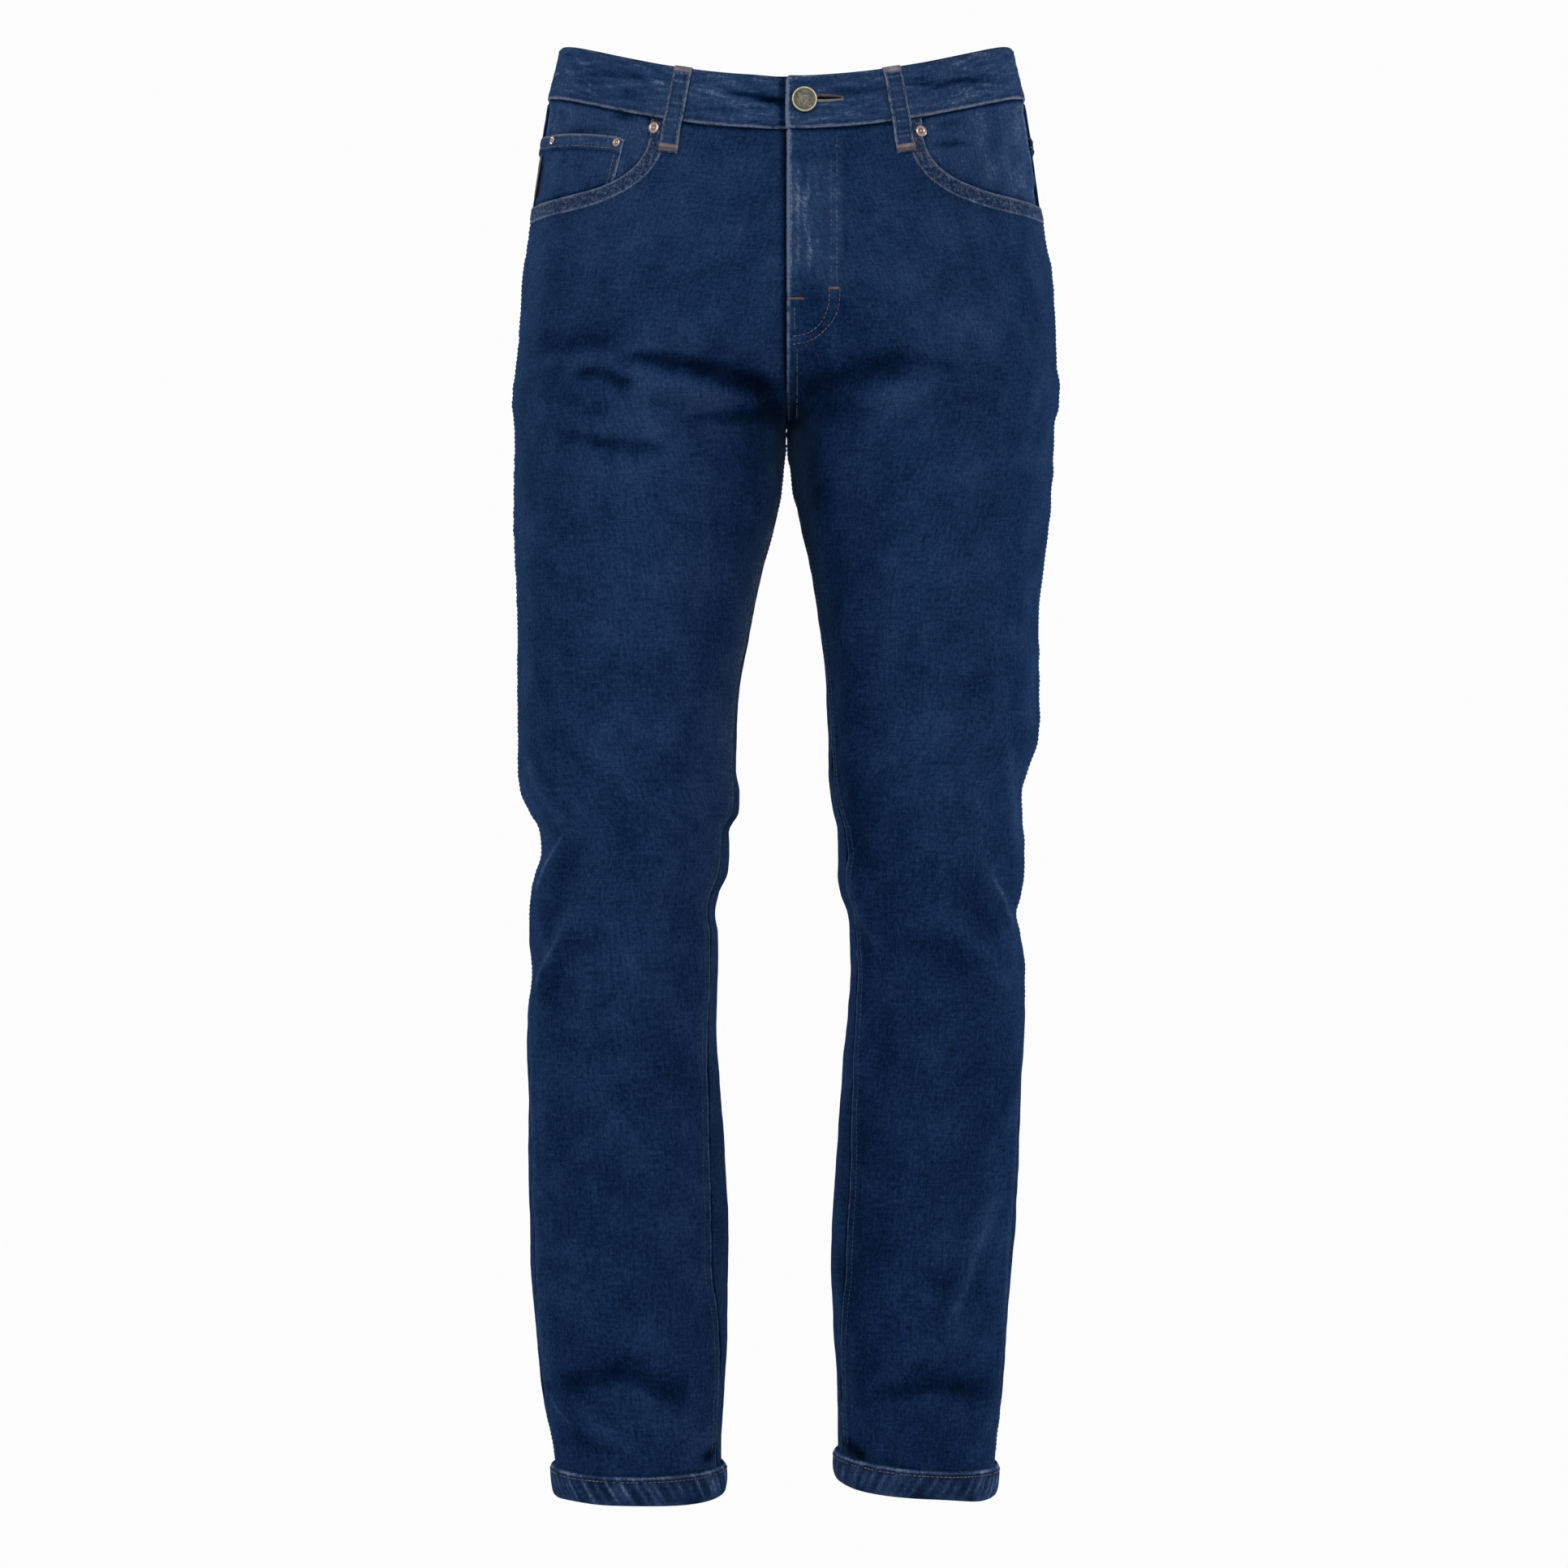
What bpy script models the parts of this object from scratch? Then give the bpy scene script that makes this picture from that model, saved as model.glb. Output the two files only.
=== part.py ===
"""Straight leg jeans, filled out with nobody in them: a hollow cloth form held at its waist.

Metres, +Z up. The front faces -Y, and the wearer's left is at +X.
The origin is the centre of the waist, halfway up the waistband at the side seams.

Each leg is a stack of ovals. Above the crotch the two ovals reach past the centre plane
and are cut off there, which gives the centre seams and the saddle between the legs.
A "level" is a distance down the cloth from the origin, measured at the side seams.
A "lift" is a distance out from the cloth's outer face, and an inward one is negative.
"""

from collections import namedtuple
from math import cos, pi, radians, sin

import bmesh
import bpy
import numpy as np
from mathutils import Vector

# ---------------------------------------------------------------- driving dimensions

GAP = 0.0003  # between pieces that are sewn or lie together
HALF_GAP = GAP / 2
DENIM = 0.0012  # one layer of cloth
TRIM_CLOTH = 0.0010  # pocket and loop cloth
RIGHT, LEFT = -1, 1  # the wearer's own sides
SIDE_NAMES = {RIGHT: "right", LEFT: "left"}

WAIST_TOP = -0.020
WAIST_SEAM = 0.018
FRONT_DIP = 0.038  # how far the waist drops at the centre front
DIP_END = 0.240  # level where the dip has faded out
BAND_PROUD = 0.0010  # waistband's outer face over the panels'
BAND_THICK = 0.0024
LAP_END = radians(90.2)  # the button lap ends just past the centre front
UNDERLAP_ANGLES = (radians(99.1), radians(105.0))
LAP_GAP = 0.0010
UNDERLAP_SHORT = 0.0006  # how far its lower edge stops above the waist seam
LAP_RAMP = (radians(80.8), radians(88.8))  # where the underlap steps in behind

FRONT_COLUMNS = 9
BACK_COLUMNS = 10
PANEL_END = 1.034
HEM_TOP = 1.0195
# Zones of the panels' rows: each runs down to its level in steps near this size.
RowZone = namedtuple("RowZone", "level step")
ROW_ZONES = (
    RowZone(0.055, 0.019),
    RowZone(0.165, 0.037),
    RowZone(0.262, 0.014),
    RowZone(0.300, 0.019),
    RowZone(0.490, 0.048),
    RowZone(0.640, 0.017),
    RowZone(0.930, 0.058),
    RowZone(PANEL_END, 0.021),
)

# The garment's sections. "in" is the reach of the oval towards and past the centre plane
# (negative above the crotch); "front" and "back" are its reach fore and aft; "out_turn"
# and "in_turn" are how far the side seam and the inseam swing to the front, in degrees.
Section = namedtuple(
    "Section", "level right_out right_in left_in left_out front back out_turn in_turn"
)
SECTIONS = (
    Section(-0.020, 0.1655, -0.1655, -0.1655, 0.1655, 0.113, 0.118, 8, 0),
    Section(0.018, 0.1745, -0.1745, -0.1745, 0.1745, 0.116, 0.122, 8, 0),
    Section(0.060, 0.1815, -0.1760, -0.1760, 0.1815, 0.121, 0.130, 7, 0),
    Section(0.100, 0.1870, -0.1680, -0.1680, 0.1870, 0.124, 0.140, 5, 0),
    Section(0.150, 0.1943, -0.1450, -0.1450, 0.1960, 0.124, 0.149, 4, 0),
    Section(0.182, 0.1960, -0.1130, -0.1130, 0.1976, 0.122, 0.149, 3, 0),
    Section(0.212, 0.1988, -0.0740, -0.0740, 0.1988, 0.119, 0.146, 3, 0),
    Section(0.228, 0.2008, -0.0500, -0.0500, 0.2008, 0.116, 0.142, 3, 0),
    Section(0.242, 0.2012, -0.0240, -0.0240, 0.1996, 0.112, 0.137, 3, 0),
    Section(0.254, 0.2000, -0.0070, -0.0070, 0.1972, 0.107, 0.130, 3, 0),
    Section(0.262, 0.2000, 0.0002, 0.0002, 0.1966, 0.106, 0.127, 3, 0),
    Section(0.271, 0.2000, 0.0012, 0.0012, 0.1964, 0.103, 0.122, 3, 1),
    Section(0.301, 0.2003, 0.0035, 0.0045, 0.1946, 0.098, 0.111, 4, 3),
    Section(0.331, 0.2000, 0.0090, 0.0113, 0.1922, 0.095, 0.103, 4, 5),
    Section(0.361, 0.1988, 0.0167, 0.0173, 0.1885, 0.092, 0.096, 4, 7),
    Section(0.391, 0.1973, 0.0233, 0.0221, 0.1852, 0.090, 0.091, 5, 9),
    Section(0.450, 0.1970, 0.0340, 0.0293, 0.1850, 0.085, 0.083, 5, 12),
    Section(0.480, 0.1965, 0.0364, 0.0304, 0.1850, 0.083, 0.079, 5, 14),
    Section(0.510, 0.1968, 0.0370, 0.0310, 0.1762, 0.079, 0.073, 6, 16),
    Section(0.525, 0.1946, 0.0346, 0.0322, 0.1720, 0.078, 0.071, 6, 18),
    Section(0.540, 0.1880, 0.0352, 0.0346, 0.1725, 0.077, 0.069, 6, 20),
    Section(0.555, 0.1810, 0.0424, 0.0382, 0.1737, 0.076, 0.068, 7, 22),
    Section(0.570, 0.1797, 0.0424, 0.0382, 0.1743, 0.075, 0.067, 7, 24),
    Section(0.585, 0.1840, 0.0436, 0.0376, 0.1743, 0.074, 0.066, 7, 24),
    Section(0.600, 0.1875, 0.0496, 0.0394, 0.1719, 0.072, 0.066, 8, 24),
    Section(0.615, 0.1887, 0.0519, 0.0448, 0.1684, 0.071, 0.067, 8, 23),
    Section(0.630, 0.1887, 0.0501, 0.0466, 0.1719, 0.070, 0.068, 9, 22),
    Section(0.660, 0.1870, 0.0507, 0.0472, 0.1755, 0.068, 0.070, 10, 22),
    Section(0.690, 0.1905, 0.0513, 0.0448, 0.1755, 0.067, 0.073, 12, 24),
    Section(0.750, 0.1900, 0.0484, 0.0400, 0.1725, 0.064, 0.076, 16, 28),
    Section(0.810, 0.1898, 0.0442, 0.0358, 0.1707, 0.062, 0.076, 20, 32),
    Section(0.868, 0.1887, 0.0430, 0.0328, 0.1666, 0.061, 0.074, 21, 32),
    Section(0.928, 0.1840, 0.0436, 0.0352, 0.1618, 0.060, 0.071, 18, 22),
    Section(0.975, 0.1785, 0.0465, 0.0373, 0.1583, 0.061, 0.069, 14, 19),
    Section(1.010, 0.1710, 0.0480, 0.0380, 0.1538, 0.060, 0.068, 12, 20),
    Section(1.045, 0.1685, 0.0475, 0.0385, 0.1522, 0.060, 0.067, 12, 20),
)

# The left hem sits higher towards the inner leg.
HEM_RISE = {RIGHT: 0.0, LEFT: 0.010}
HEM_RISE_START, HEM_RISE_RUN = 0.90, 0.12

# The largest folds, each on a curve through three places (x, height) seen square on.
# A negative depth is a trough, a positive one a ridge.
Fold = namedtuple("Fold", "side face start middle end depth width")
FOLDS = (
    Fold(RIGHT, "front", (-0.150, -0.214), (-0.078, -0.212), (-0.004, -0.244), -0.0065, 0.0110),
    Fold(RIGHT, "front", (-0.140, -0.240), (-0.085, -0.236), (-0.030, -0.252), 0.0030, 0.0100),
    Fold(LEFT, "front", (0.004, -0.250), (0.062, -0.226), (0.135, -0.219), -0.0060, 0.0120),
    Fold(LEFT, "front", (0.030, -0.262), (0.085, -0.240), (0.150, -0.238), 0.0030, 0.0110),
    Fold(RIGHT, "front", (-0.163, -0.262), (-0.118, -0.282), (-0.070, -0.276), -0.0025, 0.0100),
    Fold(RIGHT, "front", (-0.174, -0.962), (-0.116, -0.938), (-0.062, -0.974), -0.0050, 0.0085),
    Fold(RIGHT, "front", (-0.170, -0.978), (-0.132, -0.972), (-0.095, -0.998), 0.0030, 0.0080),
    Fold(LEFT, "front", (0.066, -0.972), (0.103, -0.944), (0.146, -0.966), -0.0045, 0.0085),
    Fold(LEFT, "front", (0.150, -0.845), (0.134, -0.886), (0.105, -0.926), 0.0035, 0.0090),
    Fold(RIGHT, "back", (-0.165, -0.262), (-0.090, -0.246), (-0.012, -0.228), -0.0060, 0.0120),
    Fold(LEFT, "back", (0.012, -0.232), (0.095, -0.244), (0.168, -0.268), -0.0055, 0.0120),
    Fold(RIGHT, "back", (-0.180, -0.575), (-0.120, -0.592), (-0.060, -0.570), -0.0050, 0.0100),
    Fold(LEFT, "back", (0.052, -0.566), (0.105, -0.588), (0.165, -0.574), -0.0050, 0.0100),
    Fold(RIGHT, "back", (-0.165, -0.968), (-0.112, -0.952), (-0.060, -0.972), -0.0045, 0.0085),
    Fold(LEFT, "back", (0.050, -0.966), (0.098, -0.950), (0.146, -0.968), -0.0045, 0.0085),
)
FOLD_STEPS = 10  # straight stretches that stand for a fold's curve

# Front pocket mouth: a quarter of a squarish oval about the top outer corner.
MOUTH_CORNER = (0.1845, -0.046)
MOUTH_WIDTH = 0.0875
MOUTH_DEPTH = 0.0507
MOUTH_POWER = 2.7
MOUTH_STEPS = 12
BEARER_LIFT = -0.0030  # the cloth behind the mouth
BEARER_FLUSH = 0.0015  # how far it comes out again at the side seam
BEARER_MARGIN = 0.020  # how far it runs on under the front panel
BEARER_END = 0.170  # its grid stops above this level
FLUSH_RUN = 0.014
FLUSH_END, FLUSH_FADE = 0.074, 0.012
COIN_THICK = 0.0008
COIN_GAP = 0.0004

# Yoke seam at the back: its level at the side seam, and how much lower at the centre.
YOKE_SIDE = 0.055
YOKE_DROP = 0.040
YOKE_FADE_END = 0.165  # the back panel's rows are level again from here

# Back pocket, from its top edge's middle: half widths, depths and the top edge's slope.
BACK_POCKET_CENTRE = (0.094, -0.120)
BACK_POCKET_TOP = 0.077
BACK_POCKET_FOOT = 0.066
BACK_POCKET_SIDE = 0.138
BACK_POCKET_POINT = 0.164
BACK_POCKET_SLOPE = 0.06
BACK_POCKET_GAP = 0.0005
BACK_POCKET_ROWS = 15  # of the back panel's rows that it may lie on

LOOP_HALF_WIDTH = 0.0070
LOOP_THICK = 0.0015
# A belt loop's run down the cloth: its level and its inner face's lift.
LoopStation = namedtuple("LoopStation", "level lift")
LOOP_RUN = (
    LoopStation(-0.0205, 0.0014),
    LoopStation(-0.0165, 0.0014),
    LoopStation(-0.0110, 0.0024),
    LoopStation(0.0020, 0.0031),
    LoopStation(0.0160, 0.0028),
    LoopStation(0.0260, 0.0018),
    LoopStation(0.0335, 0.0006),
    LoopStation(0.0430, 0.0006),
)
# Angles of the loops' tops and feet round the waist, from the side, towards the front.
LoopPlace = namedtuple("LoopPlace", "name side top foot")
LOOP_PLACES = (
    LoopPlace("loop_front_right", RIGHT, radians(64.0), radians(62.2)),
    LoopPlace("loop_front_left", LEFT, radians(63.4), radians(61.9)),
    LoopPlace("loop_side_right", RIGHT, radians(-28.0), radians(-28.0)),
    LoopPlace("loop_side_left", LEFT, radians(-28.0), radians(-28.0)),
    LoopPlace("loop_back", LEFT, radians(-90.0), radians(-90.0)),
)

# Hem band: a closed section of levels and lifts, wrapped round the panels' lower edge.
HemPoint = namedtuple("HemPoint", "level lift")
HEM_SECTION = (
    HemPoint(HEM_TOP + 0.0005, 0.0004),
    HemPoint(HEM_TOP, 0.0022),
    HemPoint(HEM_TOP + 0.0028, 0.0036),
    HemPoint(1.028, 0.0039),
    HemPoint(1.0375, 0.0031),
    HemPoint(1.040, 0.0008),
    HemPoint(1.0385, -0.0012),
    HemPoint(1.0350, -0.0014),
    HemPoint(1.0346, 0.0004),
)

BUTTON_X, BUTTON_Z = 0.0126, -0.0357
BUTTONHOLE_START, BUTTONHOLE_END = 0.010, 0.0396
BUTTONHOLE_Z = -0.0336
BUTTONHOLE_HALF = 0.0011
SHANK_HOLE_RADIUS = 0.0034
HOLE_LIFT = -0.0021  # the buttonhole's cutters stop here, between the lap and the underlap
BUTTON_LIFT = -0.0025  # the shank's foot, just over the underlap
# Turned profiles, as radius and height over the seat, from the top of the axis down.
TurnPoint = namedtuple("TurnPoint", "radius height")
BUTTON_PROFILE = (
    TurnPoint(0.0, 0.0062),
    TurnPoint(0.0068, 0.0060),
    TurnPoint(0.0078, 0.0066),
    TurnPoint(0.0088, 0.0065),
    TurnPoint(0.0093, 0.0058),
    TurnPoint(0.0093, 0.0050),
    TurnPoint(0.0084, 0.0042),
    TurnPoint(0.0024, 0.0041),
    TurnPoint(0.0022, 0.0010),
    TurnPoint(0.0028, 0.0006),
    TurnPoint(0.0028, 0.0),
    TurnPoint(0.0, 0.0),
)
RIVET_PROFILE = (
    TurnPoint(0.0, 0.0008),
    TurnPoint(0.0011, 0.0008),
    TurnPoint(0.0017, 0.0013),
    TurnPoint(0.0030, 0.0014),
    TurnPoint(0.0040, 0.0009),
    TurnPoint(0.0043, 0.0002),
    TurnPoint(0.0042, 0.0),
    TurnPoint(0.0, 0.0),
)
TURN_STEPS = 20
RivetPlace = namedtuple("RivetPlace", "name side x level_height lift scale")
RIVET_PLACES = (
    RivetPlace("rivet_right", RIGHT, 0.0940, -0.0530, GAP, 1.0),
    RivetPlace("rivet_left", LEFT, 0.0952, -0.0554, GAP, 1.0),
    RivetPlace("rivet_coin_inner", RIGHT, 0.1220, -0.0610, -0.0015, 0.75),
    RivetPlace("rivet_coin_outer", RIGHT, 0.1705, -0.0515, -0.0012, 0.75),
)

# Coin pocket outline on the right bearer, as x and height seen square on.
COIN_OUTLINE = (
    (-0.2100, -0.0445),
    (-0.1767, -0.0460),
    (-0.1509, -0.0505),
    (-0.1229, -0.0560),
    (-0.1165, -0.0590),
    (-0.1275, -0.1000),
    (-0.1330, -0.1080),
    (-0.2100, -0.1050),
)

TAB_TOP, TAB_END = 0.0594, 0.0899
TAB_WIDTH = 0.0110
TAB_LIFT, TAB_THICK = 0.0, 0.0006

# Zip behind the fly: half widths of the tape, its tray and the chain.
ZIP_TOP, ZIP_END = 0.022, 0.160
ZIP_EDGE, ZIP_TRAY, CHAIN_HALF = 0.013, 0.007, 0.0025
ZIP_EDGE_DEPTH, ZIP_TRAY_DEPTH = 0.0021, 0.0050
TAPE_THICK, CHAIN_THICK = 0.0006, 0.0010
SLIDER_TOP, SLIDER_END, PULL_END = 0.028, 0.039, 0.060
SLIDER_HALF, SLIDER_THICK = 0.0042, 0.0024
PULL_HALF, PULL_THICK = 0.0025, 0.0009

CUT_REACH = 0.30  # how far a cutter runs past the cloth

# Finish: base colour, roughness, metallic.
Finish = namedtuple("Finish", "colour roughness metallic")
INDIGO = Finish((0.010, 0.026, 0.078), 0.92, 0.0)
DARK_INDIGO = Finish((0.012, 0.021, 0.050), 0.92, 0.0)
WOVEN_TAPE = Finish((0.016, 0.018, 0.024), 0.85, 0.0)
TAB_WEAVE = Finish((0.020, 0.018, 0.010), 0.80, 0.0)
AGED_BRASS = Finish((0.300, 0.240, 0.120), 0.42, 1.0)
COPPER = Finish((0.520, 0.260, 0.160), 0.38, 1.0)
ZIP_BRASS = Finish((0.420, 0.310, 0.130), 0.35, 1.0)

# ---------------------------------------------------------------- scene set-up

for old in list(bpy.data.objects):
    bpy.data.objects.remove(old, do_unlink=True)

PARTS = bpy.data.collections.new("straight_leg_jeans")
CUTTERS = bpy.data.collections.new("cutters")
bpy.context.scene.collection.children.link(PARTS)
bpy.context.scene.collection.children.link(CUTTERS)


def dress(obj, finish):
    """Give an object its own material."""
    material = bpy.data.materials.new(obj.name)
    material.use_nodes = True
    shader = material.node_tree.nodes["Principled BSDF"]
    shader.inputs["Base Color"].default_value = (*finish.colour, 1.0)
    shader.inputs["Roughness"].default_value = finish.roughness
    shader.inputs["Metallic"].default_value = finish.metallic
    obj.data.materials.append(material)


def object_from(name, mesh_builder, finish=None, collection=PARTS):
    """Put a bmesh in the scene as a named object, its faces turned outwards."""
    bmesh.ops.recalc_face_normals(mesh_builder, faces=mesh_builder.faces)
    mesh = bpy.data.meshes.new(name)
    mesh_builder.to_mesh(mesh)
    mesh_builder.free()
    obj = bpy.data.objects.new(name, mesh)
    collection.objects.link(obj)
    if finish:
        dress(obj, finish)
    return obj


# ---------------------------------------------------------------- the form

TABLE_LEVELS = np.array([section.level for section in SECTIONS])
COLUMNS = {
    name: np.array([getattr(section, name) for section in SECTIONS])
    for name in Section._fields
}


def steady_slopes(values):
    """Slopes that carry a curve through the table's values with no overshoot."""
    chords = np.diff(values) / np.diff(TABLE_LEVELS)
    slopes = np.zeros_like(values)
    slopes[0], slopes[-1] = chords[0], chords[-1]
    same_way = chords[:-1] * chords[1:] > 0
    total = np.where(same_way, chords[:-1] + chords[1:], 1.0)
    slopes[1:-1] = np.where(same_way, 2 * chords[:-1] * chords[1:] / total, 0.0)
    return slopes


SLOPES = {name: steady_slopes(values) for name, values in COLUMNS.items()}


def column(name, level):
    """A column of the section table, read at any level on a smooth curve."""
    values, slopes = COLUMNS[name], SLOPES[name]
    at = np.clip(np.searchsorted(TABLE_LEVELS, level) - 1, 0, len(TABLE_LEVELS) - 2)
    step = TABLE_LEVELS[at + 1] - TABLE_LEVELS[at]
    t = (level - TABLE_LEVELS[at]) / step
    rise = values[at + 1] - values[at]
    lower = t * (1 - t) ** 2 * slopes[at] * step
    upper = t * t * (t - 1) * slopes[at + 1] * step
    return values[at] + t * t * (3 - 2 * t) * rise + lower + upper


def smooth(t):
    """0 to 1 with no corner at either end."""
    t = np.clip(t, 0.0, 1.0)
    return t * t * (3 - 2 * t)


def oval(side, level):
    """Centre and half width across, then centre and half depth fore and aft."""
    outer = column(f"{SIDE_NAMES[side]}_out", level)
    inner = column(f"{SIDE_NAMES[side]}_in", level)
    front, back = column("front", level), column("back", level)
    return (outer + inner) / 2, (outer - inner) / 2, (back - front) / 2, (front + back) / 2


def skin(side, angle, level):
    """The cloth's outer face with no folds, at an angle round the oval from its outer end."""
    across, half_width, middle, half_depth = oval(side, level)
    x = across + half_width * np.cos(angle)
    y = middle - half_depth * np.sin(angle)
    facing_front = np.clip(np.sin(angle), 0.0, 1.0) ** 2
    dip_left = 1 - smooth((level - WAIST_SEAM) / (DIP_END - WAIST_SEAM))
    inward = (1 - np.cos(angle)) / 2
    rise = HEM_RISE[side] * inward * smooth((level - HEM_RISE_START) / HEM_RISE_RUN)
    z = -(level + FRONT_DIP * facing_front * dip_left) + rise
    return np.stack([side * x, y, z], axis=-1)


def outward(side, angle, level):
    """The skin's unit normal, from its slopes round and down."""
    small = 1e-4
    round_it = skin(side, angle + small, level) - skin(side, angle - small, level)
    down_it = skin(side, angle, level + small) - skin(side, angle, level - small)
    normal = side * np.cross(round_it, down_it)
    return normal / np.linalg.norm(normal, axis=-1, keepdims=True)


def fold_curve(fold):
    """Points along a fold, on the curve through its three places."""
    t = np.linspace(0, 1, FOLD_STEPS + 1)[:, None]
    start, middle, end = (np.array(place) for place in (fold.start, fold.middle, fold.end))
    pull = 2 * middle - (start + end) / 2
    return (1 - t) ** 2 * start + 2 * t * (1 - t) * pull + t * t * end


def fold_height(fold, x, z):
    """How far one fold moves the cloth out at places seen square on."""
    curve = fold_curve(fold)
    nearest = np.full(x.shape, np.inf)
    along = np.zeros(x.shape)
    for i in range(FOLD_STEPS):
        run = curve[i + 1] - curve[i]
        t = ((x - curve[i, 0]) * run[0] + (z - curve[i, 1]) * run[1]) / (run @ run)
        t = np.clip(t, 0, 1)
        away = np.hypot(x - curve[i, 0] - t * run[0], z - curve[i, 1] - t * run[1])
        closer = away < nearest
        nearest = np.where(closer, away, nearest)
        along = np.where(closer, (i + t) / FOLD_STEPS, along)
    taper = np.sin(pi * np.clip(along, 0.04, 0.96)) ** 0.7
    return fold.depth * taper * np.exp(-((nearest / fold.width) ** 2))


def folds_at(side, angle, points):
    """All folds of one side, each on the face of the leg that it belongs to."""
    total = np.zeros(points.shape[:-1])
    towards_front = smooth(np.sin(angle) / 0.35)
    towards_back = smooth(-np.sin(angle) / 0.35)
    for fold in FOLDS:
        if fold.side == side:
            face = towards_front if fold.face == "front" else towards_back
            total += face * fold_height(fold, points[..., 0], points[..., 2])
    return total


def cloth(side, angle, level, lift=0.0):
    """A point of the folded cloth, lifted off its outer face."""
    points = skin(side, angle, level)
    height = folds_at(side, angle, points) + lift
    return points + outward(side, angle, level) * height[..., None]


def seam_angles(side, level):
    """Angles of the side seam, the front's inner end and the back's inner end."""
    across, half_width, _, half_depth = oval(side, level)
    side_seam = np.radians(column("out_turn", level))
    turn = np.radians(column("in_turn", level))
    reach = (HALF_GAP - across) / half_width
    cut = np.where(reach > -1, np.arccos(np.clip(reach, -1, 1)), 2 * pi)
    gap = HALF_GAP / (half_depth * np.cos(turn))
    front_end = np.minimum(cut, pi - turn - gap)
    back_end = -np.minimum(cut, pi + turn - gap)
    return side_seam, front_end, back_end


def panel_angle(side, face, u, level):
    """Angle of a panel's point, with u from 0 at the side seam to 1 at the inner seam."""
    side_seam, front_end, back_end = seam_angles(side, level)
    end = front_end if face == "front" else back_end
    return side_seam + (end - side_seam) * u


def panel_points(side, face, u, level, lift=0.0):
    """Grid of a panel's points, clear of its neighbours at the seams."""
    half_depth = oval(side, level)[3]
    way = 1 if face == "front" else -1
    edge = way * HALF_GAP / half_depth * (u == 0)
    angle = panel_angle(side, face, u, level) + edge
    points = cloth(side, angle, level, lift)
    points[..., 0] = side * np.maximum(side * points[..., 0], HALF_GAP)
    return points


def all_rows():
    """Levels that every panel's rows keep to, from the waist seam to the hem."""
    levels = [WAIST_SEAM + GAP]
    for zone in ROW_ZONES:
        count = max(1, round((zone.level - levels[-1]) / zone.step))
        levels += list(np.linspace(levels[-1], zone.level, count + 1)[1:])
    return np.array(levels)


ROWS = all_rows()


def rows_from(top):
    """A panel's rows, from its top edge down to the hem."""
    return np.array([top, *ROWS[ROWS > top + 2 * GAP]])


def columns_of(face):
    """The panels' stations from the side seam to the inner seam."""
    count = FRONT_COLUMNS if face == "front" else BACK_COLUMNS
    return np.linspace(0, 1, count + 1)


# ---------------------------------------------------------------- building tools


def shell(name, outer, inner, finish=None, ring=False, collection=PARTS):
    """A closed wall between two grids of points; a ring joins its last column to its first."""
    rows, columns = outer.shape[:2]
    build = bmesh.new()
    outside = [[build.verts.new(point) for point in row] for row in outer]
    inside = [[build.verts.new(point) for point in row] for row in inner]
    spans = columns if ring else columns - 1
    for i in range(rows - 1):
        for j in range(spans):
            k = (j + 1) % columns
            build.faces.new((outside[i][j], outside[i][k], outside[i + 1][k], outside[i + 1][j]))
            build.faces.new((inside[i][j], inside[i + 1][j], inside[i + 1][k], inside[i][k]))
    for j in range(spans):
        k = (j + 1) % columns
        for i in (0, rows - 1):
            build.faces.new((outside[i][j], outside[i][k], inside[i][k], inside[i][j]))
    if not ring:
        for i in range(rows - 1):
            for j in (0, columns - 1):
                build.faces.new((outside[i][j], outside[i + 1][j], inside[i + 1][j], inside[i][j]))
    return object_from(name, build, finish, collection)


def panel_wall(name, side, face, u, level, lift_out, thick, finish):
    """A wall of cloth made from a panel's own points."""
    outer = panel_points(side, face, u, level, lift_out)
    inner = panel_points(side, face, u, level, lift_out - thick)
    return shell(name, outer, inner, finish)


def prism(name, outline, near, far):
    """A cutter: an outline seen square on, run from near to far along Y."""
    build = bmesh.new()
    corners = [build.verts.new((x, near, z)) for x, z in outline]
    face = build.faces.new(corners)
    grown = bmesh.ops.extrude_face_region(build, geom=[face])["geom"]
    moved = [item for item in grown if isinstance(item, bmesh.types.BMVert)]
    bmesh.ops.translate(build, verts=moved, vec=(0, far - near, 0))
    return as_cutter(object_from(name, build, collection=CUTTERS))


def as_cutter(obj):
    """Keep a cutter out of the model and out of renders."""
    obj.hide_render = True
    obj.display_type = "WIRE"
    return obj


def trim(obj, cutter, operation):
    """Cut an object by another, or keep only what lies inside it."""
    cut = obj.modifiers.new(cutter.name, "BOOLEAN")
    cut.object = cutter
    cut.operation = operation
    cut.solver = "EXACT"


def turned(name, profile, scale, finish):
    """A round piece from a profile about Z, run from the top of its axis to the bottom."""
    mesh = bpy.data.meshes.new(name)
    points = [(point.radius * scale, 0, point.height * scale) for point in profile]
    edges = [(i, i + 1) for i in range(len(points) - 1)]
    mesh.from_pydata(points, edges, [])
    obj = bpy.data.objects.new(name, mesh)
    PARTS.objects.link(obj)
    turn = obj.modifiers.new("turn", "SCREW")
    turn.steps = turn.render_steps = TURN_STEPS
    turn.use_merge_vertices = True
    turn.merge_threshold = 0.00001
    dress(obj, finish)
    return obj


def place_on_cloth(obj, side, x, height, lift):
    """Seat a turned piece on the front at x and height seen square on, its axis outwards."""
    angle, level = front_place(side, x, height)
    point = cloth(side, angle, level, lift)
    obj.location = Vector(point)
    obj.rotation_mode = "QUATERNION"
    obj.rotation_quaternion = Vector(outward(side, angle, level)).to_track_quat("Z", "Y")


def front_place(side, x, height):
    """Angle and level of the front's cloth at x and height seen square on."""
    level = np.array(-height)
    for _ in range(12):
        across, half_width, _, _ = oval(side, level)
        angle = np.arccos(np.clip((x - across) / half_width, -1, 1))
        level = level + (skin(side, angle, level)[..., 2] - height)
    return angle, level


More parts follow.
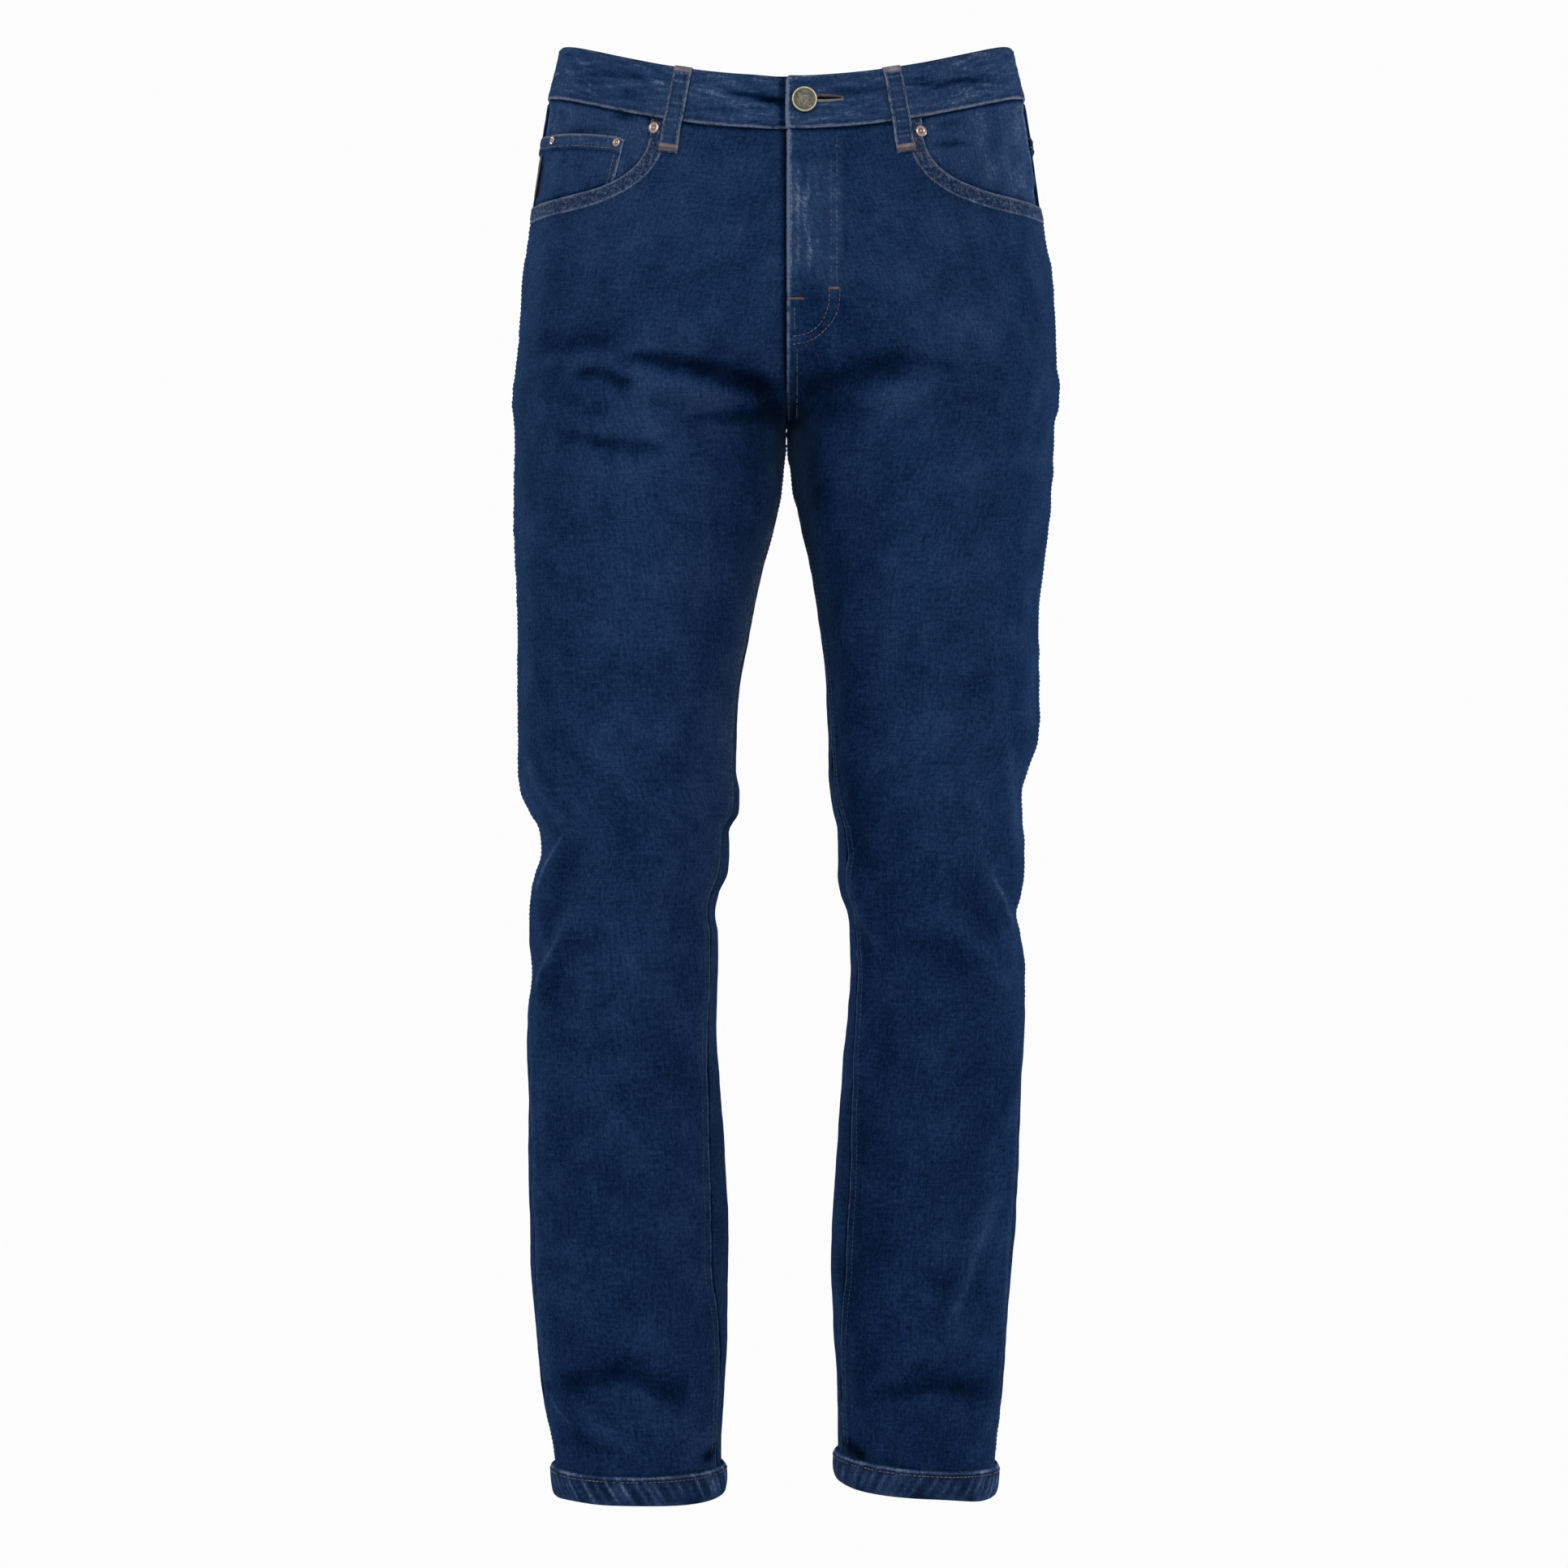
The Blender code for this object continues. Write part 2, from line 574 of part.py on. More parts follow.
# ---------------------------------------------------------------- pieces


def mouth_outline(side, margin=0.0):
    """The front pocket mouth with the corner it cuts off, seen square on."""
    corner_x, corner_z = MOUTH_CORNER
    outline = []
    for i in range(MOUTH_STEPS + 1):
        t = pi / 2 * i / MOUTH_STEPS
        x = corner_x - (MOUTH_WIDTH + margin) * cos(t) ** (2 / MOUTH_POWER)
        z = corner_z - (MOUTH_DEPTH + margin) * sin(t) ** (2 / MOUTH_POWER)
        outline.append((side * x, z))
    low, high = outline[-1][1], CUT_REACH
    outline += [(side * CUT_REACH, low), (side * CUT_REACH, high), (outline[0][0], high)]
    return outline


def make_front(side):
    """Front panel with its pocket mouth cut out."""
    name = f"front_{SIDE_NAMES[side]}"
    level, u = np.meshgrid(ROWS, columns_of("front"), indexing="ij")
    panel = panel_wall(name, side, "front", u, level, 0.0, DENIM, INDIGO)
    mouth = prism(f"mouth_{SIDE_NAMES[side]}", mouth_outline(side), -CUT_REACH, CUT_REACH)
    trim(panel, mouth, "DIFFERENCE")


def make_back(side):
    """Back panel below the yoke."""
    rows = rows_from(YOKE_SIDE + GAP)
    level, u = np.meshgrid(rows, columns_of("back"), indexing="ij")
    fade = np.clip((YOKE_FADE_END - level) / (YOKE_FADE_END - YOKE_SIDE), 0, 1)
    level = level + YOKE_DROP * u * fade
    panel_wall(f"back_{SIDE_NAMES[side]}", side, "back", u, level, 0.0, DENIM, INDIGO)
    return level, u


def make_yoke(side):
    """Yoke between the waistband and the back panel."""
    level, u = np.meshgrid(ROWS[ROWS <= YOKE_SIDE + HALF_GAP], columns_of("back"), indexing="ij")
    down = (level - ROWS[0]) / (YOKE_SIDE - ROWS[0])
    level = level + YOKE_DROP * u * down
    panel_wall(f"yoke_{SIDE_NAMES[side]}", side, "back", u, level, 0.0, DENIM, INDIGO)


def make_waistband():
    """One strip from the button lap, round the back, to the underlap behind the lap."""
    stations = [(LEFT, LAP_END)]
    for side, face, u in (
        (LEFT, "front", columns_of("front")[::-1]),
        (LEFT, "back", columns_of("back")[1:]),
        (RIGHT, "back", columns_of("back")[-2::-1]),
        (RIGHT, "front", columns_of("front")[1:]),
    ):
        angles = panel_angle(side, face, u, np.full(u.shape, WAIST_SEAM))
        stations += [(side, angle) for angle in angles]
    del stations[1]
    last = stations.pop()
    before = stations[-1][1]
    ramp = [before + (LAP_RAMP[1] - before) * t for t in (0.45, 1.0)]
    stations += [(RIGHT, angle) for angle in (*ramp, last[1], *UNDERLAP_ANGLES)]
    levels = np.array([WAIST_TOP, (WAIST_TOP + WAIST_SEAM) / 2, WAIST_SEAM])
    outer = np.zeros((3, len(stations), 3))
    inner = np.zeros_like(outer)
    for j, (side, angle) in enumerate(stations):
        step_in = 0.0
        if side == RIGHT:
            start, stop = LAP_RAMP
            step_in = (BAND_THICK + LAP_GAP) * smooth((angle - start) / (stop - start))
        at = np.full(3, angle)
        down = levels - [0.0, 0.0, UNDERLAP_SHORT if step_in > 0 else 0.0]
        outer[:, j] = cloth(side, at, down, BAND_PROUD - step_in)
        inner[:, j] = cloth(side, at, down, BAND_PROUD - BAND_THICK - step_in)
    band = shell("waistband", outer, inner, INDIGO)
    trim(band, buttonhole_slot(), "DIFFERENCE")
    trim(band, shank_hole(), "DIFFERENCE")


def buttonhole_slot():
    """Cutter of the buttonhole's slit through the lap."""
    xs = np.linspace(BUTTONHOLE_START, BUTTONHOLE_END, 4)
    grids = []
    for lift in (0.006, HOLE_LIFT):
        rows = []
        for height in (BUTTONHOLE_Z + BUTTONHOLE_HALF, BUTTONHOLE_Z - BUTTONHOLE_HALF):
            places = [front_place(LEFT, x, height) for x in xs]
            rows.append([cloth(LEFT, angle, level, lift) for angle, level in places])
        grids.append(np.array(rows))
    return as_cutter(shell("buttonhole", grids[0], grids[1], collection=CUTTERS))


def shank_hole():
    """Cutter of the buttonhole's round end, where the button's shank stands."""
    depth = 0.008
    build = bmesh.new()
    bmesh.ops.create_cone(
        build,
        cap_ends=True,
        segments=16,
        radius1=SHANK_HOLE_RADIUS,
        radius2=SHANK_HOLE_RADIUS,
        depth=depth,
    )
    cutter = as_cutter(object_from("shank_hole", build, collection=CUTTERS))
    place_on_cloth(cutter, LEFT, BUTTON_X, BUTTON_Z, HOLE_LIFT + depth / 2)
    return cutter


def bearer_lift(side, u, level):
    """Lift of the cloth behind a pocket mouth, which comes out at the side seam."""
    half_depth = oval(side, level)[3]
    angle = panel_angle(side, "front", u, level)
    from_seam = (angle - seam_angles(side, level)[0]) * half_depth
    at_seam = 1 - smooth(from_seam / FLUSH_RUN)
    above = 1 - smooth((level - FLUSH_END) / FLUSH_FADE)
    return BEARER_LIFT + BEARER_FLUSH * at_seam * above


def bearer_grid():
    """The stretch of the front panel's grid that lies behind a pocket mouth."""
    return np.meshgrid(ROWS[ROWS < BEARER_END], columns_of("front"), indexing="ij")


def make_bearer(side):
    """Denim behind the pocket mouth, which runs on under the front panel."""
    level, u = bearer_grid()
    lift = bearer_lift(side, u, level)
    name = f"bearer_{SIDE_NAMES[side]}"
    bearer = panel_wall(name, side, "front", u, level, lift, TRIM_CLOTH, INDIGO)
    cutter = prism(f"{name}_outline", mouth_outline(side, BEARER_MARGIN), -CUT_REACH, CUT_REACH)
    trim(bearer, cutter, "INTERSECT")


def make_coin_pocket():
    """Small patch pocket on the right bearer."""
    level, u = bearer_grid()
    lift = bearer_lift(RIGHT, u, level) + COIN_GAP + COIN_THICK
    pocket = panel_wall("coin_pocket", RIGHT, "front", u, level, lift, COIN_THICK, INDIGO)
    trim(pocket, prism("coin_outline", COIN_OUTLINE, -CUT_REACH, CUT_REACH), "INTERSECT")


def make_back_pocket(side, level, u):
    """Patch pocket from the back panel's own points."""
    name = f"back_pocket_{SIDE_NAMES[side]}"
    rows = slice(0, BACK_POCKET_ROWS)
    lift = BACK_POCKET_GAP + TRIM_CLOTH
    pocket = panel_wall(name, side, "back", u[rows], level[rows], lift, TRIM_CLOTH, INDIGO)
    centre_x, top = BACK_POCKET_CENTRE
    outline = []
    for reach, drop in (
        (-BACK_POCKET_TOP, 0.0),
        (BACK_POCKET_TOP, 0.0),
        (BACK_POCKET_FOOT, BACK_POCKET_SIDE),
        (0.0, BACK_POCKET_POINT),
        (-BACK_POCKET_FOOT, BACK_POCKET_SIDE),
    ):
        z = top - drop + BACK_POCKET_SLOPE * reach
        outline.append((side * (centre_x + reach), z))
    trim(pocket, prism(f"{name}_outline", outline, 0.0, CUT_REACH), "INTERSECT")


def make_loop(place):
    """Belt loop: a strip tacked at both ends that stands off the waistband between them."""
    level = np.array([station.level for station in LOOP_RUN])
    lift = np.array([station.lift for station in LOOP_RUN])
    run = (level - level[0]) / (level[-1] - level[0])
    angle = place.top + (place.foot - place.top) * run
    centre = skin(place.side, np.array(place.foot), np.array(WAIST_SEAM))
    ahead = skin(place.side, np.array(place.foot + 0.01), np.array(WAIST_SEAM))
    turn = 0.01 * LOOP_HALF_WIDTH / np.linalg.norm(ahead - centre)
    grids = []
    for thick in (LOOP_THICK, 0.0):
        strips = [
            cloth(place.side, angle + turn * across, level, lift + thick)
            for across in (-1, 0, 1)
        ]
        grids.append(np.stack(strips, axis=1))
    shell(place.name, grids[0], grids[1], DARK_INDIGO)


def make_hem(side):
    """Turned band round the end of a leg."""
    front, back = columns_of("front"), columns_of("back")[::-1]
    rings = []
    for point in HEM_SECTION:
        level = min(point.level, PANEL_END)
        angles = [panel_angle(side, "front", u, np.array(level)) for u in front]
        angles += [panel_angle(side, "back", u, np.array(level)) for u in back[1:-1]]
        rings.append([cloth(side, angle, np.array(point.level), point.lift) for angle in angles])
    tube(f"hem_{SIDE_NAMES[side]}", np.array(rings), INDIGO)


def tube(name, rings, finish):
    """A closed ring body: each row is one line round it, and the last row meets the first."""
    count, stations = rings.shape[:2]
    build = bmesh.new()
    verts = [[build.verts.new(point) for point in ring] for ring in rings]
    for i in range(count):
        for j in range(stations):
            m, k = (i + 1) % count, (j + 1) % stations
            build.faces.new((verts[i][j], verts[i][k], verts[m][k], verts[m][j]))
    object_from(name, build, finish)


def make_tab():
    """Bare woven tab caught in the right side seam."""
    levels = np.linspace(TAB_TOP, TAB_END, 3)
    half_depth = oval(RIGHT, levels)[3]
    start = seam_angles(RIGHT, levels)[0] + GAP / half_depth
    angles = np.stack([start, start + TAB_WIDTH / 2 / half_depth, start + TAB_WIDTH / half_depth], axis=1)
    level = np.repeat(levels[:, None], 3, axis=1)
    outer = cloth(RIGHT, angles, level, TAB_LIFT + TAB_THICK)
    inner = cloth(RIGHT, angles, level, TAB_LIFT)
    shell("side_tab", outer, inner, TAB_WEAVE)


def behind_fly(x, level, depth):
    """A point behind the front panels' facets: x off the centre plane, depth in from them."""
    side = RIGHT if x < 0 else LEFT
    below = max(1, int(np.searchsorted(ROWS, level)))
    pair = ROWS[below - 1 : below + 1]
    levels, u = np.meshgrid(pair, columns_of("front")[-2:], indexing="ij")
    corners = panel_points(side, "front", u, levels)
    t = (level - pair[0]) / (pair[1] - pair[0])
    outer, centre = (1 - t) * corners[0] + t * corners[1]
    share = (abs(x) - abs(centre[0])) / (abs(outer[0]) - abs(centre[0]))
    point = centre + share * (outer - centre)
    return (x, point[1] + depth, point[2])


def zip_strip(name, stations, thick, top, end, finish=None, collection=PARTS):
    """A strip down behind the fly, from stations of x and depth."""
    levels = [top, *ROWS[(ROWS > top) & (ROWS < end)], end]
    outer = [[behind_fly(x, level, depth) for x, depth in stations] for level in levels]
    inner = [[behind_fly(x, level, depth + thick) for x, depth in stations] for level in levels]
    return shell(name, np.array(outer), np.array(inner), finish, collection=collection)


def level_strip(half, depth):
    """Stations of a strip at one depth."""
    return ((-half, depth), (0.0, depth), (half, depth))


def make_zip():
    """Tape in a shallow tray, the closed chain in it, and the slider with its pull at the top."""
    tape = (
        (-ZIP_EDGE, ZIP_EDGE_DEPTH),
        (-ZIP_TRAY, ZIP_TRAY_DEPTH),
        (0.0, ZIP_TRAY_DEPTH),
        (ZIP_TRAY, ZIP_TRAY_DEPTH),
        (ZIP_EDGE, ZIP_EDGE_DEPTH),
    )
    zip_strip("zip_tape", tape, TAPE_THICK, ZIP_TOP, ZIP_END, WOVEN_TAPE)
    floor = ZIP_TRAY_DEPTH - GAP
    chain = level_strip(CHAIN_HALF, floor - CHAIN_THICK)
    zip_strip("zip_chain", chain, CHAIN_THICK, SLIDER_END + GAP, ZIP_END, ZIP_BRASS)
    body = level_strip(SLIDER_HALF, floor - SLIDER_THICK)
    slider = zip_strip("zip_slider", body, SLIDER_THICK, SLIDER_TOP, SLIDER_END, ZIP_BRASS)
    pull_depth = floor - CHAIN_THICK - GAP - PULL_THICK
    pull_top = (SLIDER_TOP + SLIDER_END) / 2
    stations = level_strip(PULL_HALF, pull_depth)
    pull = zip_strip("zip_pull", stations, PULL_THICK, pull_top, PULL_END, collection=CUTTERS)
    trim(slider, as_cutter(pull), "UNION")


def make_hardware():
    """Shank button and rivets."""
    button = turned("button", BUTTON_PROFILE, 1.0, AGED_BRASS)
    place_on_cloth(button, LEFT, BUTTON_X, BUTTON_Z, BUTTON_LIFT)
    for place in RIVET_PLACES:
        rivet = turned(place.name, RIVET_PROFILE, place.scale, COPPER)
        place_on_cloth(rivet, place.side, place.x, place.level_height, place.lift)


def main():
    for side in (RIGHT, LEFT):
        make_front(side)
        level, u = make_back(side)
        make_yoke(side)
        make_bearer(side)
        make_back_pocket(side, level, u)
        make_hem(side)
    make_waistband()
    make_coin_pocket()
    make_tab()
    for place in LOOP_PLACES:
        make_loop(place)
    make_zip()
    make_hardware()


main()
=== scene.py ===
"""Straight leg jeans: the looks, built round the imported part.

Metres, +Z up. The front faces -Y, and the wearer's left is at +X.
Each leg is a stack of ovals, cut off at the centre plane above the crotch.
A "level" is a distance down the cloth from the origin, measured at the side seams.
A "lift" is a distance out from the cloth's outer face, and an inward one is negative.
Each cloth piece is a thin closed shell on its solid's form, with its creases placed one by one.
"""

from collections import namedtuple
from math import cos, pi, radians, sin

import bmesh
import bpy
import numpy as np
from bpy.props import FloatProperty, FloatVectorProperty, PointerProperty
from bpy.types import Operator, Panel, PropertyGroup
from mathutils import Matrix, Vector
from mathutils.bvhtree import BVHTree


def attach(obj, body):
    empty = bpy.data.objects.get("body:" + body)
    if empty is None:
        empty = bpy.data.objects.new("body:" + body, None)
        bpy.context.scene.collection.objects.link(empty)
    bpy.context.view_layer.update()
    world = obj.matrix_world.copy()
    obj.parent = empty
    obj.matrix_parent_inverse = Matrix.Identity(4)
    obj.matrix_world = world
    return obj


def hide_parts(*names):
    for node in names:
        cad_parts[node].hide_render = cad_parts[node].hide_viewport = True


bl_info = {
    "name": "Straight leg jeans",
    "version": (1, 0, 0),
    "blender": (4, 5, 0),
    "location": "View3D > Sidebar > Jeans",
    "description": "Builds the cloth, stitching and metal of a pair of straight leg jeans",
    "category": "Add Mesh",
}

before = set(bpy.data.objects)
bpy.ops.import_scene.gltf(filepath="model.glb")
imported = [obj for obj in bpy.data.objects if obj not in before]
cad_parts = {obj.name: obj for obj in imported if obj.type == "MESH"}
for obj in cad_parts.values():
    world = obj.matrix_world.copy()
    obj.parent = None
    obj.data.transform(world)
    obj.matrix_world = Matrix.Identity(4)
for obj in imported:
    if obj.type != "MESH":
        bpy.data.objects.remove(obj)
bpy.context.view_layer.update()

# ---------------------------------------------------------------- sizes

RIGHT, LEFT = -1, 1  # the wearer's own sides
SIDE_NAMES = {RIGHT: "right", LEFT: "left"}
HALF_GAP = 0.00015
DENIM = 0.0012
TRIM_CLOTH = 0.0010

WAIST_TOP, WAIST_SEAM = -0.020, 0.018
FRONT_DIP, DIP_END = 0.038, 0.240
BAND_PROUD, BAND_THICK = 0.0010, 0.0024
LAP_END = radians(90.2)
LAP_GAP = 0.0010
LAP_RAMP = (radians(80.8), radians(88.8))
UNDERLAP_END = radians(105.0)
PANEL_END, HEM_TOP = 1.034, 1.0195
YOKE_SIDE, YOKE_DROP, YOKE_FADE_END = 0.055, 0.040, 0.165
HEM_RISE = {RIGHT: 0.0, LEFT: 0.010}
HEM_RISE_START, HEM_RISE_RUN = 0.90, 0.12

# The garment's sections: see the part for what each column means.
Section = namedtuple(
    "Section", "level right_out right_in left_in left_out front back out_turn in_turn"
)
SECTIONS = (
    Section(-0.020, 0.1655, -0.1655, -0.1655, 0.1655, 0.113, 0.118, 8, 0),
    Section(0.018, 0.1745, -0.1745, -0.1745, 0.1745, 0.116, 0.122, 8, 0),
    Section(0.060, 0.1815, -0.1760, -0.1760, 0.1815, 0.121, 0.130, 7, 0),
    Section(0.100, 0.1870, -0.1680, -0.1680, 0.1870, 0.124, 0.140, 5, 0),
    Section(0.150, 0.1943, -0.1450, -0.1450, 0.1960, 0.124, 0.149, 4, 0),
    Section(0.182, 0.1960, -0.1130, -0.1130, 0.1976, 0.122, 0.149, 3, 0),
    Section(0.212, 0.1988, -0.0740, -0.0740, 0.1988, 0.119, 0.146, 3, 0),
    Section(0.228, 0.2008, -0.0500, -0.0500, 0.2008, 0.116, 0.142, 3, 0),
    Section(0.242, 0.2012, -0.0240, -0.0240, 0.1996, 0.112, 0.137, 3, 0),
    Section(0.254, 0.2000, -0.0070, -0.0070, 0.1972, 0.107, 0.130, 3, 0),
    Section(0.262, 0.2000, 0.0002, 0.0002, 0.1966, 0.106, 0.127, 3, 0),
    Section(0.271, 0.2000, 0.0012, 0.0012, 0.1964, 0.103, 0.122, 3, 1),
    Section(0.301, 0.2003, 0.0035, 0.0045, 0.1946, 0.098, 0.111, 4, 3),
    Section(0.331, 0.2000, 0.0090, 0.0113, 0.1922, 0.095, 0.103, 4, 5),
    Section(0.361, 0.1988, 0.0167, 0.0173, 0.1885, 0.092, 0.096, 4, 7),
    Section(0.391, 0.1973, 0.0233, 0.0221, 0.1852, 0.090, 0.091, 5, 9),
    Section(0.450, 0.1970, 0.0340, 0.0293, 0.1850, 0.085, 0.083, 5, 12),
    Section(0.480, 0.1965, 0.0364, 0.0304, 0.1850, 0.083, 0.079, 5, 14),
    Section(0.510, 0.1968, 0.0370, 0.0310, 0.1762, 0.079, 0.073, 6, 16),
    Section(0.525, 0.1946, 0.0346, 0.0322, 0.1720, 0.078, 0.071, 6, 18),
    Section(0.540, 0.1880, 0.0352, 0.0346, 0.1725, 0.077, 0.069, 6, 20),
    Section(0.555, 0.1810, 0.0424, 0.0382, 0.1737, 0.076, 0.068, 7, 22),
    Section(0.570, 0.1797, 0.0424, 0.0382, 0.1743, 0.075, 0.067, 7, 24),
    Section(0.585, 0.1840, 0.0436, 0.0376, 0.1743, 0.074, 0.066, 7, 24),
    Section(0.600, 0.1875, 0.0496, 0.0394, 0.1719, 0.072, 0.066, 8, 24),
    Section(0.615, 0.1887, 0.0519, 0.0448, 0.1684, 0.071, 0.067, 8, 23),
    Section(0.630, 0.1887, 0.0501, 0.0466, 0.1719, 0.070, 0.068, 9, 22),
    Section(0.660, 0.1870, 0.0507, 0.0472, 0.1755, 0.068, 0.070, 10, 22),
    Section(0.690, 0.1905, 0.0513, 0.0448, 0.1755, 0.067, 0.073, 12, 24),
    Section(0.750, 0.1900, 0.0484, 0.0400, 0.1725, 0.064, 0.076, 16, 28),
    Section(0.810, 0.1898, 0.0442, 0.0358, 0.1707, 0.062, 0.076, 20, 32),
    Section(0.868, 0.1887, 0.0430, 0.0328, 0.1666, 0.061, 0.074, 21, 32),
    Section(0.928, 0.1840, 0.0436, 0.0352, 0.1618, 0.060, 0.071, 18, 22),
    Section(0.975, 0.1785, 0.0465, 0.0373, 0.1583, 0.061, 0.069, 14, 19),
    Section(1.010, 0.1710, 0.0480, 0.0380, 0.1538, 0.060, 0.068, 12, 20),
    Section(1.045, 0.1685, 0.0475, 0.0385, 0.1522, 0.060, 0.067, 12, 20),
)

# Folds and creases, each on a curve through three places (x, height) seen square on.
# A negative depth is a trough and a positive one a ridge; "above" widens the upper bank,
# and "tone" is how much the cloth there is faded (above 0) or darkened (-1 is darkest):
# the darkening is painted shade in the troughs, and the fading on ridges is wear.
Crease = namedtuple("Crease", "side face start middle end depth width above tone")
CREASES = (
    # the part's own folds
    Crease(RIGHT, "front", (-0.150, -0.214), (-0.078, -0.212), (-0.004, -0.244), -0.0065, 0.0110, 1.0, -0.10),
    Crease(RIGHT, "front", (-0.140, -0.240), (-0.085, -0.236), (-0.030, -0.252), 0.0030, 0.0100, 1.0, 0.03),
    Crease(LEFT, "front", (0.004, -0.250), (0.062, -0.226), (0.135, -0.219), -0.0060, 0.0120, 1.0, -0.12),
    Crease(LEFT, "front", (0.030, -0.262), (0.085, -0.240), (0.150, -0.238), 0.0030, 0.0110, 1.0, 0.03),
    Crease(RIGHT, "front", (-0.163, -0.262), (-0.118, -0.282), (-0.070, -0.276), -0.0025, 0.0100, 1.0, -0.05),
    Crease(RIGHT, "front", (-0.174, -0.962), (-0.116, -0.938), (-0.062, -0.974), -0.0050, 0.0085, 1.0, -0.15),
    Crease(RIGHT, "front", (-0.170, -0.978), (-0.132, -0.972), (-0.095, -0.998), 0.0030, 0.0080, 1.0, 0.03),
    Crease(LEFT, "front", (0.066, -0.972), (0.103, -0.944), (0.146, -0.966), -0.0045, 0.0085, 1.0, -0.12),
    Crease(LEFT, "front", (0.150, -0.845), (0.134, -0.886), (0.105, -0.926), 0.0035, 0.0090, 1.0, 0.02),
    Crease(RIGHT, "back", (-0.165, -0.262), (-0.090, -0.246), (-0.012, -0.228), -0.0060, 0.0120, 1.0, -0.45),
    Crease(LEFT, "back", (0.012, -0.232), (0.095, -0.244), (0.168, -0.268), -0.0055, 0.0120, 1.0, -0.45),
    Crease(RIGHT, "back", (-0.180, -0.575), (-0.120, -0.592), (-0.060, -0.570), -0.0050, 0.0100, 1.0, -0.35),
    Crease(LEFT, "back", (0.052, -0.566), (0.105, -0.588), (0.165, -0.574), -0.0050, 0.0100, 1.0, -0.35),
    Crease(RIGHT, "back", (-0.165, -0.968), (-0.112, -0.952), (-0.060, -0.972), -0.0045, 0.0085, 1.0, -0.35),
    Crease(LEFT, "back", (0.050, -0.966), (0.098, -0.950), (0.146, -0.968), -0.0045, 0.0085, 1.0, -0.35),
    # smaller ones of the knees and lower legs, front
    Crease(RIGHT, "front", (-0.052, -0.545), (-0.068, -0.556), (-0.090, -0.560), -0.0010, 0.0060, 1.3, -0.10),
    Crease(RIGHT, "front", (-0.048, -0.575), (-0.066, -0.584), (-0.092, -0.582), 0.0010, 0.0060, 1.3, 0.03),
    Crease(RIGHT, "front", (-0.056, -0.610), (-0.074, -0.604), (-0.096, -0.606), -0.0009, 0.0065, 1.3, -0.08),
    Crease(LEFT, "front", (0.042, -0.560), (0.058, -0.576), (0.080, -0.582), -0.0009, 0.0060, 1.3, -0.08),
    Crease(RIGHT, "front", (-0.160, -0.930), (-0.120, -0.916), (-0.078, -0.936), 0.0014, 0.0080, 1.4, 0.04),
    Crease(RIGHT, "front", (-0.160, -0.880), (-0.130, -0.894), (-0.094, -0.900), -0.0010, 0.0090, 1.3, -0.06),
    Crease(LEFT, "front", (0.072, -0.930), (0.104, -0.922), (0.140, -0.936), 0.0012, 0.0080, 1.4, 0.03),
    # back of the seat and thighs
    Crease(RIGHT, "back", (-0.172, -0.292), (-0.104, -0.274), (-0.020, -0.262), 0.0022, 0.0110, 1.2, 0.05),
    Crease(RIGHT, "back", (-0.150, -0.316), (-0.098, -0.302), (-0.044, -0.300), -0.0016, 0.0100, 1.3, -0.25),
    Crease(RIGHT, "back", (-0.176, -0.340), (-0.128, -0.336), (-0.082, -0.346), 0.0010, 0.0110, 1.2, 0.03),
    Crease(LEFT, "back", (0.022, -0.266), (0.100, -0.272), (0.172, -0.296), 0.0022, 0.0110, 1.2, 0.05),
    Crease(LEFT, "back", (0.046, -0.306), (0.094, -0.298), (0.150, -0.312), -0.0015, 0.0100, 1.3, -0.25),
    Crease(LEFT, "back", (0.080, -0.350), (0.120, -0.334), (0.170, -0.344), 0.0010, 0.0110, 1.2, 0.03),
    # back of the knees
    Crease(RIGHT, "back", (-0.176, -0.545), (-0.126, -0.560), (-0.066, -0.545), 0.0024, 0.0085, 1.2, 0.06),
    Crease(RIGHT, "back", (-0.178, -0.608), (-0.120, -0.620), (-0.064, -0.598), 0.0024, 0.0085, 1.2, 0.06),
    Crease(RIGHT, "back", (-0.170, -0.636), (-0.126, -0.644), (-0.074, -0.628), -0.0026, 0.0085, 1.2, -0.30),
    Crease(RIGHT, "back", (-0.164, -0.512), (-0.116, -0.528), (-0.076, -0.520), -0.0018, 0.0085, 1.2, -0.22),
    Crease(LEFT, "back", (0.056, -0.536), (0.108, -0.556), (0.162, -0.544), 0.0024, 0.0085, 1.2, 0.06),
    Crease(LEFT, "back", (0.056, -0.600), (0.104, -0.616), (0.160, -0.606), 0.0022, 0.0085, 1.2, 0.06),
    Crease(LEFT, "back", (0.064, -0.630), (0.108, -0.640), (0.156, -0.634), -0.0024, 0.0085, 1.2, -0.30),
    Crease(LEFT, "back", (0.070, -0.514), (0.112, -0.524), (0.154, -0.512), -0.0016, 0.0085, 1.2, -0.22),
    # back of the lower legs
    Crease(RIGHT, "back", (-0.168, -0.936), (-0.116, -0.924), (-0.062, -0.940), 0.0018, 0.0080, 1.2, 0.05),
    Crease(RIGHT, "back", (-0.160, -0.994), (-0.112, -0.980), (-0.068, -0.996), 0.0018, 0.0070, 1.2, 0.05),
    Crease(RIGHT, "back", (-0.150, -0.900), (-0.118, -0.892), (-0.078, -0.902), -0.0014, 0.0090, 1.2, -0.20),
    Crease(LEFT, "back", (0.052, -0.936), (0.100, -0.922), (0.150, -0.938), 0.0018, 0.0080, 1.2, 0.05),
    Crease(LEFT, "back", (0.058, -0.990), (0.096, -0.978), (0.144, -0.994), 0.0018, 0.0070, 1.2, 0.05),
    Crease(LEFT, "back", (0.064, -0.896), (0.096, -0.890), (0.138, -0.900), -0.0012, 0.0090, 1.2, -0.20),
)
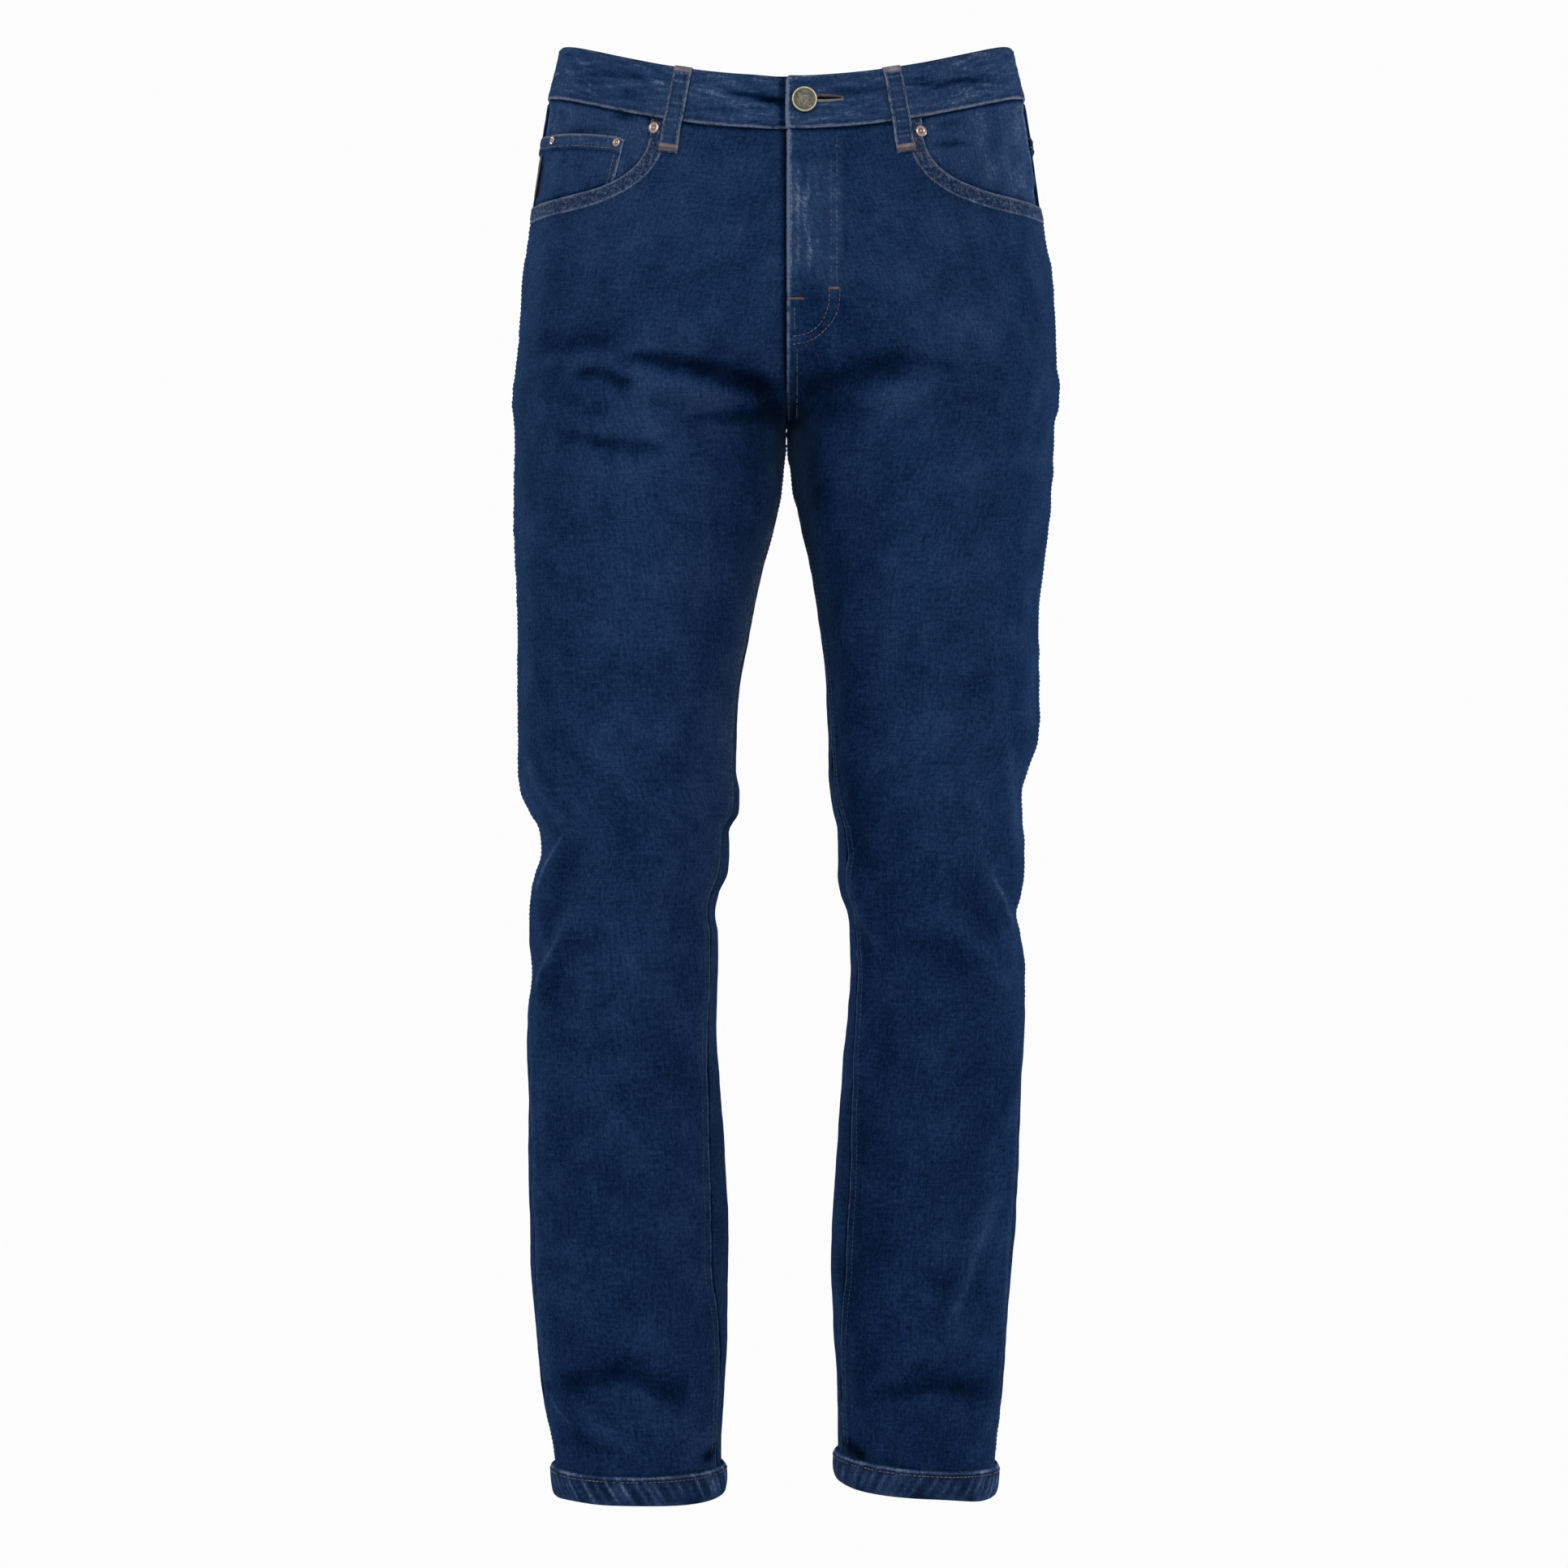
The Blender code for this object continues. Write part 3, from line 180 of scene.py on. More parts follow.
# Uneven creases through any number of places, in millimetres. Widths and tones are the
# start's and the end's, "bank" is the upper bank's width over the lower one's.
# Negative tones are painted shade in the troughs, darkest under the upper bank and in the crotch;
# positive ones are partly wear on ridges and partly painted light on banks that face the light.
Fold = namedtuple("Fold", "side face places widths bank lift tones")
FOLDS = (
    # right hip and thigh
    Fold(RIGHT, "front", ((-128, -218), (-100, -217), (-80, -221), (-60, -226), (-40, -231), (-20, -237), (4, -245)), (4.6, 9.5), 0.9, -1.0, (-0.44, -0.92)),
    Fold(RIGHT, "front", ((-156, -226), (-140, -227), (-127, -230), (-117, -234), (-104, -234)), (5.6, 5.0), 0.9, -0.8, (-0.42, -0.60)),
    Fold(RIGHT, "front", ((-184, -200), (-160, -203), (-142, -203), (-124, -205)), (10.0, 9.0), 1.0, -0.6, (-0.26, -0.26)),
    Fold(RIGHT, "front", ((-120, -210), (-95, -206), (-50, -210)), (6.0, 8.0), 1.6, 0.6, (0.20, 0.16)),
    Fold(RIGHT, "front", ((-178, -215), (-150, -215), (-120, -212)), (5.0, 6.0), 1.0, 0.6, (0.22, 0.22)),
    Fold(RIGHT, "front", ((-122, -232), (-72, -240), (-42, -246), (-12, -250)), (17.0, 9.0), 0.8, 0.6, (0.24, 0.20)),
    Fold(RIGHT, "front", ((-84, -265), (-62, -259), (-44, -257), (-26, -254), (-12, -253), (8, -256)), (5.0, 7.5), 0.8, -1.0, (-0.12, -0.85)),
    Fold(RIGHT, "front", ((-170, -266), (-146, -273), (-125, -278), (-104, -280), (-80, -281)), (5.0, 5.0), 0.9, -0.8, (-0.30, -0.42)),
    Fold(RIGHT, "front", ((-164, -258), (-130, -262), (-100, -266), (-56, -276)), (12.0, 15.0), 1.0, 0.6, (0.14, 0.12)),
    Fold(RIGHT, "front", ((-180, -234), (-158, -245), (-140, -254), (-116, -257)), (7.0, 7.0), 1.0, -0.5, (-0.15, -0.22)),
    Fold(RIGHT, "front", ((-100, -252), (-84, -250), (-70, -258)), (7.0, 7.0), 1.0, -0.3, (-0.18, -0.10)),
    Fold(RIGHT, "front", ((-130, -298), (-84, -294), (-50, -302)), (13.0, 15.0), 1.0, 0.4, (0.08, 0.06)),
    # left hip and thigh
    Fold(LEFT, "front", ((2, -240), (28, -235), (46, -231), (62, -226), (78, -221), (102, -219)), (13.0, 10.0), 0.95, -0.8, (-0.48, -0.26)),
    Fold(LEFT, "front", ((90, -217), (104, -221), (122, -224)), (5.0, 4.0), 1.0, -0.4, (-0.16, -0.16)),
    Fold(LEFT, "front", ((30, -256), (60, -246), (110, -243)), (8.0, 14.0), 0.9, 0.5, (0.08, 0.20)),
    # painted shadow in the crotch, and down the inner thigh below it
    Fold(LEFT, "front", ((-8, -252), (4, -254), (12, -262)), (8.0, 5.0), 1.0, -0.5, (-1.15, -0.60)),
    Fold(LEFT, "front", ((6, -248), (14, -272), (20, -300), (24, -330)), (8.0, 9.0), 1.0, 0.0, (-0.45, -0.20)),
    Fold(LEFT, "front", ((20, -256), (44, -251), (70, -254)), (6.0, 7.0), 1.0, -0.4, (-0.35, -0.15)),
    Fold(LEFT, "front", ((84, -200), (130, -194), (160, -200)), (18.0, 20.0), 1.0, 0.5, (0.17, 0.18)),
    Fold(LEFT, "front", ((116, -246), (136, -244), (154, -250)), (7.0, 7.0), 1.0, -0.3, (-0.15, -0.12)),
    # knees
    Fold(RIGHT, "front", ((-186, -500), (-183, -512), (-176, -528), (-166, -542), (-159, -552)), (4.5, 4.0), 1.0, 1.4, (0.25, 0.30)),
    Fold(RIGHT, "front", ((-157, -548), (-162, -560), (-170, -574), (-178, -588)), (3.4, 3.0), 1.0, 1.2, (0.16, 0.16)),
    Fold(RIGHT, "front", ((-146, -558), (-154, -572), (-166, -592)), (7.0, 6.0), 1.0, -0.8, (-0.12, -0.18)),
    Fold(RIGHT, "front", ((-150, -606), (-158, -616), (-168, -636), (-180, -658)), (5.5, 3.4), 1.0, 1.3, (0.11, 0.16)),
    Fold(RIGHT, "front", ((-144, -622), (-156, -642), (-166, -662), (-172, -690)), (9.0, 9.0), 1.0, -0.9, (-0.16, -0.16)),
    Fold(RIGHT, "front", ((-64, -626), (-56, -638), (-54, -654)), (5.0, 5.0), 1.0, -0.5, (-0.14, -0.12)),
    Fold(LEFT, "front", ((157, -470), (160, -500), (163, -522), (166, -540), (168, -556)), (3.6, 3.0), 1.0, 1.2, (0.16, 0.21)),
    Fold(LEFT, "front", ((138, -564), (144, -580), (152, -594), (160, -610)), (5.5, 3.4), 1.0, 1.3, (0.14, 0.16)),
    Fold(LEFT, "front", ((124, -598), (140, -611), (152, -630)), (9.0, 9.0), 1.0, -0.9, (-0.13, -0.13)),
    Fold(LEFT, "front", ((80, -628), (106, -636), (122, -643), (140, -660)), (9.0, 10.0), 1.0, -0.9, (-0.14, -0.18)),
    Fold(LEFT, "front", ((112, -622), (134, -630), (150, -652), (164, -672)), (6.0, 4.0), 1.0, 0.9, (0.09, 0.18)),
    Fold(LEFT, "front", ((50, -604), (56, -619), (62, -631), (70, -645)), (3.4, 3.6), 1.0, 0.8, (0.18, 0.14)),
    Fold(LEFT, "front", ((42, -572), (45, -588), (51, -604)), (4.0, 4.0), 1.0, 0.6, (0.16, 0.14)),
    Fold(LEFT, "front", ((44, -500), (50, -540), (58, -584)), (9.0, 9.0), 1.0, -0.3, (-0.12, -0.16)),
    # lower legs
    Fold(RIGHT, "front", ((-180, -956), (-156, -954), (-140, -951), (-128, -947), (-114, -946), (-104, -950), (-94, -957), (-80, -961), (-62, -968)), (6.0, 5.0), 1.5, -0.6, (-0.42, -0.30)),
    Fold(RIGHT, "front", ((-132, -958), (-110, -960), (-92, -974)), (7.0, 7.0), 1.0, 0.5, (0.11, 0.09)),
    Fold(RIGHT, "front", ((-152, -968), (-136, -981), (-124, -990), (-108, -1003)), (4.5, 4.0), 1.0, 0.9, (0.16, 0.16)),
    Fold(RIGHT, "front", ((-158, -990), (-142, -998), (-120, -1004)), (5.5, 5.0), 1.0, -0.5, (-0.22, -0.22)),
    Fold(RIGHT, "front", ((-176, -924), (-175, -940), (-174, -958)), (3.0, 3.0), 1.0, 0.6, (0.23, 0.28)),
    # painted deep shade low on the inner side, just above the hem
    Fold(RIGHT, "front", ((-60, -1012), (-54, -1006), (-47, -1004)), (3.4, 3.4), 1.0, -0.5, (-1.00, -1.20)),
    Fold(RIGHT, "front", ((-62, -990), (-58, -1000), (-54, -1008)), (3.0, 3.0), 1.0, 0.5, (0.14, 0.07)),
    Fold(LEFT, "front", ((58, -962), (80, -959), (95, -957), (107, -954), (120, -956), (136, -961), (152, -966)), (4.5, 4.5), 1.7, -0.6, (-0.34, -0.32)),
    Fold(LEFT, "front", ((98, -966), (112, -966), (128, -974)), (6.0, 6.0), 1.0, 0.4, (0.09, 0.07)),
    Fold(LEFT, "front", ((160, -790), (151, -820), (143, -842), (136, -862), (128, -884), (118, -904), (104, -920)), (5.5, 3.6), 1.0, 0.8, (0.21, 0.11)),
    Fold(LEFT, "front", ((96, -872), (108, -876), (122, -883)), (7.0, 7.0), 1.0, -0.4, (-0.14, -0.14)),
    Fold(LEFT, "front", ((120, -862), (116, -890), (104, -910)), (8.0, 8.0), 1.0, -0.4, (-0.14, -0.10)),
    Fold(LEFT, "front", ((60, -968), (69, -979), (78, -992)), (4.0, 4.0), 1.0, 0.8, (0.14, 0.14)),
    # painted deep shade low on the inner side, just above the hem
    Fold(LEFT, "front", ((38, -1000), (47, -1003), (58, -1010)), (3.2, 2.6), 1.0, -0.5, (-1.30, -0.90)),
)
# Sharp crests on some of those folds, each with a bright line: partly rubbed wear, partly painted highlight.
Crest = namedtuple("Crest", "side places width tone")
CRESTS = (
    Crest(RIGHT, ((-159, -553), (-166, -565), (-172, -576), (-179, -588), (-182, -600)), 1.3, 0.41),
    Crest(RIGHT, ((-159, -620), (-166, -634), (-173, -647), (-179, -657), (-183, -670)), 1.3, 0.41),
    Crest(RIGHT, ((-175, -961), (-169, -970), (-162, -977), (-155, -985)), 1.2, 0.34),
    Crest(LEFT, ((146, -584), (151, -592), (156, -601), (161, -611), (166, -624)), 1.4, 0.41),
    Crest(LEFT, ((146, -832), (140, -850), (133, -869), (125, -890), (118, -903)), 2.2, 0.16),
    Crest(LEFT, ((53, -610), (56, -619), (61, -629), (66, -639)), 1.3, 0.16),
)
CREASE_STEPS = 10
# The waistband's own creases, pulled between the loops, the button and the sides; their dark tones are painted shade in
# the troughs.
BAND_CREASES = (
    Crease(RIGHT, "band", (-0.048, -0.0265), (-0.026, -0.0325), (-0.002, -0.0365), -0.0014, 0.0020, 1.2, -0.85),
    Crease(RIGHT, "band", (-0.022, -0.0345), (-0.010, -0.0350), (0.002, -0.0365), -0.0010, 0.0034, 1.0, -0.95),
    Crease(RIGHT, "band", (-0.066, -0.0270), (-0.052, -0.0250), (-0.036, -0.0270), 0.0006, 0.0030, 1.3, 0.05),
    Crease(RIGHT, "band", (-0.060, -0.0330), (-0.040, -0.0365), (-0.012, -0.0400), 0.0009, 0.0026, 1.3, 0.06),
    Crease(RIGHT, "band", (-0.070, -0.0400), (-0.050, -0.0430), (-0.024, -0.0460), -0.0006, 0.0026, 1.3, -0.30),
    Crease(RIGHT, "band", (-0.150, -0.0080), (-0.122, -0.0120), (-0.096, -0.0180), -0.0009, 0.0032, 1.4, -0.40),
    Crease(RIGHT, "band", (-0.142, -0.0180), (-0.120, -0.0200), (-0.100, -0.0270), 0.0008, 0.0034, 1.3, 0.05),
    Crease(RIGHT, "band", (-0.128, -0.0250), (-0.110, -0.0290), (-0.092, -0.0320), -0.0007, 0.0030, 1.3, -0.30),
    Crease(LEFT, "band", (0.030, -0.0285), (0.052, -0.0290), (0.076, -0.0240), -0.0011, 0.0026, 1.3, -0.45),
    Crease(LEFT, "band", (0.040, -0.0400), (0.058, -0.0380), (0.074, -0.0350), 0.0008, 0.0034, 1.3, 0.06),
    Crease(LEFT, "band", (0.044, -0.0220), (0.058, -0.0215), (0.072, -0.0180), 0.0006, 0.0026, 1.3, 0.05),
    Crease(LEFT, "band", (0.084, -0.0210), (0.096, -0.0210), (0.108, -0.0190), -0.0009, 0.0022, 1.3, -0.55),
    Crease(LEFT, "band", (0.100, -0.0260), (0.124, -0.0160), (0.154, -0.0110), -0.0012, 0.0026, 1.3, -0.65),
    Crease(LEFT, "band", (0.096, -0.0300), (0.124, -0.0230), (0.156, -0.0190), 0.0009, 0.0030, 1.3, 0.06),
    Crease(LEFT, "band", (0.096, -0.0130), (0.118, -0.0070), (0.146, -0.0040), 0.0008, 0.0030, 1.3, 0.05),
)
# Drag lines of the cloth behind the pocket mouths, painted dark as shade in their troughs.
BEARER_CREASES = (
    Crease(LEFT, "front", (0.104, -0.0645), (0.117, -0.0620), (0.134, -0.0600), -0.0007, 0.0018, 1.2, -0.55),
    Crease(LEFT, "front", (0.108, -0.0500), (0.118, -0.0470), (0.130, -0.0440), -0.0005, 0.0022, 1.2, -0.35),
    Crease(RIGHT, "front", (-0.126, -0.0410), (-0.116, -0.0430), (-0.104, -0.0470), -0.0006, 0.0018, 1.2, -0.55),
    Crease(RIGHT, "front", (-0.168, -0.0480), (-0.148, -0.0490), (-0.126, -0.0500), -0.0004, 0.0026, 1.2, -0.35),
)

# Front pocket mouth: a quarter of a squarish oval about the top outer corner.
MOUTH_CORNER = (0.1845, -0.046)
MOUTH_WIDTH, MOUTH_DEPTH, MOUTH_POWER = 0.0875, 0.0507, 2.7
MOUTH_BAND = 0.0112  # width of the turned edge
BEARER_LIFT, BEARER_FLUSH = -0.0030, 0.0015
BEARER_MARGIN = 0.020
BEARER_RISE = 0.0022  # brings its top edge out to meet the waistband
FLUSH_RUN, FLUSH_END, FLUSH_FADE = 0.014, 0.074, 0.012
COIN_THICK, COIN_GAP = 0.0008, 0.0004
COIN_TOP = ((-0.1845, -0.0448), (-0.1767, -0.0460), (-0.1509, -0.0505), (-0.1229, -0.0560), (-0.1165, -0.0590))
COIN_SIDE_END = (-0.1288, -0.1040)
COIN_FOOT = (-0.1845, -0.1040)

BACK_POCKET_CENTRE = (0.094, -0.120)
BACK_POCKET_TOP, BACK_POCKET_FOOT = 0.077, 0.066
BACK_POCKET_SIDE, BACK_POCKET_POINT = 0.138, 0.164
BACK_POCKET_SLOPE, BACK_POCKET_GAP = 0.06, 0.0005

LOOP_HALF_WIDTH, LOOP_THICK = 0.0070, 0.0015
LoopStation = namedtuple("LoopStation", "level lift")
LOOP_RUN = (
    LoopStation(-0.0205, 0.0014),
    LoopStation(-0.0165, 0.0014),
    LoopStation(-0.0110, 0.0024),
    LoopStation(0.0020, 0.0031),
    LoopStation(0.0160, 0.0028),
    LoopStation(0.0260, 0.0018),
    LoopStation(0.0335, 0.0006),
    LoopStation(0.0430, 0.0006),
)
LoopPlace = namedtuple("LoopPlace", "name side top foot")
LOOP_PLACES = (
    LoopPlace("loop_front_right", RIGHT, radians(64.0), radians(62.2)),
    LoopPlace("loop_front_left", LEFT, radians(63.4), radians(61.9)),
    LoopPlace("loop_side_right", RIGHT, radians(-28.0), radians(-28.0)),
    LoopPlace("loop_side_left", LEFT, radians(-28.0), radians(-28.0)),
    LoopPlace("loop_back", LEFT, radians(-90.0), radians(-90.0)),
)

HemPoint = namedtuple("HemPoint", "level lift")
HEM_SECTION = (
    HemPoint(HEM_TOP + 0.0005, 0.0004),
    HemPoint(HEM_TOP, 0.0022),
    HemPoint(HEM_TOP + 0.0028, 0.0036),
    HemPoint(1.028, 0.0039),
    HemPoint(1.0378, 0.0031),
    HemPoint(1.0408, 0.0010),
    HemPoint(1.0392, -0.0012),
    HemPoint(1.0350, -0.0014),
    HemPoint(1.0346, 0.0004),
)

# The fly's curved stitching and short tacks, as x and height seen square on.
FLY_OUTER = ((0.0377, -0.1700), (0.0368, -0.1819), (0.0330, -0.1920), (0.0250, -0.2008), (0.0160, -0.2062), (0.0025, -0.2086))
FLY_INNER = ((0.0303, -0.1700), (0.0297, -0.1813), (0.0263, -0.1908), (0.0206, -0.1975), (0.0126, -0.2017), (0.0025, -0.2029))
FLY_TOP, FLY_TACK_Z, CENTRE_TACK_Z = -0.0570, -0.1700, -0.1771

BUTTON_X, BUTTON_Z = 0.0126, -0.0357
BUTTONHOLE_START, BUTTONHOLE_END, BUTTONHOLE_Z = 0.010, 0.0396, -0.0336
BUTTON_LIFT = -0.0025
RivetPlace = namedtuple("RivetPlace", "name side x height lift scale")
RIVET_PLACES = (
    RivetPlace("rivet_right", RIGHT, 0.0940, -0.0530, 0.0003, 1.0),
    RivetPlace("rivet_left", LEFT, 0.0952, -0.0554, 0.0003, 1.0),
    RivetPlace("rivet_coin_inner", RIGHT, 0.1220, -0.0610, -0.0015, 0.75),
    RivetPlace("rivet_coin_outer", RIGHT, 0.1705, -0.0515, -0.0012, 0.75),
)

# Turned profiles, as radius and height over the seat, and how far each point is rubbed bright.
TurnPoint = namedtuple("TurnPoint", "radius height rubbed")
BUTTON_PROFILE = (
    TurnPoint(0.0, 0.00600, 0.05),
    TurnPoint(0.0016, 0.00598, 0.05),
    TurnPoint(0.0024, 0.00606, 0.20),
    TurnPoint(0.0030, 0.00598, 0.05),
    TurnPoint(0.0056, 0.00590, 0.0),
    TurnPoint(0.0070, 0.00592, 0.0),
    TurnPoint(0.0074, 0.00602, 0.25),
    TurnPoint(0.0078, 0.00646, 0.75),
    TurnPoint(0.0083, 0.00662, 0.85),
    TurnPoint(0.0088, 0.00650, 0.70),
    TurnPoint(0.0092, 0.00600, 0.35),
    TurnPoint(0.0093, 0.00540, 0.10),
    TurnPoint(0.0091, 0.00470, 0.0),
    TurnPoint(0.0084, 0.00420, 0.0),
    TurnPoint(0.0040, 0.00410, 0.0),
    TurnPoint(0.0024, 0.00390, 0.0),
    TurnPoint(0.0022, 0.00100, 0.0),
    TurnPoint(0.0028, 0.00060, 0.0),
    TurnPoint(0.0028, 0.0, 0.0),
    TurnPoint(0.0, 0.0, 0.0),
)
RIVET_PROFILE = (
    TurnPoint(0.0, 0.00130, 0.50),
    TurnPoint(0.0005, 0.00120, 0.40),
    TurnPoint(0.0009, 0.00070, -0.30),
    TurnPoint(0.0013, 0.00062, -0.35),
    TurnPoint(0.0017, 0.00080, -0.20),
    TurnPoint(0.0021, 0.00128, 0.25),
    TurnPoint(0.0027, 0.00146, 0.45),
    TurnPoint(0.0034, 0.00134, 0.35),
    TurnPoint(0.0040, 0.00092, 0.10),
    TurnPoint(0.0043, 0.00040, -0.10),
    TurnPoint(0.0043, 0.0, -0.20),
    TurnPoint(0.0, 0.0, 0.0),
)
TURN_STEPS = 56
TAB_TOP, TAB_END, TAB_WIDTH, TAB_THICK = 0.0594, 0.0899, 0.0110, 0.0006

# Zip behind the fly: its tape's half width, and its tray and chain.
ZIP_TOP, ZIP_END = 0.022, 0.160
ZIP_EDGE, ZIP_TRAY, CHAIN_HALF = 0.013, 0.007, 0.0025
ZIP_EDGE_DEPTH, ZIP_TRAY_DEPTH = 0.0021, 0.0050
TAPE_THICK, CHAIN_THICK = 0.0006, 0.0010
CHAIN_TOP, TOOTH_PITCH = 0.0393, 0.0024

# Where the grids put their columns: distances from a seam, close together by the seam.
SEAM_STEPS = np.array((0.0, 0.0005, 0.0012, 0.0022, 0.0036, 0.0055, 0.0078, 0.0102, 0.0130))
TUCK = -0.0016  # an edge that lies under its neighbour runs on this far past the seam
TUCK_DEPTH = 0.0013
OVER_TUCK = -0.0002  # an edge that lies over turns down here
CROTCH = 0.262
ROLL = 0.0013  # how far in from an edge its rounding reaches
ALLOWANCE = 0.0095  # width of the turnings that raise the cloth beside a seam
ARC_STEPS = 160
RowZone = namedtuple("RowZone", "level step")
ROW_ZONES = (RowZone(0.300, 0.0018), RowZone(0.660, 0.0034), RowZone(PANEL_END, 0.0038))

# Camera, from the garment's own origin.
CAMERA_X, CAMERA_DISTANCE, CAMERA_Z = -0.0018, 3.0, -0.5197
CAMERA_LENS, SENSOR = 93.64, 36.0

# How much of each value stored on the outer face the inside face keeps.
INSIDE_SHARES = {"cloth": 1.0, "tone": 0.2, "line": 0.0, "edging": 0.0}

# Built arrays and surfaces that later pieces are placed on.
SHAPES = {}
SURFACES = {}
PIECES = {}

# ---------------------------------------------------------------- the form

TABLE_LEVELS = np.array([section.level for section in SECTIONS])
COLUMNS = {name: np.array([getattr(row, name) for row in SECTIONS]) for name in Section._fields}


def steady_slopes(values):
    """Slopes that carry a curve through the table's values with no overshoot."""
    chords = np.diff(values) / np.diff(TABLE_LEVELS)
    slopes = np.zeros_like(values)
    slopes[0], slopes[-1] = chords[0], chords[-1]
    same_way = chords[:-1] * chords[1:] > 0
    total = np.where(same_way, chords[:-1] + chords[1:], 1.0)
    slopes[1:-1] = np.where(same_way, 2 * chords[:-1] * chords[1:] / total, 0.0)
    return slopes


SLOPES = {name: steady_slopes(values) for name, values in COLUMNS.items()}


def column(name, level):
    """A column of the section table, read at any level on a smooth curve."""
    values, slopes = COLUMNS[name], SLOPES[name]
    at = np.clip(np.searchsorted(TABLE_LEVELS, level) - 1, 0, len(TABLE_LEVELS) - 2)
    step = TABLE_LEVELS[at + 1] - TABLE_LEVELS[at]
    t = (level - TABLE_LEVELS[at]) / step
    rise = values[at + 1] - values[at]
    lower = t * (1 - t) ** 2 * slopes[at] * step
    upper = t * t * (t - 1) * slopes[at + 1] * step
    return values[at] + t * t * (3 - 2 * t) * rise + lower + upper


def smooth(t):
    """0 to 1 with no corner at either end."""
    t = np.clip(t, 0.0, 1.0)
    return t * t * (3 - 2 * t)


def oval(side, level):
    """Centre and half width across, then centre and half depth fore and aft."""
    outer = column(f"{SIDE_NAMES[side]}_out", level)
    inner = column(f"{SIDE_NAMES[side]}_in", level)
    front, back = column("front", level), column("back", level)
    return (outer + inner) / 2, (outer - inner) / 2, (back - front) / 2, (front + back) / 2


def skin(side, angle, level):
    """The cloth's outer face with no folds, at an angle round the oval from its outer end."""
    across, half_width, middle, half_depth = oval(side, level)
    x = across + half_width * np.cos(angle)
    y = middle - half_depth * np.sin(angle)
    facing_front = np.clip(np.sin(angle), 0.0, 1.0) ** 2
    dip_left = 1 - smooth((level - WAIST_SEAM) / (DIP_END - WAIST_SEAM))
    inward = (1 - np.cos(angle)) / 2
    rise = HEM_RISE[side] * inward * smooth((level - HEM_RISE_START) / HEM_RISE_RUN)
    z = -(level + FRONT_DIP * facing_front * dip_left) + rise
    return np.stack([side * x, y, z], axis=-1)


def outward(side, angle, level):
    """The skin's unit normal, from its slopes round and down."""
    small = 1e-4
    round_it = skin(side, angle + small, level) - skin(side, angle - small, level)
    down_it = skin(side, angle, level + small) - skin(side, angle, level - small)
    normal = side * np.cross(round_it, down_it)
    return normal / np.linalg.norm(normal, axis=-1, keepdims=True)


def seam_angles(side, level):
    """Angles of the side seam, the front's inner end and the back's inner end."""
    across, half_width, _, half_depth = oval(side, level)
    side_seam = np.radians(column("out_turn", level))
    turn = np.radians(column("in_turn", level))
    reach = (HALF_GAP - across) / half_width
    cut = np.where(reach > -1, np.arccos(np.clip(reach, -1, 1)), 2 * pi)
    gap = HALF_GAP / (half_depth * np.cos(turn))
    front_end = np.minimum(cut, pi - turn - gap)
    back_end = -np.minimum(cut, pi + turn - gap)
    return side_seam, front_end, back_end


def panel_angle(side, face, u, level):
    """Angle of a panel's point, with u from 0 at the side seam to 1 at the inner seam."""
    side_seam, front_end, back_end = seam_angles(side, level)
    end = front_end if face == "front" else back_end
    return side_seam + (end - side_seam) * u


def front_place(side, x, height):
    """Angle and level of the front's cloth at x and height seen square on."""
    x, height = np.asarray(x, float), np.asarray(height, float)
    level = -height.copy()
    for _ in range(14):
        across, half_width, _, _ = oval(side, level)
        angle = np.arccos(np.clip((x - across) / half_width, -1, 1))
        level = level + (skin(side, angle, level)[..., 2] - height)
    return angle, level


def bends(place, scale, seed, waves=7):
    """Smooth unevenness between about -1 and 1 along one line or over places of any width."""
    dice = np.random.default_rng(seed)
    place = np.asarray(place, float)
    if place.ndim and place.shape[-1] == 2:
        ways = dice.uniform(0, 2 * pi, waves)
        x, y = place[..., 0, None], place[..., 1, None]
        along = x * np.cos(ways) + y * np.sin(ways)
    else:
        along = place[..., None]
    sizes = dice.uniform(0.6, 1.9, waves) * scale
    starts = dice.uniform(0, 2 * pi, waves)
    return np.sin(along * 2 * pi / sizes + starts).sum(axis=-1) / waves**0.5 / 1.2


def curve_points(crease):
    """Points along a crease, on the curve through its three places."""
    t = np.linspace(0, 1, CREASE_STEPS + 1)[:, None]
    start, middle, end = (np.array(place) for place in (crease.start, crease.middle, crease.end))
    pull = 2 * middle - (start + end) / 2
    return (1 - t) ** 2 * start + 2 * t * (1 - t) * pull + t * t * end


def from_line(line, x, z):
    """Distance from a line of places seen square on, share of the way along, and upper side."""
    nearest, along, above, _ = signed_from_line(line, x, z)
    return nearest, along, above


def signed_from_line(line, x, z):
    """What from_line gives, and 1 on the line's left or -1 on its right."""
    nearest = np.full(x.shape, np.inf)
    along = np.zeros(x.shape)
    above = np.zeros(x.shape, bool)
    hand = np.ones(x.shape)
    for i in range(len(line) - 1):
        run = line[i + 1] - line[i]
        over_x, over_z = x - line[i, 0], z - line[i, 1]
        t = np.clip((over_x * run[0] + over_z * run[1]) / (run @ run), 0, 1)
        away_x, away_z = over_x - t * run[0], over_z - t * run[1]
        away = np.hypot(away_x, away_z)
        closer = away < nearest
        nearest = np.where(closer, away, nearest)
        along = np.where(closer, (i + t) / (len(line) - 1), along)
        above = np.where(closer, away_z > 0, above)
        hand = np.where(closer, np.where(run[0] * over_z - run[1] * over_x > 0, 1.0, -1.0), hand)
    return nearest, along, above, hand


def near_line(line, reach, x, z):
    """Where places are within reach of a line's box."""
    low, high = line.min(axis=0) - reach, line.max(axis=0) + reach
    return (x > low[0]) & (x < high[0]) & (z > low[1]) & (z < high[1])


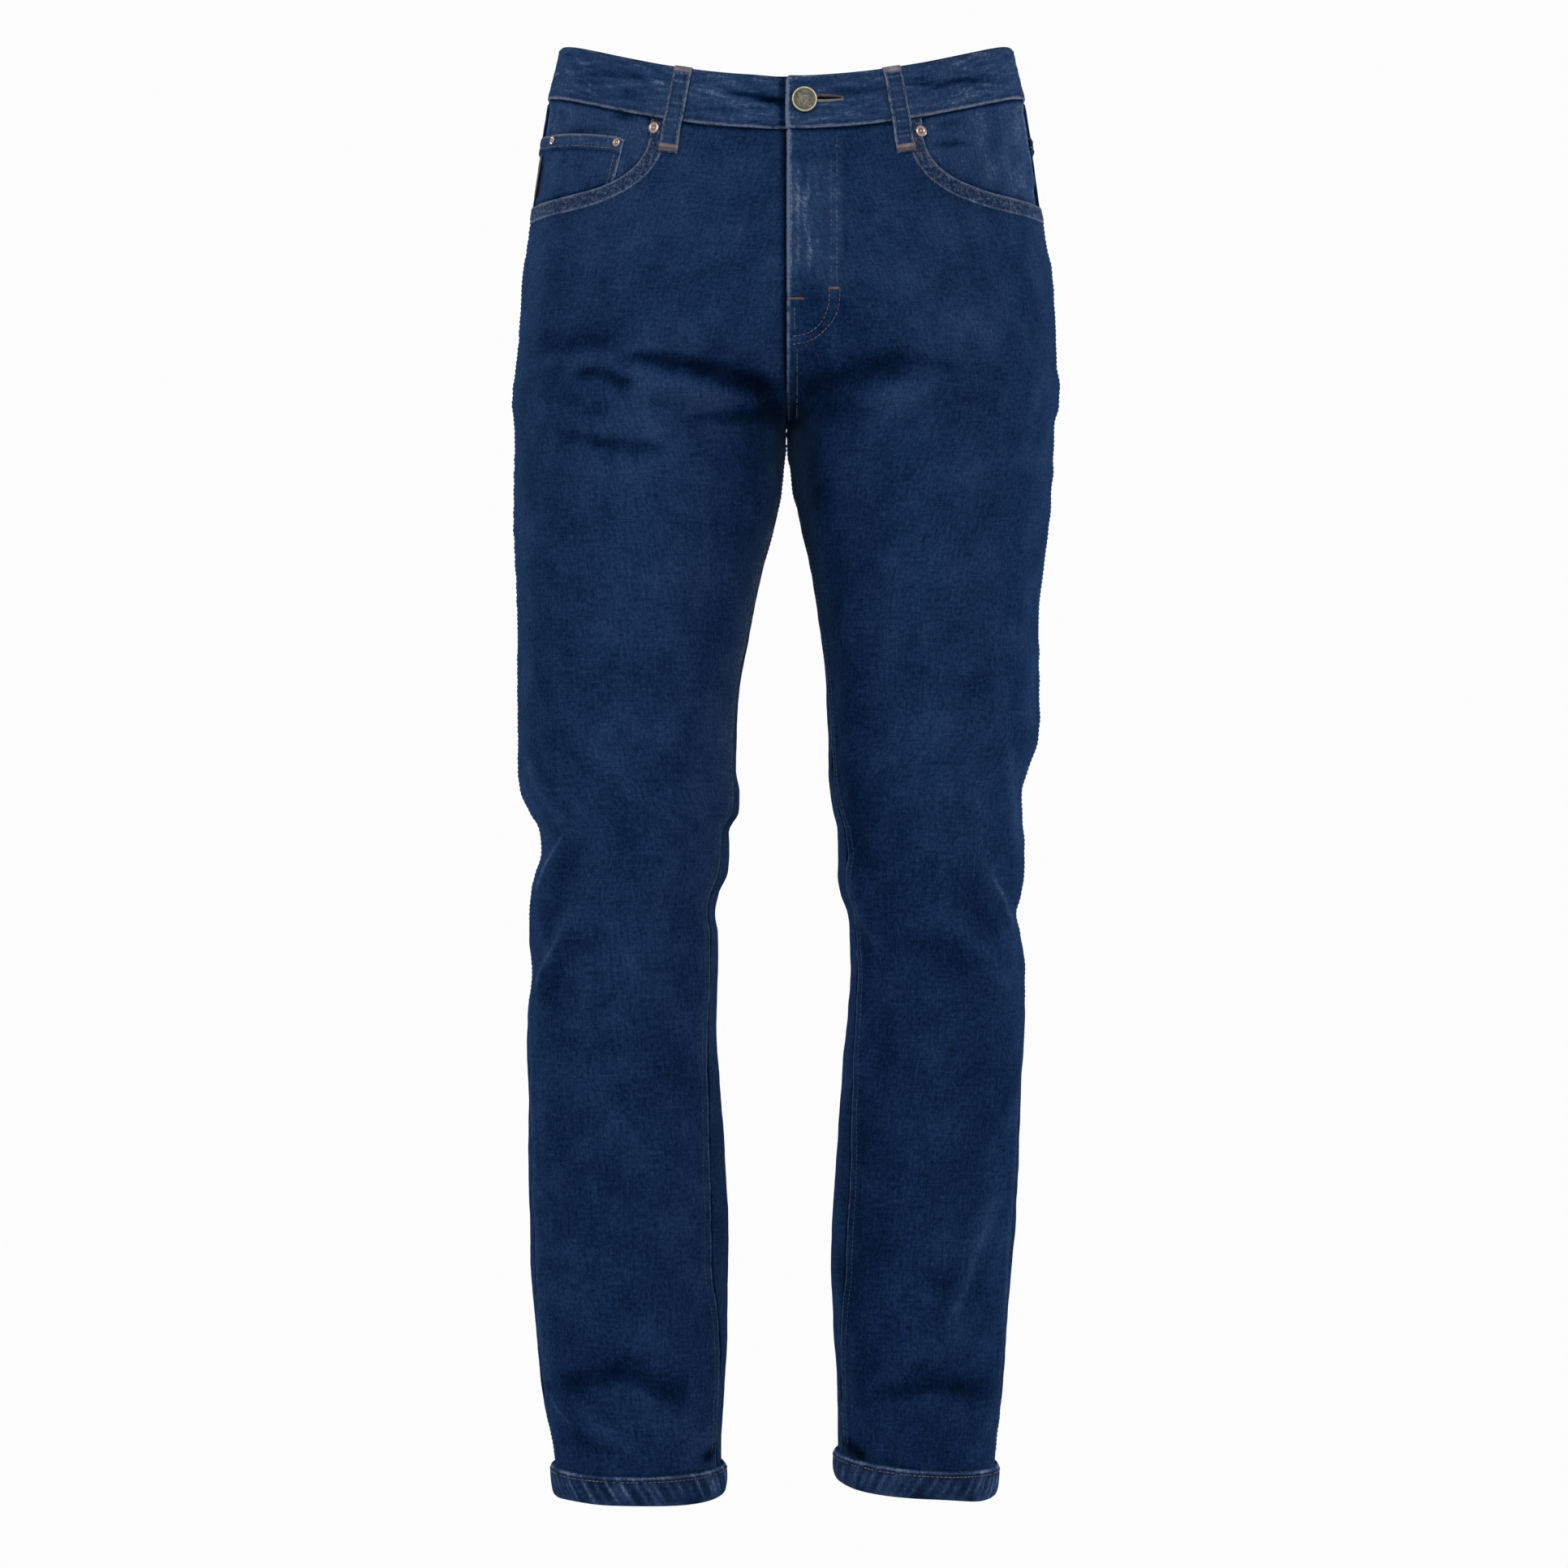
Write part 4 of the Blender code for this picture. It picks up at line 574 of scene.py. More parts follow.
def lay_crease(crease, x, z):
    """Height and tone of one crease at places seen square on."""
    height, tone = np.zeros(x.shape), np.zeros(x.shape)
    line = curve_points(crease)
    near = near_line(line, 3.2 * crease.width * max(crease.above, 1.0), x, z)
    if near.any():
        away, along, above = from_line(line, x[near], z[near])
        taper = np.sin(pi * np.clip(along, 0.04, 0.96)) ** 0.7
        width = np.where(above, crease.width * crease.above, crease.width)
        shape = taper * np.exp(-((away / width) ** 2))
        height[near], tone[near] = crease.depth * shape, crease.tone * shape
    return height, tone


def lay_fold(fold, x, z, seed):
    """Height and tone of one uneven fold at places seen square on."""
    height, tone = np.zeros(x.shape), np.zeros(x.shape)
    line = through(np.array(fold.places) / 1000, 4 * len(fold.places))
    first, last = fold.widths[0] / 1000, fold.widths[1] / 1000
    near = near_line(line, 3 * max(first, last), x, z)
    if near.any():
        place = np.stack([x[near], z[near]], axis=-1)
        shift = 0.0008 * bends(place, 0.030, seed)
        away, along, above = from_line(line, x[near], z[near] + shift)
        width = (first + (last - first) * along) * np.where(above, fold.bank, 1.0)
        taper = smooth(along / 0.16) * smooth((1 - along) / 0.16)
        shape = taper * np.exp(-((away / width) ** 2))
        uneven = 1 + 0.16 * bends(place, 0.016, seed + 1)
        height[near] = fold.lift / 1000 * shape
        tone[near] = (fold.tones[0] + (fold.tones[1] - fold.tones[0]) * along) * shape * uneven
    return height, tone


def creases_at(side, face, angle, points):
    """Height and tone that the creases of one face of a leg give its cloth."""
    x, z = points[..., 0], points[..., 2]
    height, tone = np.zeros(x.shape), np.zeros(x.shape)
    for crease in CREASES:
        if (crease.side, crease.face) == (side, face):
            more, shade = lay_crease(crease, x, z)
            height, tone = height + more, tone + shade
    for number, fold in enumerate(FOLDS):
        if (fold.side, fold.face) == (side, face):
            more, shade = lay_fold(fold, x, z, 600 + 2 * number)
            height, tone = height + more, tone + shade
    facing = smooth(np.sin(angle) / 0.20) if face == "front" else smooth(-np.sin(angle) / 0.20)
    return height * facing, tone * facing


def crests_at(side, points):
    """The nearest sharp crest's signed distance in its own widths, and its strength."""
    x, z = points[..., 0], points[..., 2]
    widths, strength, nearest = np.full(x.shape, 9.0), np.zeros(x.shape), np.full(x.shape, np.inf)
    for crest in CRESTS:
        if crest.side != side:
            continue
        line = through(np.array(crest.places) / 1000, 4 * len(crest.places))
        away, along, _, hand = signed_from_line(line, x, z)
        closer = away < nearest
        nearest = np.where(closer, away, nearest)
        taper = smooth(along / 0.25) * smooth((1 - along) / 0.15)
        widths = np.where(closer, np.clip(hand * away / (crest.width / 1000), -12, 12), widths)
        strength = np.where(closer, crest.tone * taper * (away < 0.0085), strength)
    return widths, strength


# ---------------------------------------------------------------- grids and meshes


def arcs_across(side, face, level_of):
    """Samples across a panel for each of its rows: angles, levels and distances from the side."""
    u = np.linspace(0, 1, ARC_STEPS)
    level = level_of(u)
    angle = panel_angle(side, face, u[None, :], level)
    points = skin(side, angle, level)
    steps = np.linalg.norm(np.diff(points, axis=1), axis=2)
    arc = np.concatenate([np.zeros((len(level), 1)), np.cumsum(steps, axis=1)], axis=1)
    return angle, level, arc


def read_row(want, arc, values):
    """Values along a row at wanted distances, carried on past its ends."""
    inside = np.clip(want, arc[0], arc[-1])
    read = np.interp(inside, arc, values)
    start_slope = (values[1] - values[0]) / (arc[1] - arc[0])
    end_slope = (values[-1] - values[-2]) / (arc[-1] - arc[-2])
    past = want - inside
    return read + np.where(past < 0, start_slope, end_slope) * past


def inner_over(side, face, level):
    """1 where a panel's inner edge lies over its neighbour's, 0 where it lies under."""
    below_crotch = smooth((level - CROTCH + 0.004) / 0.008)
    if side == LEFT:
        return np.ones_like(level) if face == "front" else 1 - below_crotch
    return below_crotch if face == "front" else np.zeros_like(level)


def panel_grid(side, face, level_of, middle):
    """A panel's grid, its columns at set distances from both seams: a dict of arrays."""
    angle, level, arc = arcs_across(side, face, level_of)
    over_in = inner_over(side, face, level[:, -1])
    tuck_out = OVER_TUCK if face == "front" else TUCK
    rows = []
    for i in range(len(arc)):
        total = arc[i, -1]
        steps = SEAM_STEPS * min(1.0, total / (3 * SEAM_STEPS[-1]))
        between = np.linspace(steps[-1], total - steps[-1], middle + 2)[1:-1]
        tuck_in = TUCK + (OVER_TUCK - TUCK) * over_in[i]
        want = np.concatenate([[tuck_out], steps, between, total - steps[::-1], [total - tuck_in]])
        rows.append((read_row(want, arc[i], angle[i]), read_row(want, arc[i], level[i]), want, total - want))
    angles, levels, from_out, from_in = (np.array(part) for part in zip(*rows))
    normals = outward(side, angles, levels)
    at_centre = np.exp(-((from_in / 0.02) ** 2)) * (1 - smooth((levels - CROTCH + 0.012) / 0.016))
    normals[..., 0] *= 1 - at_centre
    return {
        "side": side,
        "face": face,
        "angle": angles,
        "level": levels,
        "from_out": from_out,
        "from_in": from_in,
        "over_in": over_in[:, None],
        "points": skin(side, angles, levels),
        "normals": unit(normals),
    }


def fine_rows(top):
    """Levels of a panel's rows, from its top edge to the hem."""
    levels = [top]
    for zone in ROW_ZONES:
        if zone.level <= levels[-1] + zone.step:
            continue
        count = max(1, round((zone.level - levels[-1]) / zone.step))
        levels += list(np.linspace(levels[-1], zone.level, count + 1)[1:])
    return np.array(levels)


def seam_edge(away, raised, uneven):
    """Height of cloth beside a seam: rounded at the edge, raised over the turnings."""
    edge = smooth((away - OVER_TUCK) / ROLL) - 1
    over = 1 - smooth((away - ALLOWANCE) / 0.003)
    return 0.0010 * edge + raised * smooth(away / ROLL) * over * uneven


def under_edge(away):
    """Height of cloth that dips under its neighbour at a seam."""
    return -TUCK_DEPTH * (1 - smooth((away - TUCK) / 0.0028))


def grid_normals(points):
    """Normals of a grid of points, turned to agree with one another."""
    down = np.gradient(points, axis=0)
    round_it = np.gradient(points, axis=1)
    normal = np.cross(round_it, down)
    size = np.linalg.norm(normal, axis=-1, keepdims=True)
    return normal / np.maximum(size, 1e-12)


def quads_of(rows, columns, kept=None, ring=False):
    """Corner numbers of a grid's faces."""
    spans = columns if ring else columns - 1
    i, j = np.meshgrid(np.arange(rows - 1), np.arange(spans), indexing="ij")
    if kept is not None:
        i, j = i[kept], j[kept]
    i, j = i.ravel(), j.ravel()
    k = (j + 1) % columns
    return np.stack([i * columns + j, i * columns + k, (i + 1) * columns + k, (i + 1) * columns + j], axis=1)


def shell_faces(faces, count):
    """Outer faces, inner faces and the rim that joins them, for two skins of count points."""
    ahead = np.roll(faces, -1, axis=1)
    start, end = faces.ravel(), ahead.ravel()
    keys = start.astype(np.int64) * count + end
    back = end.astype(np.int64) * count + start
    open_edge = ~np.isin(back, keys)
    a, b = start[open_edge], end[open_edge]
    rim = np.stack([b, a, a + count, b + count], axis=1)
    return faces, faces[:, ::-1] + count, rim


def mesh_object(name, points, faces, materials, slots=None, values=None):
    """An object from points, four-cornered faces, and values stored at its points."""
    used = np.unique(faces)
    place = np.zeros(len(points), np.int64)
    place[used] = np.arange(len(used))
    faces = place[faces]
    mesh = bpy.data.meshes.new(name)
    mesh.vertices.add(len(used))
    mesh.vertices.foreach_set("co", points[used].astype(np.float32).ravel())
    mesh.loops.add(faces.size)
    mesh.loops.foreach_set("vertex_index", faces.astype(np.int32).ravel())
    mesh.polygons.add(len(faces))
    mesh.polygons.foreach_set("loop_start", np.arange(0, faces.size, faces.shape[1], dtype=np.int32))
    mesh.polygons.foreach_set("use_smooth", np.ones(len(faces), bool))
    for material in materials:
        mesh.materials.append(bpy.data.materials[material])
    if slots is not None:
        mesh.polygons.foreach_set("material_index", slots.astype(np.int32))
    for key, value in (values or {}).items():
        kind = "FLOAT_VECTOR" if value.ndim == 2 else "FLOAT"
        attribute = mesh.attributes.new(key, kind, "POINT")
        field = "vector" if value.ndim == 2 else "value"
        attribute.data.foreach_set(field, value[used].astype(np.float32).ravel())
    mesh.update()
    mesh.validate()
    obj = bpy.data.objects.new(name, mesh)
    bpy.context.scene.collection.objects.link(obj)
    return obj


def cloth_shell(name, outer, normals, thick, materials, values, kept=None, ring=False, taper=None):
    """A thin closed shell on a grid of outer points. Materials are the face's and the inside's."""
    rows, columns = outer.shape[:2]
    depth = np.full(outer.shape[:2], thick) if taper is None else taper
    inner = outer - normals * depth[..., None]
    count = rows * columns
    faces = quads_of(rows, columns, kept, ring)
    first = outer.reshape(-1, 3)[faces]
    turn = np.cross(first[:, 1] - first[:, 0], first[:, 3] - first[:, 0])
    facing = (turn * normals.reshape(-1, 3)[faces[:, 0]]).sum(axis=1)
    if facing.sum() < 0:
        faces = faces[:, ::-1]
    out, inside, rim = shell_faces(faces, count)
    points = np.concatenate([outer.reshape(-1, 3), inner.reshape(-1, 3)])
    slots = np.concatenate([np.zeros(len(out)), np.ones(len(inside)), np.zeros(len(rim))])
    doubled = {}
    for key, value in values.items():
        flat = value.reshape(count, -1) if value.ndim == 3 else value.reshape(count)
        doubled[key] = np.concatenate([flat, flat * INSIDE_SHARES[key]])
    every = np.concatenate([out, inside, rim])
    obj = mesh_object(name, points, every, materials, slots, doubled)
    SURFACES[name] = BVHTree.FromPolygons(
        outer.reshape(-1, 3).tolist(), faces.tolist(), all_triangles=False, epsilon=0.0
    )
    return obj


def weld(obj, distance=0.00004):
    """Join an object's points that fell together."""
    build = bmesh.new()
    build.from_mesh(obj.data)
    bmesh.ops.remove_doubles(build, verts=build.verts, dist=distance)
    build.to_mesh(obj.data)
    build.free()


def dress(obj, *nodes):
    """Set a piece on the frame in place of its plain solids."""
    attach(obj, "root")
    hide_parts(*nodes)
    PIECES[nodes[0]] = obj


# ---------------------------------------------------------------- settings


class DenimSettings(PropertyGroup):
    """Colours and grain of the cloth."""

    # The tone lifts the cloth towards worn blue and faded grey: by wear, and in places by painted light.
    light: FloatVectorProperty(
        name="Faded grey", description="The denim's rubbed edges", subtype="COLOR", default=(0.150, 0.190, 0.280)
    )
    worn: FloatVectorProperty(
        name="Worn blue", description="The denim where it is washed paler", subtype="COLOR", default=(0.042, 0.083, 0.185)
    )
    body: FloatVectorProperty(
        name="Indigo", description="The denim's main colour", subtype="COLOR", default=(0.0075, 0.0243, 0.0745)
    )
    # Deep indigo is painted shade: dark tones blend the cloth towards it in troughs, seam gaps and under raised edges.
    dark: FloatVectorProperty(
        name="Deep indigo", description="The denim in its creases", subtype="COLOR", default=(0.0004, 0.0024, 0.0095)
    )
    inside: FloatVectorProperty(
        name="Inside", description="The paler inside face of the cloth", subtype="COLOR", default=(0.105, 0.140, 0.205)
    )
    grain: FloatProperty(name="Grain", description="Strength of the cloth's grain", default=1.0, min=0.0, max=3.0)
    twill: FloatProperty(
        name="Twill pitch", description="Distance between the twill's ribs", default=0.00062, unit="LENGTH"
    )


class StitchSettings(PropertyGroup):
    """Sizes and colours of the sewing thread."""

    pitch: FloatProperty(
        name="Stitch pitch", description="Distance from one stitch to the next", default=0.0033, unit="LENGTH"
    )
    length: FloatProperty(name="Stitch length", description="Length of one stitch", default=0.0027, unit="LENGTH")
    radius: FloatProperty(name="Thread radius", description="Half the thread's width", default=0.00040, unit="LENGTH")
    copper: FloatVectorProperty(
        name="Copper thread", description="The brighter top stitching", subtype="COLOR", default=(0.190, 0.098, 0.070)
    )
    rose: FloatVectorProperty(
        name="Faded thread", description="The worn, greyish top stitching", subtype="COLOR", default=(0.120, 0.092, 0.100)
    )
    beige: FloatVectorProperty(
        name="Beige thread", description="The bar tacks of the loops and pockets", subtype="COLOR", default=(0.210, 0.185, 0.195)
    )
    navy: FloatVectorProperty(
        name="Blue thread", description="Stitching close to the cloth's colour", subtype="COLOR", default=(0.030, 0.050, 0.092)
    )


class StageSettings(PropertyGroup):
    """Backdrop and lights."""

    backdrop: FloatVectorProperty(
        name="Backdrop", description="Colour of the floor and backdrop", subtype="COLOR", default=(0.975, 0.975, 0.978)
    )
    key: FloatProperty(name="Key light", description="Strength of the front light", default=62.0, unit="POWER")
    rim: FloatProperty(name="Rim light", description="Strength of the two lights behind", default=38.0, unit="POWER")
    fill: FloatProperty(name="Fill", description="Strength of the light from all round", default=0.50)


# ---------------------------------------------------------------- materials


class Web:
    """Adds nodes to a tree and links or sets what they are given."""

    def __init__(self, tree):
        self.tree = tree

    def put(self, socket, value):
        if isinstance(value, bpy.types.NodeSocket):
            self.tree.links.new(value, socket)
        elif isinstance(value, (tuple, list)) and len(value) == 3 and socket.type == "RGBA":
            socket.default_value = (*value, 1.0)
        else:
            socket.default_value = value

    def add(self, kind, inputs=None, **settings):
        made = self.tree.nodes.new(kind)
        for key, value in settings.items():
            setattr(made, key, value)
        for key, value in (inputs or {}).items():
            self.put(made.inputs[key], value)
        return made

    def calc(self, operation, a, b=0.0, c=0.0, clamp=False):
        made = self.add("ShaderNodeMath", {0: a, 1: b, 2: c}, operation=operation, use_clamp=clamp)
        return made.outputs[0]

    def blend(self, share, a, b):
        made = self.add("ShaderNodeMix", data_type="RGBA")
        for index, value in ((0, share), (6, a), (7, b)):
            self.put(made.inputs[index], value)
        return made.outputs[2]

    def between(self, value, low, high, start=0.0, end=1.0):
        made = self.add(
            "ShaderNodeMapRange",
            {0: value, 1: low, 2: high, 3: start, 4: end},
            interpolation_type="SMOOTHSTEP",
        )
        return made.outputs[0]

    def noise(self, place, scale, detail=2.0, rough=0.5):
        made = self.add("ShaderNodeTexNoise", {"Scale": scale, "Detail": detail, "Roughness": rough})
        self.tree.links.new(place, made.inputs["Vector"])
        return made.outputs["Fac"]

    def scaled(self, place, x, y, z=1.0):
        made = self.add("ShaderNodeVectorMath", {1: (x, y, z)}, operation="MULTIPLY")
        self.tree.links.new(place, made.inputs[0])
        return made.outputs[0]


def group_tree(name, inputs, outputs):
    """An empty shader node group with its sockets."""
    tree = bpy.data.node_groups.new(name, "ShaderNodeTree")
    for label, kind, value in inputs:
        socket = tree.interface.new_socket(label, in_out="INPUT", socket_type=kind)
        socket.default_value = value
    for label, kind in outputs:
        tree.interface.new_socket(label, in_out="OUTPUT", socket_type=kind)
    web = Web(tree)
    return web, web.add("NodeGroupInput").outputs, web.add("NodeGroupOutput").inputs


FLOAT, COLOUR = "NodeSocketFloat", "NodeSocketColor"


EDGING_TINT = (0.034, 0.033, 0.042)


def attribute_parts(web, name):
    """The two first values of an attribute stored at a piece's points."""
    parts = web.add("ShaderNodeSeparateXYZ")
    web.put(parts.inputs[0], web.add("ShaderNodeAttribute", attribute_name=name).outputs["Vector"])
    return parts.outputs[0], parts.outputs[1]


def make_denim_group():
    """Twill ribs, slubs, mottling and flecks, with wear, creases and painted light and shade from the piece's own
    values.
    """
    settings = bpy.context.scene.jeans_denim
    web, given, out = group_tree(
        "denim",
        (
            ("Faded", COLOUR, (*settings.light, 1)),
            ("Worn", COLOUR, (*settings.worn, 1)),
            ("Body", COLOUR, (*settings.body, 1)),
            ("Deep", COLOUR, (*settings.dark, 1)),
            ("Wear", FLOAT, 0.0),
            ("Grain", FLOAT, 1.0),
        ),
        (("Color", COLOUR), ("Height", FLOAT), ("Roughness", FLOAT)),
    )
    cloth = web.add("ShaderNodeAttribute", attribute_name="cloth").outputs["Vector"]
    tone = web.add("ShaderNodeAttribute", attribute_name="tone").outputs["Fac"]
    parts = web.add("ShaderNodeSeparateXYZ")
    web.tree.links.new(cloth, parts.inputs[0])
    across, down = parts.outputs[0], parts.outputs[1]
    wobble = web.calc("MULTIPLY", web.noise(cloth, 260.0, 2.0), 5.0)
    rib = web.calc("MULTIPLY", across, 2 * pi / settings.twill)
    steep = web.calc("MULTIPLY", down, 2 * pi / (settings.twill * 1.35))
    twill = web.calc("SINE", web.calc("ADD", web.calc("ADD", rib, steep), wobble))
    fine = web.noise(cloth, 1050.0, 2.0, 0.6)
    coarse = web.noise(web.scaled(cloth, 1.0, 0.72), 430.0, 2.0, 0.6)
    slub = web.noise(web.scaled(cloth, 900.0, 42.0), 1.0, 2.0, 0.6)
    weft = web.noise(web.scaled(cloth, 60.0, 760.0), 1.0, 2.0, 0.6)
    mottle = web.noise(web.scaled(cloth, 1.0, 0.8), 34.0, 3.0, 0.62)
    broad = web.noise(cloth, 9.0, 2.0, 0.5)
    total = web.calc("MULTIPLY", twill, 0.030)
    for value, strength in ((fine, 0.80), (coarse, 1.00), (slub, 0.62), (weft, 0.42)):
        total = web.calc("ADD", total, web.calc("MULTIPLY", web.calc("SUBTRACT", value, 0.5), strength))
    total = web.calc("MULTIPLY", total, given["Grain"])
    for value, strength in ((mottle, 0.72), (broad, 0.34)):
        total = web.calc("ADD", total, web.calc("MULTIPLY", web.calc("SUBTRACT", value, 0.5), strength))
    fleck = web.between(web.noise(cloth, 760.0, 1.0, 0.5), 0.70, 0.82, 0.0, 0.20)
    total = web.calc("ADD", total, web.calc("MULTIPLY", fleck, given["Grain"]))
    # worn is the piece's stored tone: wear, and painted light and shade.
    worn = web.calc("ADD", tone, given["Wear"])
    crest = attribute_parts(web, "line")
    shape = web.calc("EXPONENT", web.calc("MULTIPLY", web.calc("MULTIPLY", crest[0], crest[0]), -1.0))
    worn = web.calc("ADD", worn, web.calc("MULTIPLY", shape, crest[1]))
    edging = attribute_parts(web, "edging")
    turned = web.calc("MULTIPLY", edging[1], web.between(edging[0], 0.0012, 0.0022))
    turned = web.calc("MULTIPLY", turned, web.between(edging[0], 0.0112, 0.0100))
    for away, width, strength in ((0.0008, 0.0009, 1.30), (0.0113, 0.0007, 0.95)):
        off = web.calc("DIVIDE", web.calc("SUBTRACT", edging[0], away), width)
        near = web.calc("EXPONENT", web.calc("MULTIPLY", web.calc("MULTIPLY", off, off), -1.0))
        worn = web.calc("ADD", worn, web.calc("MULTIPLY", web.calc("MULTIPLY", near, edging[1]), strength))
    specks = web.calc("SUBTRACT", web.calc("ADD", web.calc("MULTIPLY", coarse, 2.6), web.calc("MULTIPLY", fine, 2.2)), 2.15)
    total = web.calc("ADD", total, web.calc("MULTIPLY", turned, specks))
    flecked = web.calc("MULTIPLY", web.calc("SUBTRACT", coarse, 0.5), web.between(worn, 0.46, 0.80, 0.0, 0.9))
    total = web.calc("ADD", total, web.calc("MULTIPLY", worn, web.calc("ADD", flecked, 1.0)))
    # Totals below zero blend towards Deep: painted shade where the tone is dark, and the grain's darker flecks.
    below = web.calc("EXPONENT", web.calc("MULTIPLY", web.calc("MINIMUM", total, 0.0), 2.4))
    colour = web.blend(web.calc("MULTIPLY", total, 1.0, clamp=True), given["Body"], given["Worn"])
    colour = web.blend(web.between(total, 0.50, 1.15, 0.0, 0.88), colour, given["Faded"])
    colour = web.blend(web.calc("SUBTRACT", 1.0, below), colour, given["Deep"])
    colour = web.blend(web.calc("MULTIPLY", turned, web.between(mottle, 0.3, 0.7, 0.22, 0.40)), colour, EDGING_TINT)
    web.put(out["Color"], colour)
    height = web.calc("ADD", web.calc("MULTIPLY", twill, 0.35), web.calc("MULTIPLY", coarse, 1.1))
    height = web.calc("ADD", height, web.calc("MULTIPLY", fine, 0.6))
    web.put(out["Height"], height)
    web.put(out["Roughness"], web.between(coarse, 0.2, 0.8, 0.86, 0.98))
    return web.tree


def make_thread_group():
    """A thread's twist and fading along a line of stitches."""
    web, given, out = group_tree(
        "thread",
        (("Thread", COLOUR, (0.3, 0.12, 0.06, 1)), ("Pale", COLOUR, (0.3, 0.2, 0.16, 1)), ("Deep", COLOUR, (0.05, 0.04, 0.05, 1))),
        (("Color", COLOUR), ("Height", FLOAT)),
    )
    place = web.add("ShaderNodeTexCoord").outputs["Object"]
    fading = web.noise(place, 130.0, 3.0, 0.6)
    fluff = web.noise(place, 1500.0, 2.0, 0.6)
    colour = web.blend(web.between(fading, 0.45, 0.70), given["Thread"], given["Pale"])
    colour = web.blend(web.between(fluff, 0.62, 0.30, 0.0, 0.5), colour, given["Deep"])
    web.put(out["Color"], colour)
    web.put(out["Height"], fluff)
    return web.tree


def make_metal_group():
    """Tarnish, rubbed high places and small dents of old metal."""
    web, given, out = group_tree(
        "old_metal",
        (("Bright", COLOUR, (0.6, 0.4, 0.2, 1)), ("Tarnish", COLOUR, (0.06, 0.05, 0.03, 1)), ("Age", FLOAT, 0.5)),
        (("Color", COLOUR), ("Roughness", FLOAT), ("Height", FLOAT)),
    )
    place = web.add("ShaderNodeTexCoord").outputs["Object"]
    patches = web.noise(place, 420.0, 4.0, 0.65)
    specks = web.noise(place, 1900.0, 2.0, 0.6)
    rubbed = web.add("ShaderNodeAttribute", attribute_name="rubbed").outputs["Fac"]
    aged = web.calc("ADD", web.between(patches, 0.35, 0.65, -0.10, 0.10), given["Age"])
    aged = web.calc("ADD", aged, web.calc("MULTIPLY", web.calc("SUBTRACT", specks, 0.5), 0.5))
    aged = web.calc("SUBTRACT", aged, rubbed, clamp=True)
    web.put(out["Color"], web.blend(aged, given["Bright"], given["Tarnish"]))
    web.put(out["Roughness"], web.calc("ADD", web.calc("MULTIPLY", aged, 0.30), 0.30))
    web.put(out["Height"], specks)
    return web.tree


def make_weave_group():
    """Ribs of a narrow woven tape."""
    web, given, out = group_tree(
        "weave",
        (("Thread", COLOUR, (0.02, 0.02, 0.02, 1)), ("Pale", COLOUR, (0.06, 0.06, 0.06, 1)), ("Pitch", FLOAT, 0.0007)),
        (("Color", COLOUR), ("Roughness", FLOAT), ("Height", FLOAT)),
    )
    cloth = web.add("ShaderNodeAttribute", attribute_name="cloth").outputs["Vector"]
    tone = web.add("ShaderNodeAttribute", attribute_name="tone").outputs["Fac"]
    parts = web.add("ShaderNodeSeparateXYZ")
    web.tree.links.new(cloth, parts.inputs[0])
    turns = web.calc("DIVIDE", 2 * pi, given["Pitch"])
    across = web.calc("SINE", web.calc("MULTIPLY", parts.outputs[0], turns))
    down = web.calc("SINE", web.calc("MULTIPLY", parts.outputs[1], turns))
    weave = web.calc("MULTIPLY", across, down)
    grain = web.noise(cloth, 900.0, 3.0, 0.6)
    share = web.calc("ADD", web.calc("ADD", web.calc("MULTIPLY", weave, 0.3), grain), web.calc("MULTIPLY", tone, 1.5))
    web.put(out["Color"], web.blend(web.between(share, 0.3, 1.1), given["Thread"], given["Pale"]))
    web.put(out["Roughness"], web.between(grain, 0.2, 0.8, 0.6, 0.85))
    web.put(out["Height"], web.calc("ADD", weave, grain))
    return web.tree


def principled(name, group, inputs, bump, distance, **fixed):
    """A material whose shader takes its colour and surface from a node group."""
    material = bpy.data.materials.new(name)
    material.use_nodes = True
    web = Web(material.node_tree)
    shader = material.node_tree.nodes["Principled BSDF"]
    made = web.add("ShaderNodeGroup", node_tree=group)
    for key, value in inputs.items():
        web.put(made.inputs[key], value)
    web.put(shader.inputs["Base Color"], made.outputs["Color"])
    if "Roughness" in made.outputs:
        web.put(shader.inputs["Roughness"], made.outputs["Roughness"])
    relief = web.add("ShaderNodeBump", {"Strength": bump, "Distance": distance, "Height": made.outputs["Height"]})
    web.put(shader.inputs["Normal"], relief.outputs["Normal"])
    for key, value in fixed.items():
        shader.inputs[key.replace("_", " ")].default_value = value
    return material


